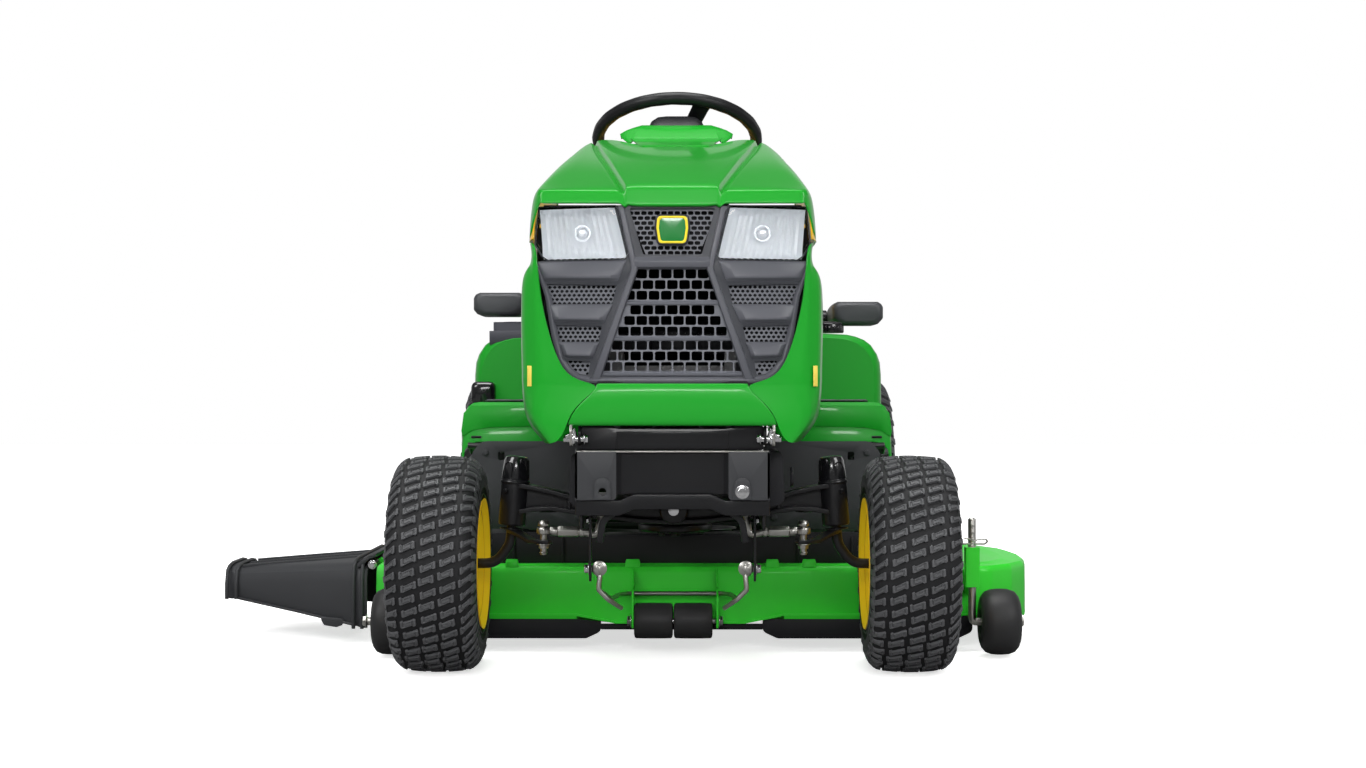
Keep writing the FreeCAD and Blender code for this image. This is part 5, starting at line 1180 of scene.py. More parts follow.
def build_carrier():
    """The axle carrier with its bow, the hanger straps, the bolts and pins, and the relay bar's guides."""
    channel, straps = Build(), Build()
    # The carrier's front flange rises in the middle; a bowed bar hangs below it and ends in two drop links.
    top = [(-170, 0, 336), (-92, 0, 336), (-68, 0, 347), (68, 0, 347), (92, 0, 336), (170, 0, 336)]
    channel.rings([[Vector((p.x, y, p.z + dz)) for y, dz in ((-282, -26), (-283, 0), (-278, 1), (-277, -26))]
                   for p in path_arc(top, 12, 4)])
    for sign in (1, -1):
        channel.box((sign * 160, -130, 308), (5, 296, 46))
    channel.box((0, -130, 334), (318, 290, 4))
    channel.box((0, 30, 308), (318, 5, 46))
    bow = [
        (-128, -262, 262), (-122, -262, 300), (-84, -264, 330), (84, -264, 330), (122, -262, 300), (128, -262, 262),
    ]
    rings = []
    path = path_arc(bow, 26, 5)
    for i, p in enumerate(path):
        run = (path[min(i + 1, len(path) - 1)] - path[max(i - 1, 0)]).normalized()
        up = Vector((-run.z, 0, run.x)) if run.x or run.z else Z
        rings.append([p + up * 6 - Y * 8, p + up * 6 + Y * 8, p - up * 6 + Y * 8, p - up * 6 - Y * 8])
    channel.rings(rings)
    channel.piece("axle_carrier_channel", SATIN, "chassis", "black_steel", ["front_carrier"], bevel=1.4)
    for sign in (1, -1):
        straps.prism(rounded([(-258, 192), (-232, 192), (-230, 334), (-262, 334)], 8), "x", sign * 145 - 2, 4)
        straps.prism(
            rounded([(-292, 436), (-272, 432), (-262, 456), (-278, 468), (-292, 456)], 4), "x", sign * 162 - 2.5, 5,
        )
    straps.piece("hanger_straps", SATIN, "chassis", "black_steel", bevel=0.8)
    pins = Build()
    for sign in (1, -1):
        # Hood hinge pins: a chrome pin with a broad washer and a clevis head.
        pins.rod((sign * 150, -283, 444), (sign * 190, -283, 444), 6)
        pins.lathe([(11, 0), (12, 2), (12, 5), (6, 6)], (sign * 170, -283, 444), X * sign, 28)
        pins.bolt((sign * 154, -283, 444), X * -sign, 8, 7)
        pins.rod((sign * 168, -284, 444), (sign * 174, -289, 462), 4.4)
        pins.rod((sign * 171, -288, 452), (sign * 186, -288, 448), 4.4)
        # Hanger pins with a large washer towards the front, where the deck's lift rod hangs.
        pins.rod((sign * 120, -245, 214), (sign * 152, -245, 214), 6)
        pins.bolt((sign * 147, -245, 214), X * sign, 8, 9)
        pins.bolt((sign * 147, -245, 300), X * sign, 6, 6)
        pins.box((sign * 145, -268, 336), (16, 14, 4))
    pins.bolt((122, -291.5, 352), -Y, 8.5, 7)
    pins.lathe([(13.5, -2.5), (13.5, 0), (11, 1)], (122, -291, 352), -Y, 32)
    pins.rod((0, -64, 306), (0, 44, 306), 10, 28)
    pins.piece("chassis_bolts", CHROME, "chassis", "zinc_steel", ["chassis_pins"], bevel=0.6)
    guides = Build()
    for sign in (1, -1):
        for z in (317, 336):
            guides.box((sign * 62, -85, z), (18, 56, 9.5))
        for y in (-111, -59):
            guides.box((sign * 62, y, 326), (18, 8, 26))
    guides.piece("relay_guide_blocks", DARK, "chassis", "black_steel", bevel=1)


def build_axle():
    """The cast beam with its pivot and kingpin tubes, and the caps on the kingpins."""
    beam = Build()
    # Centre line heights and half depths of the cast beam, from the pivot out to the kingpin tube.
    stations = ((0, 330, 277), (60, 327, 280), (110, 325, 286), (150, 324, 288), (190, 332, 297), (230, 343, 303),
                (262, 350, 301), (290, 354, 296))
    for sign in (1, -1):
        for low_part in (0, 1):
            rings = []
            for x, top, low in stations:
                z0, z1 = (top - 9, top) if not low_part else (low, low + 9)
                rings.append([Vector((sign * x, y, z)) for y, z in
                              ((-25, z0), (-25, z1), (25, z1), (25, z0))])
            beam.rings(rings)
        beam.rings([[Vector((sign * x, y, z)) for y, z in ((-7, low + 4), (-7, top - 4), (7, top - 4), (7, low + 4))]
                    for x, top, low in stations])
        for x in (104, 196):
            beam.box((sign * x, 0, 312), (7, 36, 26))
    beam.lathe([(10.15, -44), (24, -44), (27, -40), (27, 40), (24, 44), (10.15, 44)], (0, 0, 306), Y, 40, closed=True)
    for sign in (1, -1):
        low, high = kingpin(sign, 275), kingpin(sign, 364)
        length = (high - low).length
        beam.lathe([(9.6, 0), (23.5, 0), (25.5, 2.5), (25.5, length - 2.5), (23.5, length), (9.6, length)], low,
                   high - low, 48, closed=True)
    beam.piece("axle_beam_casting", CAST, "axle", "cast_axle", ["front_axle"], bevel=2.2, steps=3)
    caps, fittings = Build(), Build()
    for sign in (1, -1):
        low, up = kingpin(sign, 362), kingpin(sign, 404) - kingpin(sign, 362)
        caps.lathe(
            [(21.8, 0), (25.9, 0), (25.6, 9), (23.6, 34), (20.5, 40.5), (15, 42.6), (4, 43), (0, 43)], low, up, 56,
        )
        # A recess on the cap's outer face, framed by a raised arch.
        side = Vector((sign * 0.55, -0.835, 0)).normalized()
        across = side.cross(up.normalized()).normalized()
        reach, frame_path = 8.5, []
        for a, b in [(-reach, 5), (-reach, 24)] + arc((0, 24), reach, 180, 0, 8) + [(reach, 24), (reach, 5)]:
            radius = 25.6 - max(0, b - 9) * 0.08
            spin = a / radius
            frame_path.append(low + up.normalized() * b
                              + (side * math.cos(spin) + across * math.sin(spin)) * (radius + 0.36))
        caps.tube(frame_path, 1.6, 8)
        fittings.lathe([(27, -3), (28, 0), (27, 3)], kingpin(sign, 356), up, 40)
        fittings.bolt(kingpin(sign, 340) + side * 24, side, 5, 6)
    caps.piece("kingpin_dust_caps", GLOSS_BLACK, "axle", "black_plastic", smooth=40)
    fittings.piece("kingpin_collars", SATIN, "axle", "cast_axle", bevel=0.6)


def build_spindles():
    """Each spindle is one bent bar with a steering arm and a ball stud."""
    for side, sign in SIDES.items():
        body = f"spindle_{side}"
        bar = Build()
        path = [kingpin(sign, 372), kingpin(sign, 240), Vector((sign * 334, 0, 203)), Vector((sign * 470, 0, 203))]
        bar.tube(path_arc(path, 42, 8), 9.5, 20)
        bar.lathe([(15, 0), (17, 1.5), (17, 9), (12, 12)], (sign * 376, 0, 203), X * sign, 32)
        bar.lathe(
            [(14, 0), (22, 1.5), (22, 4), (14, 5)], kingpin(sign, 266), kingpin(sign, 276) - kingpin(sign, 266), 32,
        )
        arm = [Vector((sign * 304.5, -9.6, 266)), Vector((sign * 290, -30, 262)), Vector((sign * 262, -68, 250)),
               Vector((sign * 240, -86, 250)), Vector((sign * 226, -96, 250))]
        rings = []
        for i, p in enumerate(arm):
            run = (arm[min(i + 1, 4)] - arm[max(i - 1, 0)]).normalized()
            across = run.cross(Z).normalized() * (11.5 if i < 4 else 7)
            rings.append([p - across - Z * 3.5, p - across + Z * 3.5, p + across + Z * 3.5, p + across - Z * 3.5])
        bar.rings(rings)
        bar.piece(f"spindle_forging_{side}", CAST, body, "cast_axle", [f"spindle_{side}"], bevel=1)
        stud = Build()
        stud.rod((sign * 239, -85, 226), (sign * 239, -85, 286), 6)
        stud.bolt((sign * 239, -85, 246), -Z, 9.5, 9)
        stud.lathe([(6, 0), (8, 2), (6, 4)], (sign * 239, -85, 228), Z, 20)
        stud.lathe([(0, 10), (8, 8.5), (10.5, 3), (10, -1), (6, -3)], (sign * 239, -85, 280), Z, 28)
        stud.piece(f"ball_stud_detail_{side}", ZINC, body, "zinc_steel", bevel=0.5, smooth=40)


def build_linkage():
    """Tie rods, relay bar and steering shaft."""
    for side, sign in SIDES.items():
        rod = Build()
        rod.lathe(
            [(6.2, 0), (12, 0), (13, 2), (13, 10), (12, 12), (6.2, 12)], (sign * 239, -85, 264), Z, 32, closed=True,
        )
        rod.rod((sign * 227, -85, 270), (sign * 214, -85, 269), 8, 20)
        # Turnbuckle: a six-sided sleeve with a lock nut at each end.
        rod.lathe([(8, 0), (10.4, 2), (10.4, 38), (8, 40)], (sign * 214, -85, 269), X * -sign, 6)
        rod.lathe([(8.5, 0), (9, 1), (9, 7), (8, 8)], (sign * 172, -85, 268), X * -sign, 6)
        path = [(sign * 214, -85, 269), (sign * 162, -85, 267), (sign * 139, -85, 262), (sign * 134, -85, 297)]
        rod.tube(path_arc(path, 15, 6), 6.4, 16)
        rod.bolt((sign * 134, -85, 297), Z, 7, 5)
        rod.piece(f"tie_rod_detail_{side}", ZINC, f"tie_rod_{side}", "zinc_steel", [f"tie_rod_{side}"], bevel=0.5,
                  smooth=40)
    bar = Build()
    bar.prism(rounded([(-160, -103), (160, -103), (160, -67), (-160, -67)], 14), "z", 322, 6)
    for sign in (1, -1):
        bar.bolt((sign * 134, -85, 328), Z, 9, 8)
    bar.piece("relay_bar_detail", SATIN, "relay_bar", "black_steel", ["steering_relay_bar"], bevel=0.8)
    shaft = Build()
    low, high = Vector((0, 509, 527)), Vector((0, 754, 1046))
    shaft.rod(low, high, 9.5, 24)
    for t in (0.06, 0.5):
        shaft.lathe([(9.5, 0), (15, 3), (15, 26), (9.5, 30)], low.lerp(high, t), high - low, 24)
    shaft.piece("steering_shaft_detail", ZINC, "steering", "zinc_steel", ["steering_shaft"], bevel=0.6)


build_bumper()
build_carrier()
build_axle()
build_spindles()
build_linkage()


# ---------------------------------------------------------------------------------------------- mower deck

DECK_TOP = 172
# Plan of the pressing, from the front right corner round by the front, left, rear and right.
DECK_PLAN = ((-612, 345), (-590, 306), (-560, 292), (-200, 292), (-120, 292), (140, 292), (220, 292), (560, 292),
             (640, 318), (690, 372), (726, 440), (740, 520), (744, 620), (736, 720), (726, 790), (690, 870),
             (640, 925),
             (540, 950), (450, 960), (330, 940), (240, 832), (-100, 832), (-190, 940), (-330, 960), (-560, 950),
             (-612, 900))
SPINDLES = {"right": (-365, 715), "centre": (66, 533), "left": (497, 715)}


def inset(plan, amount):
    """The plan moved inwards, towards a line through the deck's middle."""
    result = []
    for x, y in plan:
        pull = Vector((66 + (x - 66) * 0.25, 625)) - Vector((x, y))
        step = pull.normalized() * min(amount, pull.length * 0.4)
        result.append((x + step.x, y + step.y))
    return result


# y and z of the rollers' axle, x and z of the chute's pin, and each gauge wheel's middle, height and outward sign.
ROLLER_AXLE = (246, 68)
CHUTE_PIN = (-628, 166)
GAUGE_WHEELS = {"left": (642, 214, 1), "right": (-571, 214, -1)}
GAUGE_POST = 54.5


def build_deck():
    """The deck's pressing with its edge, brackets, wheel sockets and baffles."""
    shell = Build()
    # The skirt's lower edge dips at the front, round the rollers.
    def low(x, y):
        if y < 300 and -150 < x < 170:
            return 58
        return 74 if y < 400 else 60

    plan = rounded([(x, y) for x, y in DECK_PLAN], [26, 18, 30, 0, 0, 0, 0, 30] + [34] * 16 + [16, 16], 4)
    lower = [Vector((x, y, low(x, y))) for x, y in plan]
    rings = [lower]
    for amount, z in ((0, 120), (0.5, 158), (3, 167), (8, 171.5), (14, 172)):
        rings.append([Vector((x, y, z)) for x, y in inset(plan, amount)])
    for amount, z in ((40, 172), (46, 174.5), (60, 175), (66, 172.5)):
        rings.append([Vector((x, y, z)) for x, y in inset(plan, amount)])
    shell.rings(rings, caps=False)
    count, first = len(plan), len(shell.points) - len(plan)
    shell.faces.append(list(range(first, first + count)))
    # Inner wall, 4 mm in.
    inner = [[Vector((x, y, low(x, y))) for x, y in plan]]
    for amount, z in ((4, 66), (4, 120), (6, 160), (14, 168)):
        inner.append([Vector((x, y, z)) for x, y in inset(plan, amount)])
    shell.rings(inner, caps=False)
    first = len(shell.points) - count
    shell.faces.append(list(reversed(range(first, first + count))))
    shell.piece("deck_pressing", DECK_GREEN_LIT, "deck", "green_body", ["deck_shell"], smooth=36, weld=True)
    flange = Build()
    flange.rings([[Vector((x, y + dy, low(x, y) + dz)) for x, y in plan]
                  for dy, dz in ((-3, -1), (-3, 3), (2, 3), (2, -1), (-3, -1))], caps=False)
    flange.piece("deck_skirt_edge", DECK_GREEN_LIT, "deck", "green_body", smooth=40)
    ribs = Build()
    for sign in (1, -1):
        cheek = [(230, 54), (294, 50), (294, 170), (262, 142), (230, 114)]
        slot = rounded([(246, 112), (278, 112), (278, 134), (246, 134)], 9, 5)
        hole = arc(ROLLER_AXLE, 6.05, 0, 340, 17)
        sheet_with_holes(ribs, rounded(cheek, [5, 5, 2, 12, 12], 4), [slot, hole],
                         lambda a, b, t, sign=sign: Vector((sign * (86.4 - t), a, b)), 4)
    # Tabs on the front edge, gauge-wheel sockets and hinge ears.
    for x, wide in ((-86, 30), (196, 26), (270, 28), (-330, 26)):
        ribs.rings([[Vector((x - wide / 2 * k, y, z)), Vector((x + wide / 2 * k, y, z)),
                     Vector((x + wide / 2 * k, y + 3, z)),
                     Vector((x - wide / 2 * k, y + 3, z))] for k, y,
                     z in ((1, 296, 170), (1, 298, 180), (0.86, 299, 186))])
    for x, y, sign in GAUGE_WHEELS.values():
        post = x - sign * GAUGE_POST
        sleeve = [[Vector((post + a, y + b, z)) for a, b in rounded(rectangle(14, 14), 3, 3)]
                  for z in (139, 217)]
        bore = [[Vector((post + a, y + b, z)) for a, b in arc((0, 0), 9.05, 0, 345, 15)] for z in (139, 217)]
        ribs.rings(sleeve, caps=False).rings(bore, caps=False)
        for z in (139, 217):
            sheet_with_holes(ribs, rounded([(post - 14, y - 14), (post + 14, y - 14), (post + 14, y + 14),
                             (post - 14, y + 14)], 3, 3), [[(post + a, y + b)
                             for a, b in arc((0, 0), 9.05, 0, 345, 15)]],
                             lambda a, b, t, z=z: Vector((a, b, z + t)), 0.5)
        web = [(y + 13, 118), (y + 104, 118), (y + 104, 167), (y + 40, 167), (y + 13, 205)]
        ribs.prism(rounded(web, [2, 2, 2, 16, 2], 4), "x", post - 4, 8)
    for y in (480, 770):
        ribs.prism(rounded([(-631, 157), (-598, 157), (-598, 174), (-628, 174)], 5), "y", y - 12, 24)
    ribs.piece("deck_brackets", DECK_GREEN_LIT, "deck", "green_body", bevel=0.8)
    trim = Build()
    # Black baffle below the skirt: it bows down to both sides of the rollers.
    for x0, x1, z0, z1 in ((-560, -150, 26, 74), (176, 600, 26, 74)):
        trim.prism(
            rounded([(x0, z1), (x0, z0 + 14), (x0 + 30, z0), (x1 - 30, z0), (x1, z0 + 14), (x1, z1)], 14), "y", 299,
            4,
        )
    trim.prism([(-152, 56), (-150, 44), (176, 44), (178, 56)], "y", 299, 4)
    trim.prism(rounded([(-80, 60), (-80, 30), (220, 30), (220, 60)], 8), "y", 820, 4)
    trim.piece("deck_baffles", DARK, "deck", "black_plastic", ["deck_lower_trim"], bevel=1)
    build_belt_drive()


def build_belt_drive():
    """The belt shield, spindle covers and castings, the belt round the three pulleys, and the blades."""
    wall = Build()
    outline = [(-560, 172.6), (-560, 216), (-536, 232), (-300, 238), (-170, 238), (-150, 231), (150, 231), (170, 238),
               (380, 238), (560, 232), (580, 216), (580, 172.6)]
    wall.prism(rounded(outline, [2, 18, 30, 20, 12, 12, 12, 12, 20, 30, 18, 2], 5), "y", 341, 4)
    for x in (-470, -330, -230, 250, 360, 480):
        wall.box((x, 339, 202), (5, 5, 54))
    wall.rings([[Vector((x * k, y, z)) for x in (-1, 1)] + [Vector((x * k, y, z + 3)) for x in (1, -1)]
                for k, y, z in ((150, 344, 229), (152, 390, 230), (140, 436, 229))])
    wall.piece("belt_shield_detail", DARK, "deck", "black_plastic", ["belt_covers"], bevel=1.2)
    covers = Build()
    for x, y in (SPINDLES["right"], SPINDLES["left"]):
        covers.lathe([(0, 250), (50, 249.5), (68, 247), (86, 238), (93, 226), (96.5, 186), (98, 184), (98, 181),
                      (93, 181),
                      (88, 224), (66, 243), (0, 246)], (x, y, 0), Z, 64)
        for a in around(8):
            covers.box(spot_at((x, y, 0), 66, a, 246), (30, 4, 3), Matrix.Rotation(a, 3, "Z"))
        covers.bolt((x, y, 250), Z, 8, 7)
    covers.piece("spindle_covers", DARK, "deck", "black_plastic", bevel=0.8)
    housings = Build()
    for x, y in SPINDLES.values():
        housings.lathe([(13, -34), (26, -34), (29.5, -2), (29.5, 0.4), (60, 0.4), (62, 2), (62, 7), (60, 8), (36, 11),
                        (31, 18), (30, 38), (28, 40), (13, 40)], (x, y, DECK_TOP), Z, 56, closed=True)
        for a in around(6, 0.5):
            housings.bolt(spot_at((x, y, DECK_TOP + 8), 50, a), Z, 6, 6)
            housings.box(spot_at((x, y, DECK_TOP + 13), 40, a), (22, 4, 12), Matrix.Rotation(a, 3, "Z"))
    housings.piece("spindle_castings", ALLOY, "deck", "engine_metal", ["spindle_housings"], bevel=0.8)
    belt = Build()
    places = [Vector((x, y)) for x, y in SPINDLES.values()]
    track = []
    for i, p in enumerate(places):
        before, after = places[i - 1], places[(i + 1) % 3]
        a_in = math.atan2(p.y - before.y, p.x - before.x) - math.pi / 2
        a_out = math.atan2(after.y - p.y, after.x - p.x) - math.pi / 2
        while a_out < a_in:
            a_out += math.tau
        if a_out - a_in > math.pi * 1.5:
            a_out -= math.tau
        track += [(p, a_in + (a_out - a_in) * s / 12) for s in range(13)]
    section = ((51.6, 222.2), (59.4, 222.2), (59.4, 229.8), (51.6, 229.8))
    rings = [[Vector((p.x + r * math.cos(a), p.y + r * math.sin(a), z)) for r, z in section] for p, a in track]
    rings.append(rings[0])
    belt.rings(rings, caps=False)
    belt.piece("blade_belt_detail", RUBBER, "deck", "black_rubber", ["blade_belt"], bevel=0.6)
    for label, (x, y) in SPINDLES.items():
        blade = Build()
        rings = []
        for s in (-225, -222, -190, -150, -120, -40, 0, 40, 120, 150, 190, 222, 225):
            # Each end's trailing edge curls up into a sail; the two ends face opposite ways.
            lift = 16 * min(1, max(0, (abs(s) - 110) / 60))
            half = 29
            if s < 0:
                across = [(-half, lift), (-half, 4 + lift), (half * 0.55, 4.6), (half, 4), (half, 0), (half * 0.5, 0)]
            else:
                sail = lift if s > 0 else 0
                across = [(-half, 0), (-half, 4), (half * 0.55, 4.6), (half, 4 + sail), (half, sail), (half * 0.5, 0)]
            rings.append([Vector((x + s, y + a, 71.5 + b)) for a, b in across])
        blade.rings(rings)
        blade.rod((x, y, 62), (x, y, 229.6), 12.5, 28)
        blade.lathe([(0, 0), (22, 0), (24, 2), (24, 20), (12.5, 22)], (x, y, 74), Z, 32)
        blade.bolt((x, y, 73), -Z, 17, 12)
        blade.lathe([(12.5, 0), (60, 0), (62, 1), (62, 3), (51.3, 5.6), (51.3, 14.4), (62, 17), (62, 19), (60, 20),
                     (12.5, 20)],
                    (x, y, 216), Z, 56, closed=True)
        blade.piece(f"blade_detail_{label}", BLADE, f"blade_{label}", "blade_steel", [f"blade_{label}"], bevel=0.6)


def build_deck_hardware():
    """Rollers, pins, the front lift rod and the gauge wheels on their rods."""
    rollers = Build()
    for x in (-81.5, -2.5):
        rollers.lathe([(6.4, 0), (28, 0), (33, 1.2), (35, 4), (35.4, 20), (35.4, 57), (35, 73), (33, 75.8), (28, 77),
                       (6.4, 77)], (x, *ROLLER_AXLE), X, 56, closed=True)
    rollers.piece("deck_roller_pair", RUBBER, "rollers", "black_plastic", ["deck_rollers"], smooth=40)
    pins = Build()
    pins.rod((-96, *ROLLER_AXLE), (96, *ROLLER_AXLE), 6)
    pins.bolt((-88, *ROLLER_AXLE), -X, 10, 8)
    pins.bolt((88, *ROLLER_AXLE), X, 10, 8)
    for sign in (1, -1):
        pins.lathe([(6, 0), (13, 0), (13, 2), (6, 2)], (sign * 87, *ROLLER_AXLE), X * sign, 28)
    pins.rod((CHUTE_PIN[0], 405, CHUTE_PIN[1]), (CHUTE_PIN[0], 845, CHUTE_PIN[1]), 5, 20)
    pins.bolt((CHUTE_PIN[0], 405, CHUTE_PIN[1]), -Y, 7, 6)
    pins.piece("deck_bolts", CHROME, "deck", "zinc_steel", ["deck_pins"], bevel=0.5)
    lift = Build()
    route = [(-128, -247, 204), (-131, -238, 176), (-120, 60, 130), (-112, 230, 121), (-95, 259, 121), (95, 259, 121),
             (112, 230, 121), (120, 60, 130), (131, -238, 176), (128, -247, 204)]
    lift.tube(path_arc(route, 17, 6), 4.5, 14)
    for sign in (1, -1):
        # The eye is a broad washer-faced ring that looks forward.
        lift.lathe([(6.2, -4), (13, -4), (13.5, -3), (13.5, 4), (12.5, 5), (6.2, 5)], (sign * 131, -245, 214), X, 36,
                   closed=True)
        lift.lathe([(0, 0), (12.5, 0), (13.5, 1.5), (13.5, 4), (8, 6.5), (5.5, 7), (5, 10), (0, 10.5)],
                   (sign * 129, -249, 215), -Y, 36)
        lift.tube(path_arc([(sign * 128, -250, 204), (sign * 131, -251, 178), (sign * 114, -246, 160),
                            (sign * 92, -200, 140)], 12, 5), 4.2, 12)
    lift.piece("lift_rod_detail", ZINC, "lift_rod", "zinc_steel", ["front_lift_rod"], bevel=0.4, smooth=40)
    arms = Build()
    for side, (x, y, sign) in GAUGE_WHEELS.items():
        wheel = Build()
        outline = [(8.2, 6), (20, 4), (26, 0), (44, 0), (52, 3), (60, 10), (64.2, 22), (65, 34), (65, 43), (64.2, 55),
                   (60, 67), (52, 74), (44, 77), (26, 77), (20, 73), (8.2, 71)]
        # The right wheel is narrower on its outer side.
        share, start = (1, 38.5) if side == "left" else (0.84, 26)
        wheel.lathe([(r, h * share) for r, h in outline], (x - start, y, 70), X, 64, closed=True)
        wheel.piece(f"gauge_wheel_detail_{side}", RUBBER, f"gauge_wheel_{side}", "black_plastic",
                    [f"gauge_wheel_{side}"], smooth=40)
        post = x - sign * GAUGE_POST
        arms.tube(path_arc([(post, y, 273), (post, y, 70), (x + sign * 38, y, 70)], 10, 5), 8, 18)
        arms.rod((post, y, 272), (post, y, 276), 7.4, 18, 4)
        arms.bolt((x + sign * 39.5, y, 70), X * sign, 10, 8)
        for z in (232, 246, 260):
            arms.lathe([(2.6, 0), (3.6, 0.6), (2.6, 1.2)], (post, y - 8.2, z), -Y, 14)
        # A hairpin clip through the post, above the socket.
        pin = [(post - 22, y - 6, 224), (post + 24, y - 6, 224), (post + 31, y - 6, 229), (post + 26, y - 6, 234),
               (post + 10, y - 6, 233), (post + 4, y - 6, 229), (post - 4, y - 6, 233), (post - 16, y - 6, 236)]
        arms.tube(path_arc(pin, 4, 3), 1.9, 8)
    arms.piece("gauge_wheel_rods", ZINC, "deck", "zinc_steel", ["gauge_wheel_arms"], bevel=0.4, smooth=40)


def build_chute():
    """The discharge chute: a moulding swept to a narrow tip, and its hinge leaves."""
    chute = Build()
    sections = ((-640, 410, 870, 34, 170), (-652, 410, 870, 34, 171), (-664, 412, 868, 38, 169),
                (-676, 416, 864, 40, 167),
                (-800, 490, 830, 58, 157), (-940, 572, 790, 79, 146), (-950, 577, 790, 79, 146),
                (-956, 580, 792, 77, 149), (-971, 584, 792, 78, 147))
    outer, inner = [], []
    for x, y0, y1, z0, z1 in sections:
        arch = [(y0 + 3, z0), (y0, z0 + 20), (y0, z1 - 34), (y0 + 8, z1 - 14), (y0 + 26, z1 - 4), (y0 + 60, z1),
                (y1 - 60, z1), (y1 - 26, z1 - 4), (y1 - 8, z1 - 14), (y1, z1 - 34), (y1, z0 + 20), (y1 - 3, z0)]
        outer.append([Vector((x, y, z)) for y, z in arch])
        middle_y = (y0 + y1) / 2
        inner.append([Vector((x, y + (4 if y < middle_y else -4) * min(1, abs(y - middle_y) / 60),
                              z - 4 if z > z1 - 20 else z)) for y, z in arch])
    chute.rings([a + list(reversed(b)) for a, b in zip(outer, inner)])
    # Ribs: two rolls at the root, a collar near the tip and three along the top.
    for x, grow in ((-650, 5), (-668, 4), (-946, 4), (-966, 5)):
        _, y0, y1, z0, z1 = [s for s in sections if s[0] <= x + 30][0]
        arch = [(y0 - grow, z0 - 1), (y0 - grow, z1 - 36), (y0 + 6, z1 - 12 + grow), (y0 + 26, z1 - 4 + grow),
                (y0 + 60, z1 + grow), (y1 - 60, z1 + grow), (y1 - 26, z1 - 4 + grow), (y1 - 6, z1 - 12 + grow),
                (y1 + grow, z1 - 36), (y1 + grow, z0 - 1)]
        chute.tube([(x, y, z) for y, z in arch], 4.2, 8)
    for y in (600, 680, 760):
        chute.rings([[Vector((x, y - 2.5, z - 3)), Vector((x, y - 2.5, z + 4)), Vector((x, y + 2.5, z + 4)),
                      Vector((x, y + 2.5, z - 3))] for x, z in ((-680, 166), (-800, 157), (-938, 146))])
    # A tab below the front side near the root, and a stiffening lip along that side's lower edge.
    chute.prism(rounded([(-690, 52), (-742, 56), (-732, 38), (-706, 34), (-694, 38)], 6), "y", 424, 4)
    chute.tube([(-664, 412, 40), (-676, 416, 42), (-800, 490, 60), (-945, 574, 80)], 3, 8)
    # A raised moulding covers the hinge.
    cover = [(-662, 166), (-648, 176), (-636, 184), (-622, 188), (-622, 181), (-636, 177), (-648, 166), (-660, 158)]
    chute.prism(cover, "y", 414, 452)
    chute.piece("chute_moulding", GUARD, "chute", "dark_grey_plastic", ["discharge_chute"], bevel=0.8, smooth=30)
    hinge = Build()
    for y in (440, 640, 810):
        hinge.lathe([(5.1, 0), (8, 0), (8, 40), (5.1, 40)], (CHUTE_PIN[0], y - 20, CHUTE_PIN[1]), Y, 24, closed=True)
        hinge.prism(rounded([(-634, y - 18), (-662, y - 18), (-662, y + 18), (-634, y + 18)], 4), "z", 158, 4)
        for dy in (-9, 9):
            hinge.bolt((-652, y + dy, 162), Z, 5, 4)
    hinge.piece("chute_hinge_leaves", SATIN, "chute", "black_steel", bevel=0.5)


build_deck()
build_deck_hardware()
build_chute()


# ------------------------------------------------------------------------------- controls, platform and seat


def build_steering():
    """The wheel, tilted towards the rider, with three spokes and a deep hub."""
    wheel = Build()
    centre, tilt = Vector((0, 765, 1086)), turned(-24)

    def place(radius, angle, up):
        return centre + tilt @ Vector((radius * math.cos(angle), radius * math.sin(angle), up))

    rings = []
    for i in range(96):
        a = math.tau * i / 96
        # Finger swells under the rim, and a thicker grip towards the rider's hands.
        swell = 1 + 0.03 * math.sin(a * 24)
        rings.append([place(176.5 + 13.6 * math.cos(t) * swell, a,
                            14.2 * math.sin(t) * (swell if math.sin(t) < 0 else 1))
                      for t in (math.tau * j / 20 for j in range(20))])
    rings.append(rings[0])
    wheel.rings(rings, caps=False)
    wheel.piece("steering_wheel_rim", GRIP, "steering", "black_rubber", ["steering_wheel"], smooth=60)
    hub = Build()
    for angle in (-70, 50, 170):
        a = math.radians(angle)
        rings = []
        for radius, half, thick, up in ((34, 30, 12, -16), (60, 24, 10, -17), (110, 19, 8, -12), (150, 20, 9, -4),
                                        (172, 24, 10, 0)):
            across = [(-half, 0), (-half * 0.8, thick / 2), (half * 0.8, thick / 2), (half, 0),
                      (half * 0.8, -thick / 2),
                      (-half * 0.8, -thick / 2)]
            side = tilt @ Vector((-math.sin(a), math.cos(a), 0))
            rings.append([place(radius, a, up + v) + side * u for u, v in across])
        hub.rings(rings)
    profile = [(0, 2), (30, 0), (44, -5), (52, -14), (54, -26), (46, -40), (30, -52), (26, -70), (0, -70)]
    hub.lathe(profile, centre, tilt @ Z, 56)
    hub.piece("steering_wheel_hub", GRIP, "steering", "black_rubber", bevel=1.2, smooth=40)


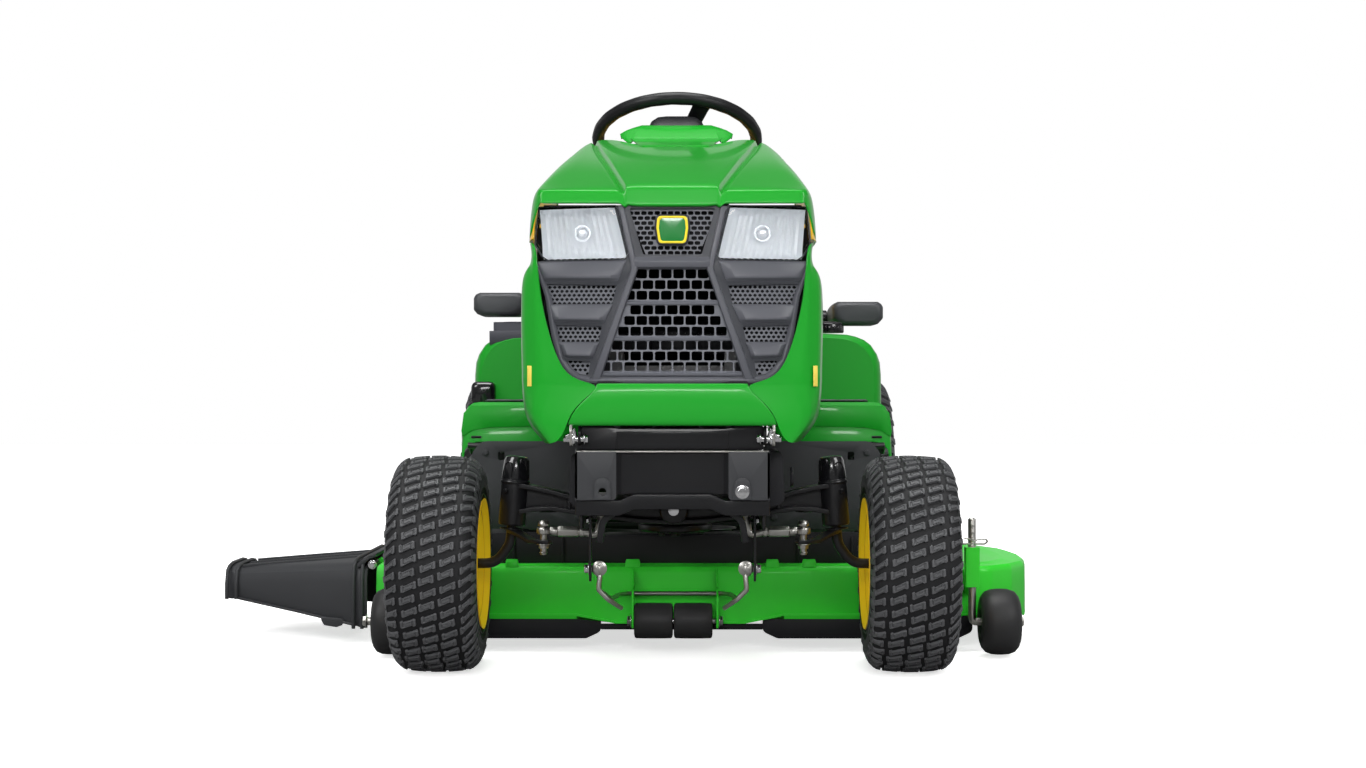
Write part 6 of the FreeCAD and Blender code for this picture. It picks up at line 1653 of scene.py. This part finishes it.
def build_dash():
    """The dash tower with its switches, the blade switch, and the green cowl ahead of the wheel."""
    tower = Build()
    # Sections (y, half width at the foot, half width at the top, foot height, top height).
    sections = ((556, 122, 90, 930, 1058), (580, 100, 62, 980, 1092), (606, 88, 54, 1000, 1118),
                (650, 90, 56, 1000, 1112),
                (720, 96, 66, 980, 1082), (800, 110, 84, 930, 1034), (860, 120, 96, 880, 978),
                (900, 122, 100, 820, 920))
    rings = []
    for y, foot, top, low, high in sections:
        half = [(foot, low), (foot - (foot - top) * 0.5, low + (high - low) * 0.62), (top, high - 9),
                (top - 14, high),
                (top * 0.4, high + 2)]
        rings.append([Vector((x, y, z)) for x, z in half] + [Vector((-x, y, z)) for x, z in reversed(half)])
    tower.rings(rings)
    tower.rings([[Vector((w, y, z)), Vector((-w, y, z)), Vector((-w, y2, z)), Vector((w, y2, z))]
                 for w, y, y2,
                 z in ((146, 560, 895, 440), (140, 560, 890, 640), (118, 560, 896, 860), (112, 568, 886, 940))])
    tower.lathe([(60, 0), (52, 26), (40, 50), (33, 62), (0, 64)], (0, 742, 1010), (0, 0.407, 0.914), 40)
    tower.box((0, 560, 1034), (240, 16, 40))
    tower.piece("dash_moulding", DARK, "chassis", "black_plastic", ["dash_tower"], bevel=3, steps=3, smooth=40)
    details = Build()
    lean = turned(-34)
    face = (0, 0.56, 0.83)
    for x in (-62, 62):
        spot = Vector((x, 838, 1006))
        details.lathe([(13, -8), (13, 3), (13 * 0.8, 6), (0, 6)], spot, face, 32)
        details.box(spot + lean @ Vector((0, 0, 5)), (4, 18, 5), lean)
    details.lathe([(29, -6), (29, 2), (26, 4), (23, 2), (0, 2)], (0, 846, 1001), face, 44)
    details.piece("dash_switches", GLOSS_BLACK, "chassis", "black_plastic", bevel=0.6)
    blade_switch = Build()
    blade_switch.lathe([(0, 0), (15, 0), (15, 4), (9, 8), (8, 26), (11, 34), (15, 40), (15, 52), (11, 58), (0, 59)],
                       (-104, 729, 949), Z, 36)
    blade_switch.piece(
        "blade_switch_button", YELLOW, "blade_switch", "black_plastic", ["blade_switch_knob"], smooth=40,
    )
    cowl = Build()
    # The green cowl ahead of the wheel: a shallow panel that widens into wings below the dash.
    rows = ((530, 1060, 92, 96, 100, 1052), (545, 1070, 88, 98, 108, 1058), (562, 1084, 82, 100, 118, 1068),
            (580, 1096, 76, 94, 122, 1078), (596, 1099, 74, 90, 120, 1070))
    loop = []
    for y, top, flat, shoulder, wing, low in rows:
        half = [(flat, top), (shoulder, top - 5), ((shoulder + wing) / 2, (top + low) / 2 - 1), (wing, low)]
        loop.append([Vector((-x, y, z)) for x, z in reversed(half)] + [Vector((x, y, z)) for x, z in half])
    cowl.rings(loop, close=False)
    # Ahead of it, a flat panel fills the hood's notch, level with the hood.
    flat = []
    for y, half in ((306, 66), (330, 74), (430, 86), (528, 97)):
        z = 889 + 0.2143 * (y + 276) + 10 * (1 - ((y - 130) / 422) ** 2)
        flat.append([Vector((x, y, z)) for x in (-half, half)])
    cowl.rings(flat, close=False)
    cowl.piece("cowl_skin", GREEN, "chassis", "green_body", solid=3, bevel=1.2, smooth=40)


def build_platform():
    """On each side a footboard with a mat, the shield ahead of it and the brace under it."""
    for side, sign in SIDES.items():
        board = Build()
        line = ((558, 420), (566, 470), (578, 492), (592, 501), (614, 499), (642, 489), (740, 446), (960, 440))
        edge = ((205, 0), (424, 0), (438, -2), (449, -9), (457, -22), (461, -62), (457.5, -62), (453.5, -22),
                (446, -12), (436, -6), (424, -3.5), (205, -3.5))
        board.rings([[Vector((sign * x, y, z + dz)) for x, dz in edge] for y, z in line])
        face = ((205, 452), (400, 447), (437, 441), (459, 427), (461, 440), (456, 478), (440, 494), (205, 496))
        board.prism([(sign * x, z) for x, z in face], "y", 560, 3)
        board.piece(f"footboard_panel_{side}", GREEN, "chassis", "green_body", ["footboards"], bevel=1.5, smooth=45)
        mat = Build()
        spine = ((602, 504), (618, 500.5), (645, 491.4), (742, 449.4), (950, 443.4))
        mat.rings([[Vector((sign * x, y, z + dz)) for x, dz in ((222, 0), (226, 2.6), (410, 2.6), (414, 0))]
                   for y, z in spine])
        for i in range(24):
            y = 608 + i * 14.2
            for (y0, z0), (y1, z1) in zip(spine, spine[1:]):
                if y0 <= y <= y1:
                    z = z0 + (z1 - z0) * (y - y0) / (y1 - y0) + 2.4
                    turn = Matrix.Rotation(math.atan2(z1 - z0, y1 - y0), 3, "X")
                    for x in (252, 318, 384):
                        mat.box((sign * x, y, z), (50, 6, 2.6), turn)
                    break
        mat.piece(f"foot_mat_{side}", MAT, "chassis", "black_rubber", bevel=0.7)
        under = Build()
        outline = [(sign * x, z) for x, z in SHIELD]
        holes = [[(sign * x, z) for x, z in hole] for hole in
                 (rounded([(360, 380), (374, 380), (374, 398), (360, 398)], 4), arc((330, 330), 9, 0, 340, 16),
                  rounded([(250, 270), (290, 270), (290, 300), (250, 300)], 6))]
        sheet_with_holes(under, rounded(outline, [10, 24, 30, 16, 10], 5), holes,
                         lambda a, b, t: Vector((a, 468.5 + t, b)), 3)
        for x, z in ((205, 400), (400, 396), (205, 260), (405, 258)):
            under.bolt((sign * x, 468.5, z), -Y, 6, 5)
        under.piece(f"side_shield_panel_{side}", GUARD, "chassis", "dark_grey_plastic", bevel=1)
        # The folded brace under each footboard, with its cable guide.
        brace = Build()
        brace.tube(path_arc([(sign * 214, 480, 300), (sign * 214, 480, 400), (sign * 440, 500, 410)], 20, 4), 7, 12)
        brace.prism([(sign * 418, 556), (sign * 440, 556), (sign * 440, 900), (sign * 418, 900)], "z", 424, 5)
        brace.piece(f"footboard_brace_{side}", SATIN, "chassis", "black_steel", bevel=1)


def build_fender():
    """The rear fender, with the console, the fuel cap and the tail reflectors."""
    shell = Build()
    # Half of the section: outer wall, wheel housing, shoulder, shelf and the inner wall by the seat.
    half = ((476, 430), (476, 500), (475.5, 560), (473, 590), (466, 610), (452, 631), (436, 643), (416, 651),
            (396, 655.5),
            (350, 658), (300, 660), (276, 650), (262, 622))
    ys = [966, 970, 978, 990, 1010, 1060, 1110] + [1150 + 20 * i for i in range(18)] + [1520, 1556, 1574, 1584, 1590]
    rings = []
    for y in ys:
        front = max(0.0, 1 - (y - 966) / 24)
        rear = max(0.0, (y - 1540) / 50)
        pull = 1 - 0.035 * front ** 2 - 0.10 * rear ** 2
        drop = 10 * front ** 2 + 24 * rear ** 2
        ring = []
        for x, z in half:
            # The wheel arch, then the valance behind it.
            low = 430
            gap = 296 ** 2 - (y - REAR_WHEEL[1]) ** 2
            if gap > 0:
                low = max(low, REAR_WHEEL[2] + math.sqrt(gap))
            if y > 1400:
                low = max(low, 520)
            z2 = max(z - (drop if z > 560 else 0), min(low, 640))
            ring.append(Vector((x * pull, y, z2)))
        rings.append(ring + [Vector((-p.x, p.y, p.z)) for p in reversed(ring)])
    shell.rings(rings, close=False)
    for ring in (rings[0], rings[-1]):
        count = len(ring) // 2
        first = len(shell.points)
        shell.points += [p.copy() for p in ring]
        if ring is rings[0]:
            # The front wall has openings for the tunnel, so each side is its own panel.
            for start in (0, count):
                loop = list(range(first + start, first + start + count))
                foot = len(shell.points)
                edge = ring[start + (count - 1 if start == 0 else 0)]
                shell.points.append(Vector((math.copysign(210, edge.x), edge.y, 430)))
                shell.points.append(Vector((math.copysign(210, edge.x), edge.y, edge.z)))
                shell.faces.append(loop + [foot + 1, foot] if start == 0 else [foot, foot + 1] + loop)
        else:
            shell.faces.append(list(range(first, first + 2 * count)))
    shell.piece("fender_skin", GREEN, "chassis", "green_body", ["fender_body"], solid=3.5, smooth=40)
    trim = Build()
    # Console at the rider's right, with a cup holder and a tool tray, and the fuel cap at the left.
    outline = rounded([(-434, 990), (-314, 990), (-314, 1180), (-434, 1180)], 16, 5)
    cup = arc((-374, 1050), 38, 0, 350, 35)
    tray = rounded([(-420, 1104), (-328, 1104), (-328, 1168), (-420, 1168)], 10, 4)
    sheet_with_holes(trim, outline, [cup, tray], lambda a, b, t: Vector((a, b, 685.5 - t)), 3)
    trim.stack(outline, (661, 668, 685), caps=False)
    trim.rings([[Vector((-374 + (a + 374) * k, 1050 + (b - 1050) * k, z)) for a, b in cup]
                for k, z in ((1.06, 686), (1.0, 684), (0.96, 600), (0.9, 596))], caps=False)
    trim.stack(tray, (685, 664))
    trim.lathe([(37.5, 684), (40.5, 687.4), (43, 684)], (-374, 1050, 0), Z, 44)
    trim.rings([[Vector((x, y, z)) for x in (-440, -308)] + [Vector((x, y2, z)) for x in (-308, -440)]
                for y, y2, z in ((966.5, 992, 664), (968, 992, 640), (975, 992, 628))])
    trim.piece("fender_console", CONSOLE, "chassis", "dark_grey_plastic", bevel=1.2, smooth=40)
    cap = Build()
    cap.lathe(
        [(0, 0), (33, 0), (33, 16), (31, 22), (25, 26), (18, 27), (16, 24.5), (0, 24.5)], (358, 1040, 660.4), Z, 48,
    )
    for a in around(20):
        cap.rod(spot_at((358, 1040, 662), 32.6, a), spot_at((358, 1040, 677), 32.6, a), 1.6, 8)
    cap.box((358, 1040, 686), (34, 8, 4))
    cap.piece("fuel_cap_moulding", GLOSS_BLACK, "chassis", "black_plastic", bevel=0.6)
    lamps = Build()
    for sign in (1, -1):
        outline = rounded([(sign * 285, 582), (sign * 375, 582), (sign * 372, 618), (sign * 288, 618)], 6, 4)
        lamps.rings([[Vector((sign * 330 + (a - sign * 330) * k, y, 600 + (b - 600) * k)) for a, b in outline]
                     for k, y in ((1, 1583), (1, 1590), (0.94, 1594))])
    lamps.piece("tail_reflectors", RED_LENS, "chassis", "lens", bevel=0.8)


def pad_block(low, high, round_x, lift, cells=9):
    """A rounded block that swells towards the middle of each face: (low, high) corners, crown heights in lift."""
    build = Build()
    low, high = Vector(low), Vector(high)
    middle, half = (low + high) / 2, (high - low) / 2
    index, points, faces = {}, [], []

    def vertex(u, v, w):
        key = (round(u, 5), round(v, 5), round(w, 5))
        if key not in index:
            index[key] = len(points)
            r = Vector((round_x / half.x, round_x / half.y, min(1, round_x / half.z)))
            p = Vector((u, v, w))
            core = Vector([max(-1 + r[i], min(1 - r[i], p[i])) for i in range(3)])
            out = Vector([(p[i] - core[i]) / r[i] if r[i] else 0 for i in range(3)])
            if out.length > 1e-6:
                out = out.normalized() if sum(abs(o) > 1e-6 for o in out) > 1 else out
            q = Vector([(core[i] + out[i] * r[i]) * half[i] for i in range(3)])
            crown = (1 - u * u) * (1 - v * v)
            q.z += lift * crown * (w if w > 0 else 0)
            # The sides pull in a little between the corners.
            q.x -= math.copysign(min(5.0, half.x * 0.03) * (1 - v * v), u) * abs(u) ** 4
            q.y -= math.copysign(min(5.0, half.y * 0.03) * (1 - u * u), v) * abs(v) ** 4
            points.append(middle + q)
        return index[key]

    steps = [-1 + 2 * i / cells for i in range(cells + 1)]
    for axis in range(3):
        for end in (-1, 1):
            for a0, a1 in zip(steps, steps[1:]):
                for b0, b1 in zip(steps, steps[1:]):
                    face = []
                    for a, b in ((a0, b0), (a1, b0), (a1, b1), (a0, b1)):
                        c = [0, 0, 0]
                        c[axis], c[(axis + 1) % 3], c[(axis + 2) % 3] = end, a, b
                        face.append(vertex(*c))
                    faces.append(face if end > 0 else face[::-1])
    return build.add(points, faces)


def puff(obj, cap, pressure=3.0, voxel=0.006):
    """Swells a cushion by cloth simulation, moving no point further than cap millimetres."""
    remesh = obj.modifiers.new("remesh", "REMESH")
    remesh.mode, remesh.voxel_size = "VOXEL", voxel
    graph = bpy.context.evaluated_depsgraph_get()
    mesh = bpy.data.meshes.new_from_object(obj.evaluated_get(graph))
    obj.modifiers.clear()
    obj.data = mesh
    start = [v.co.copy() for v in mesh.vertices]
    cloth = obj.modifiers.new("cloth", "CLOTH")
    cloth.settings.use_pressure = True
    cloth.settings.uniform_pressure_force = pressure
    cloth.settings.quality = 4
    cloth.settings.tension_stiffness = cloth.settings.compression_stiffness = 25
    cloth.settings.bending_stiffness = 6
    cloth.settings.effector_weights.gravity = 0
    scene = bpy.context.scene
    for frame_number in range(1, 15):
        scene.frame_set(frame_number)
    graph = bpy.context.evaluated_depsgraph_get()
    done = bpy.data.meshes.new_from_object(obj.evaluated_get(graph))
    obj.modifiers.clear()
    for vertex, before in zip(done.vertices, start):
        move = vertex.co - before
        if move.length > cap / 1000:
            vertex.co = before + move.normalized() * cap / 1000
    obj.data = done
    scene.frame_set(1)
    obj.data.materials.clear()


CUSHION_FILL, CUSHION_CAP = 0.7, 6


def cushion(name, low, high, corner, lift, replaces, turn=None, pivot=(0, 0, 0)):
    """A vinyl cushion: a swollen block, smoothed and puffed."""
    build = pad_block(low, high, corner, lift)
    if turn:
        pivot = Vector(pivot)
        build.points = [pivot + turn @ (p - pivot) for p in build.points]
    obj = build.piece(name, VINYL, "seat", "seat_vinyl", replaces, levels=2, smooth=180)
    puff(obj, CUSHION_CAP)
    obj.data.materials.append(VINYL)
    for face in obj.data.polygons:
        face.use_smooth = True


# The photograph shows the left armrest 22 mm lower than the right one.
ARMREST_DROP = {"left": -22, "right": 0}
ARMREST_PIN_Y, ARMREST_PIN_Z = 1350, 726


def build_seat():
    """Four cushions on a shell with piping, and the frame that carries it."""
    cushion("seat_cushion_front", (-226, 996, 672), (226, 1180, 742), 24, 7, ["seat_cushion"])
    cushion("seat_cushion_rear", (-222, 1186, 672), (222, 1368, 742), 24, 5, ["seat_cushion"])
    lean = turned(-12)
    pivot = (0, 1408, 764)
    cushion("seat_back_lower", (-222, 1374, 770), (222, 1442, 868), 22, 5, ["seat_back"], lean, pivot)
    cushion("seat_back_upper", (-214, 1374, 874), (214, 1442, 984), 24, 5, ["seat_back"], lean, pivot)
    shell = Build()
    shell.stack(rounded([(-228, 992), (228, 992), (222, 1376), (-222, 1376)], 40, 5), (666, 671, 676))
    back = []
    for k, y in ((0.95, 1440), (1, 1446), (1, 1451), (0.95, 1456)):
        outline = rounded([(-228 * k, 764), (228 * k, 764), (224 * k, 900), (190 * k, 990), (-190 * k, 990),
                           (-224 * k, 900)],
                          [20, 20, 30, 40, 40, 30], 5)
        back.append([Vector(pivot) + lean @ (Vector((x, y, z)) - Vector(pivot)) for x, z in outline])
    shell.rings(back)
    shell.piece("seat_shell", DARK, "seat", "black_plastic", bevel=1.2, smooth=40)
    seams = Build()
    seams.tube([(x, 1183, 741 + 5 * (1 - (x / 226) ** 2)) for x in range(-218, 219, 12)], 1.6, 8)
    seam = [Vector((x, 1373, 871)) for x in range(-212, 213, 12)]
    seams.tube([Vector(pivot) + lean @ (p - Vector(pivot)) for p in seam], 1.6, 8)
    loop = rounded([(-219, 1003), (219, 1003), (214, 1362), (-214, 1362)], 26, 6)
    seams.tube([(x, y, 735) for x, y in loop], 2.0, 8, closed=True)
    seams.piece("seat_piping", VINYL_DARK, "seat", "seat_vinyl", smooth=60)
    steel = Build()
    steel.box((0, 1220, 660), (400, 440, 10))
    for x in (-150, 150):
        steel.tube(
            path_arc([(x, 1020, 656), (x, 1400, 656), (x * 0.8, 1455, 700), (x * 0.8, 1478, 880)], 30, 5), 10, 16,
        )
    for side, sign in SIDES.items():
        drop = ARMREST_DROP[side]
        height = ARMREST_PIN_Z + drop
        steel.tube(path_arc([(sign * 190, ARMREST_PIN_Y, 660), (sign * 286, ARMREST_PIN_Y, 660),
                             (sign * 286, ARMREST_PIN_Y, height),
                             (sign * 368, ARMREST_PIN_Y, height)], 16, 5), 11, 18)
        steel.lathe([(0, 0), (15, 0), (17, 2), (17, 16), (15, 18), (0, 18)], (sign * 350, ARMREST_PIN_Y, height),
                    X * sign, 32)
    steel.rod((-150, 1000, 655), (150, 1000, 655), 6)
    steel.piece("seat_support", SATIN, "seat", "black_steel", ["seat_frame"], bevel=1, smooth=40)
    build_armrests()


def build_armrests():
    """Pads, their hinges and rails."""
    for side, sign in SIDES.items():
        drop = ARMREST_DROP[side]
        name = f"armrest_{side}"
        pad = Build()
        # Width, underside and top along y; the front end is rounded and chamfered.
        rows = ((1086, 50, 712, 750), (1090, 56, 707, 755), (1098, 60, 704, 758), (1116, 61, 703, 759.5),
                (1180, 61, 703, 759.5), (1260, 60, 705, 759), (1330, 59, 708, 757.5), (1366, 57, 711, 756),
                (1380, 52, 716, 751), (1384, 44, 722, 745))
        rings = []
        for y, half, low, high in rows:
            section = [(-half, low + 14), (-half + 8, low + 5), (-half + 20, low), (half - 24, low),
                       (half - 12, low + 3),
                       (half, low + 16), (half, high - 12), (half - 4, high - 5), (half - 12, high),
                       (-half + 14, high),
                       (-half + 5, high - 4), (-half, high - 12)]
            rings.append([Vector((sign * 430 + a, y, b + drop)) for a, b in section])
        pad.rings(rings)
        obj = pad.piece(
            f"{name}_pad", ARM_PAD, name, "black_rubber", [f"armrest_pad_{side}"], bevel=4, steps=3, smooth=50,
        )
        bracket = Build()
        height = ARMREST_PIN_Z + drop
        bracket.lathe([(0, 0), (19, 0), (21, 2), (21, 12), (0, 14)], (sign * 371, ARMREST_PIN_Y, height), -X * sign,
                      36)
        bracket.prism(rounded([(1330, height - 16), (1370, height - 16), (1372, height + 14), (1328, height + 14)],
                              8), "x",
                      sign * 371 - 2, 4)
        bracket.piece(f"{name}_hinge", SATIN, name, "black_steel", bevel=0.8)
        # The stiffening web that shows inboard of each pad, below its front end.
        web = Build()
        web.rings([[Vector((sign * x, y, z + drop)) for x, z in ((372, 712), (380, 702), (380, 744), (372, 738))]
                   for y in (1120, 1330)])
        web.piece(f"{name}_rail", SATIN, name, "black_steel", bevel=1.2)


def build_pedals():
    """The brake on the left and the two travel pedals on the right."""
    brake = Build()
    centre = Vector((212, 700, 508))
    tilt = turned(14)
    brake.rings([[centre + tilt @ Vector((a, b, z)) for a, b in rounded(rectangle(56, 44), 12, 5)]
                 for z in (-8, -2)])
    for i in range(9):
        brake.box(centre + tilt @ Vector((0, -36 + 9 * i, -1)), (98, 4, 4), tilt)
    brake.piece("brake_pedal_pad", RUBBER, "brake_pedal", "black_rubber", ["brake_pedal"], bevel=0.8)
    for label, y, z in (("forward", 705, 501), ("reverse", 800, 481)):
        pad = Build()
        centre = Vector((-214, y, z))
        outline = rounded([(-58, -38), (58, -38), (48, 38), (-48, 38)], 14, 5)
        pad.rings([[centre + Vector((a, b, h)) for a, b in outline] for h in (-6, -1)])
        for i in range(8):
            pad.box(centre + Vector((0, -31 + 9 * i, 0)), (86, 4, 3.4))
        pad.piece(f"{label}_pedal_pad", RUBBER, f"{label}_pedal", "black_rubber", [f"{label}_pedal"], bevel=0.8)


def build_lift_lever():
    """The deck's lift lever, seen at the left of the picture."""
    lever = Build()
    section = rounded([(-475, 489), (-418, 489), (-418, 546), (-475, 546)], 17, 6)
    rings = []
    for k, y in ((0.62, 878), (0.86, 881), (0.97, 887), (1, 896), (1, 906), (0.96, 914), (0.82, 920), (0.5, 923)):
        rings.append([Vector((-446.5 + (a + 446.5) * k, y, 517.5 + (b - 517.5) * k)) for a, b in section])
    lever.rings(rings)
    lever.piece("lift_lever_knob", GLOSS_BLACK, "lift_lever", "black_plastic", ["lift_lever"], smooth=50)
    rod = Build()
    rod.tube([(-446, 918, 516), (-446, 960, 510), (-446, 1040, 500)], 7, 16)
    rod.piece("lift_lever_rod", SATIN, "lift_lever", "black_steel", smooth=50)


# The side shields' outline, in front view.
SHIELD = [(182, 236), (182, 420), (410, 420), (428, 396), (428, 236)]

build_steering()
build_dash()
build_platform()
build_fender()
build_seat()
build_pedals()
build_lift_lever()


# ---------------------------------------------------------------------------- chassis, engine and drive detail


def dress_cad_nodes():
    """Gives every CAD node a procedural material for its slots, the replaced ones too."""
    looks = {"main_frame": SATIN, "chassis_pins": CHROME, "transaxle": CAST, "engine": ALLOY, "muffler": EXHAUST,
             "battery": DARK, "crankshaft_clutch": CAST}
    for name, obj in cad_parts.items():
        for spot in obj.material_slots:
            spot.material = looks.get(name, DARK)
        if not obj.material_slots:
            obj.data.materials.append(looks.get(name, DARK))


def build_frame_detail():
    """Bolts along the frame, and the plates that flank the bumper."""
    detail = Build()
    for sign in (1, -1):
        for y in (-150, 20, 420, 560, 900, 1100, 1300):
            detail.bolt((sign * 153, y, 395 if y % 3 else 372), X * sign, 9, 8)
    detail.piece("frame_bolts", ZINC, "chassis", "zinc_steel", bevel=0.5)
    # Black boxes flank the bumper: folded corner plates with a moulded loop on the right of the picture.
    corner = Build()
    for outline in ([(-150, 420), (-182, 415), (-186, 330), (-170, 316), (-150, 318)],
                    [(150, 420), (196, 420), (200, 330), (184, 322), (150, 322)]):
        corner.rings([[Vector((x * k, y, 368 + (z - 368) * k2)) for x, z in rounded(outline, [4, 12, 12, 8, 4], 4)]
                      for k, k2, y in ((1, 1, -196), (1, 1, -150), (0.99, 0.96, -140))])
    corner.tube(path_arc([(214, -150, 356), (214, -168, 362), (214, -168, 380), (214, -150, 388)], 5, 4), 3, 10)
    corner.piece("corner_plates", DARK, "chassis", "black_plastic", bevel=2, steps=3)


def build_engine_detail():
    """What shows of the engine when the hood is open: fins, shroud, filter, guard, battery and clutch."""
    fins = Build()
    for side in (1, -1):
        for i in range(9):
            fins.box((side * 176, 62, 494 + i * 11.5), (40, 144, 3))
        fins.box((side * 201, 62, 540), (4, 120, 78))
        for y in (16, 108):
            for z in (510, 572):
                fins.bolt((side * 203, y, z), X * side, 5, 4)
    fins.piece("engine_fins", ALLOY, "chassis", "engine_metal", bevel=0.5)
    shroud = Build()
    shroud.lathe([(0, 601.6), (150, 601.6), (151, 612), (150, 641), (140, 655), (121, 668), (90, 671.5), (82, 668),
                  (0, 668)],
                 (0, 235, 0), Z, 72)
    for a in around(40):
        shroud.box(spot_at((0, 235, 0), 104, a, 671), (34, 3, 3), Matrix.Rotation(a, 3, "Z"))
    for x in (-90, 90):
        shroud.rings([[Vector((x + a, 95 + b, z)) for a, b in rounded(rectangle(48, 40), 12, 4)]
                      for z in (598, 628, 636)])
    shroud.piece("engine_shroud", DARK, "chassis", "black_plastic", bevel=1.5)
    filters = Build()
    filters.lathe([(0, 0), (36, 0), (38, 3), (38, 60), (34, 66), (30, 68), (0, 68)], (-120, -6, 470), -Z, 40)
    for a in around(12):
        filters.rod(spot_at((-120, -6, 406), 38, a), spot_at((-120, -6, 440), 38, a), 2, 8)
    filters.piece("oil_filter", LAMP_WHITE, "chassis", "engine_metal", bevel=0.6)
    guard = Build()
    for i in range(7):
        guard.box((-35, -170.4, 458 + i * 14), (200, 2, 5))
    for x in (-120, -35, 50):
        guard.box((x, -169.4, 500), (6, 3, 100))
    guard.piece("muffler_guard", ALLOY, "chassis", "engine_metal", bevel=0.5)
    battery = Build()
    battery.rings([[Vector((90 + a, 500 + b, z)) for a, b in rounded(rectangle(66, 51), 6, 4)]
                   for z in (546, 550, 562, 564)])
    for x in (48, 132):
        battery.lathe([(0, 0), (8, 0), (8, 10), (6, 13), (0, 13)], (x, 470, 562), Z, 24)
    for i in range(6):
        battery.lathe([(0, 0), (7, 0), (7, 3), (0, 4)], (44 + i * 18, 520, 563), Z, 20)
    battery.piece("battery_top", GUARD, "chassis", "dark_grey_plastic", bevel=0.8)
    clutch = Build()
    clutch.lathe([(0, 246), (30, 246), (34, 249), (70, 249), (73, 252), (73, 262), (66, 263), (60, 268), (66, 273),
                  (73, 274),
                  (73, 290), (70, 300), (40, 302), (0, 302)], (0, 230, 0), Z, 64)
    for a in around(3):
        clutch.bolt(spot_at((0, 230, 249), 52, a), -Z, 7, 6)
    clutch.bolt((0, 230, 246), -Z, 12, 8)
    clutch.piece("clutch_pulley", CAST, "crank", "black_steel", bevel=0.6)


def build_drive_detail():
    """Ribs, axle seals and the fan on the transaxle."""
    ribs = Build()
    for sign in (1, -1):
        for i in range(6):
            ribs.box((sign * (70 + i * 12), 1262, 330), (4, 150, 110))
        ribs.lathe([(33, 0), (44, 0), (46, 3), (46, 14), (44, 17), (33, 17)], (sign * 138, 1270, 279.5), X * sign, 44,
                   closed=True)
        for a in around(4, 0.5):
            ribs.bolt((sign * 154, 1270 + 38 * math.cos(a), 279.5 + 38 * math.sin(a)), X * sign, 6, 5)
    ribs.lathe(
        [(0, 0), (48, 0), (50, 3), (50, 12), (40, 16), (40, 22), (50, 26), (50, 36), (0, 36)], (0, 1190, 372), Z, 56,
    )
    for a in around(8):
        ribs.box(spot_at((0, 1190, 410), 40, a), (30, 3, 5), Matrix.Rotation(a + 0.6, 3, "Z"))
    ribs.piece("transaxle_casting", CAST, "chassis", "cast_axle", bevel=0.8)



dress_cad_nodes()
build_frame_detail()
build_engine_detail()
build_drive_detail()
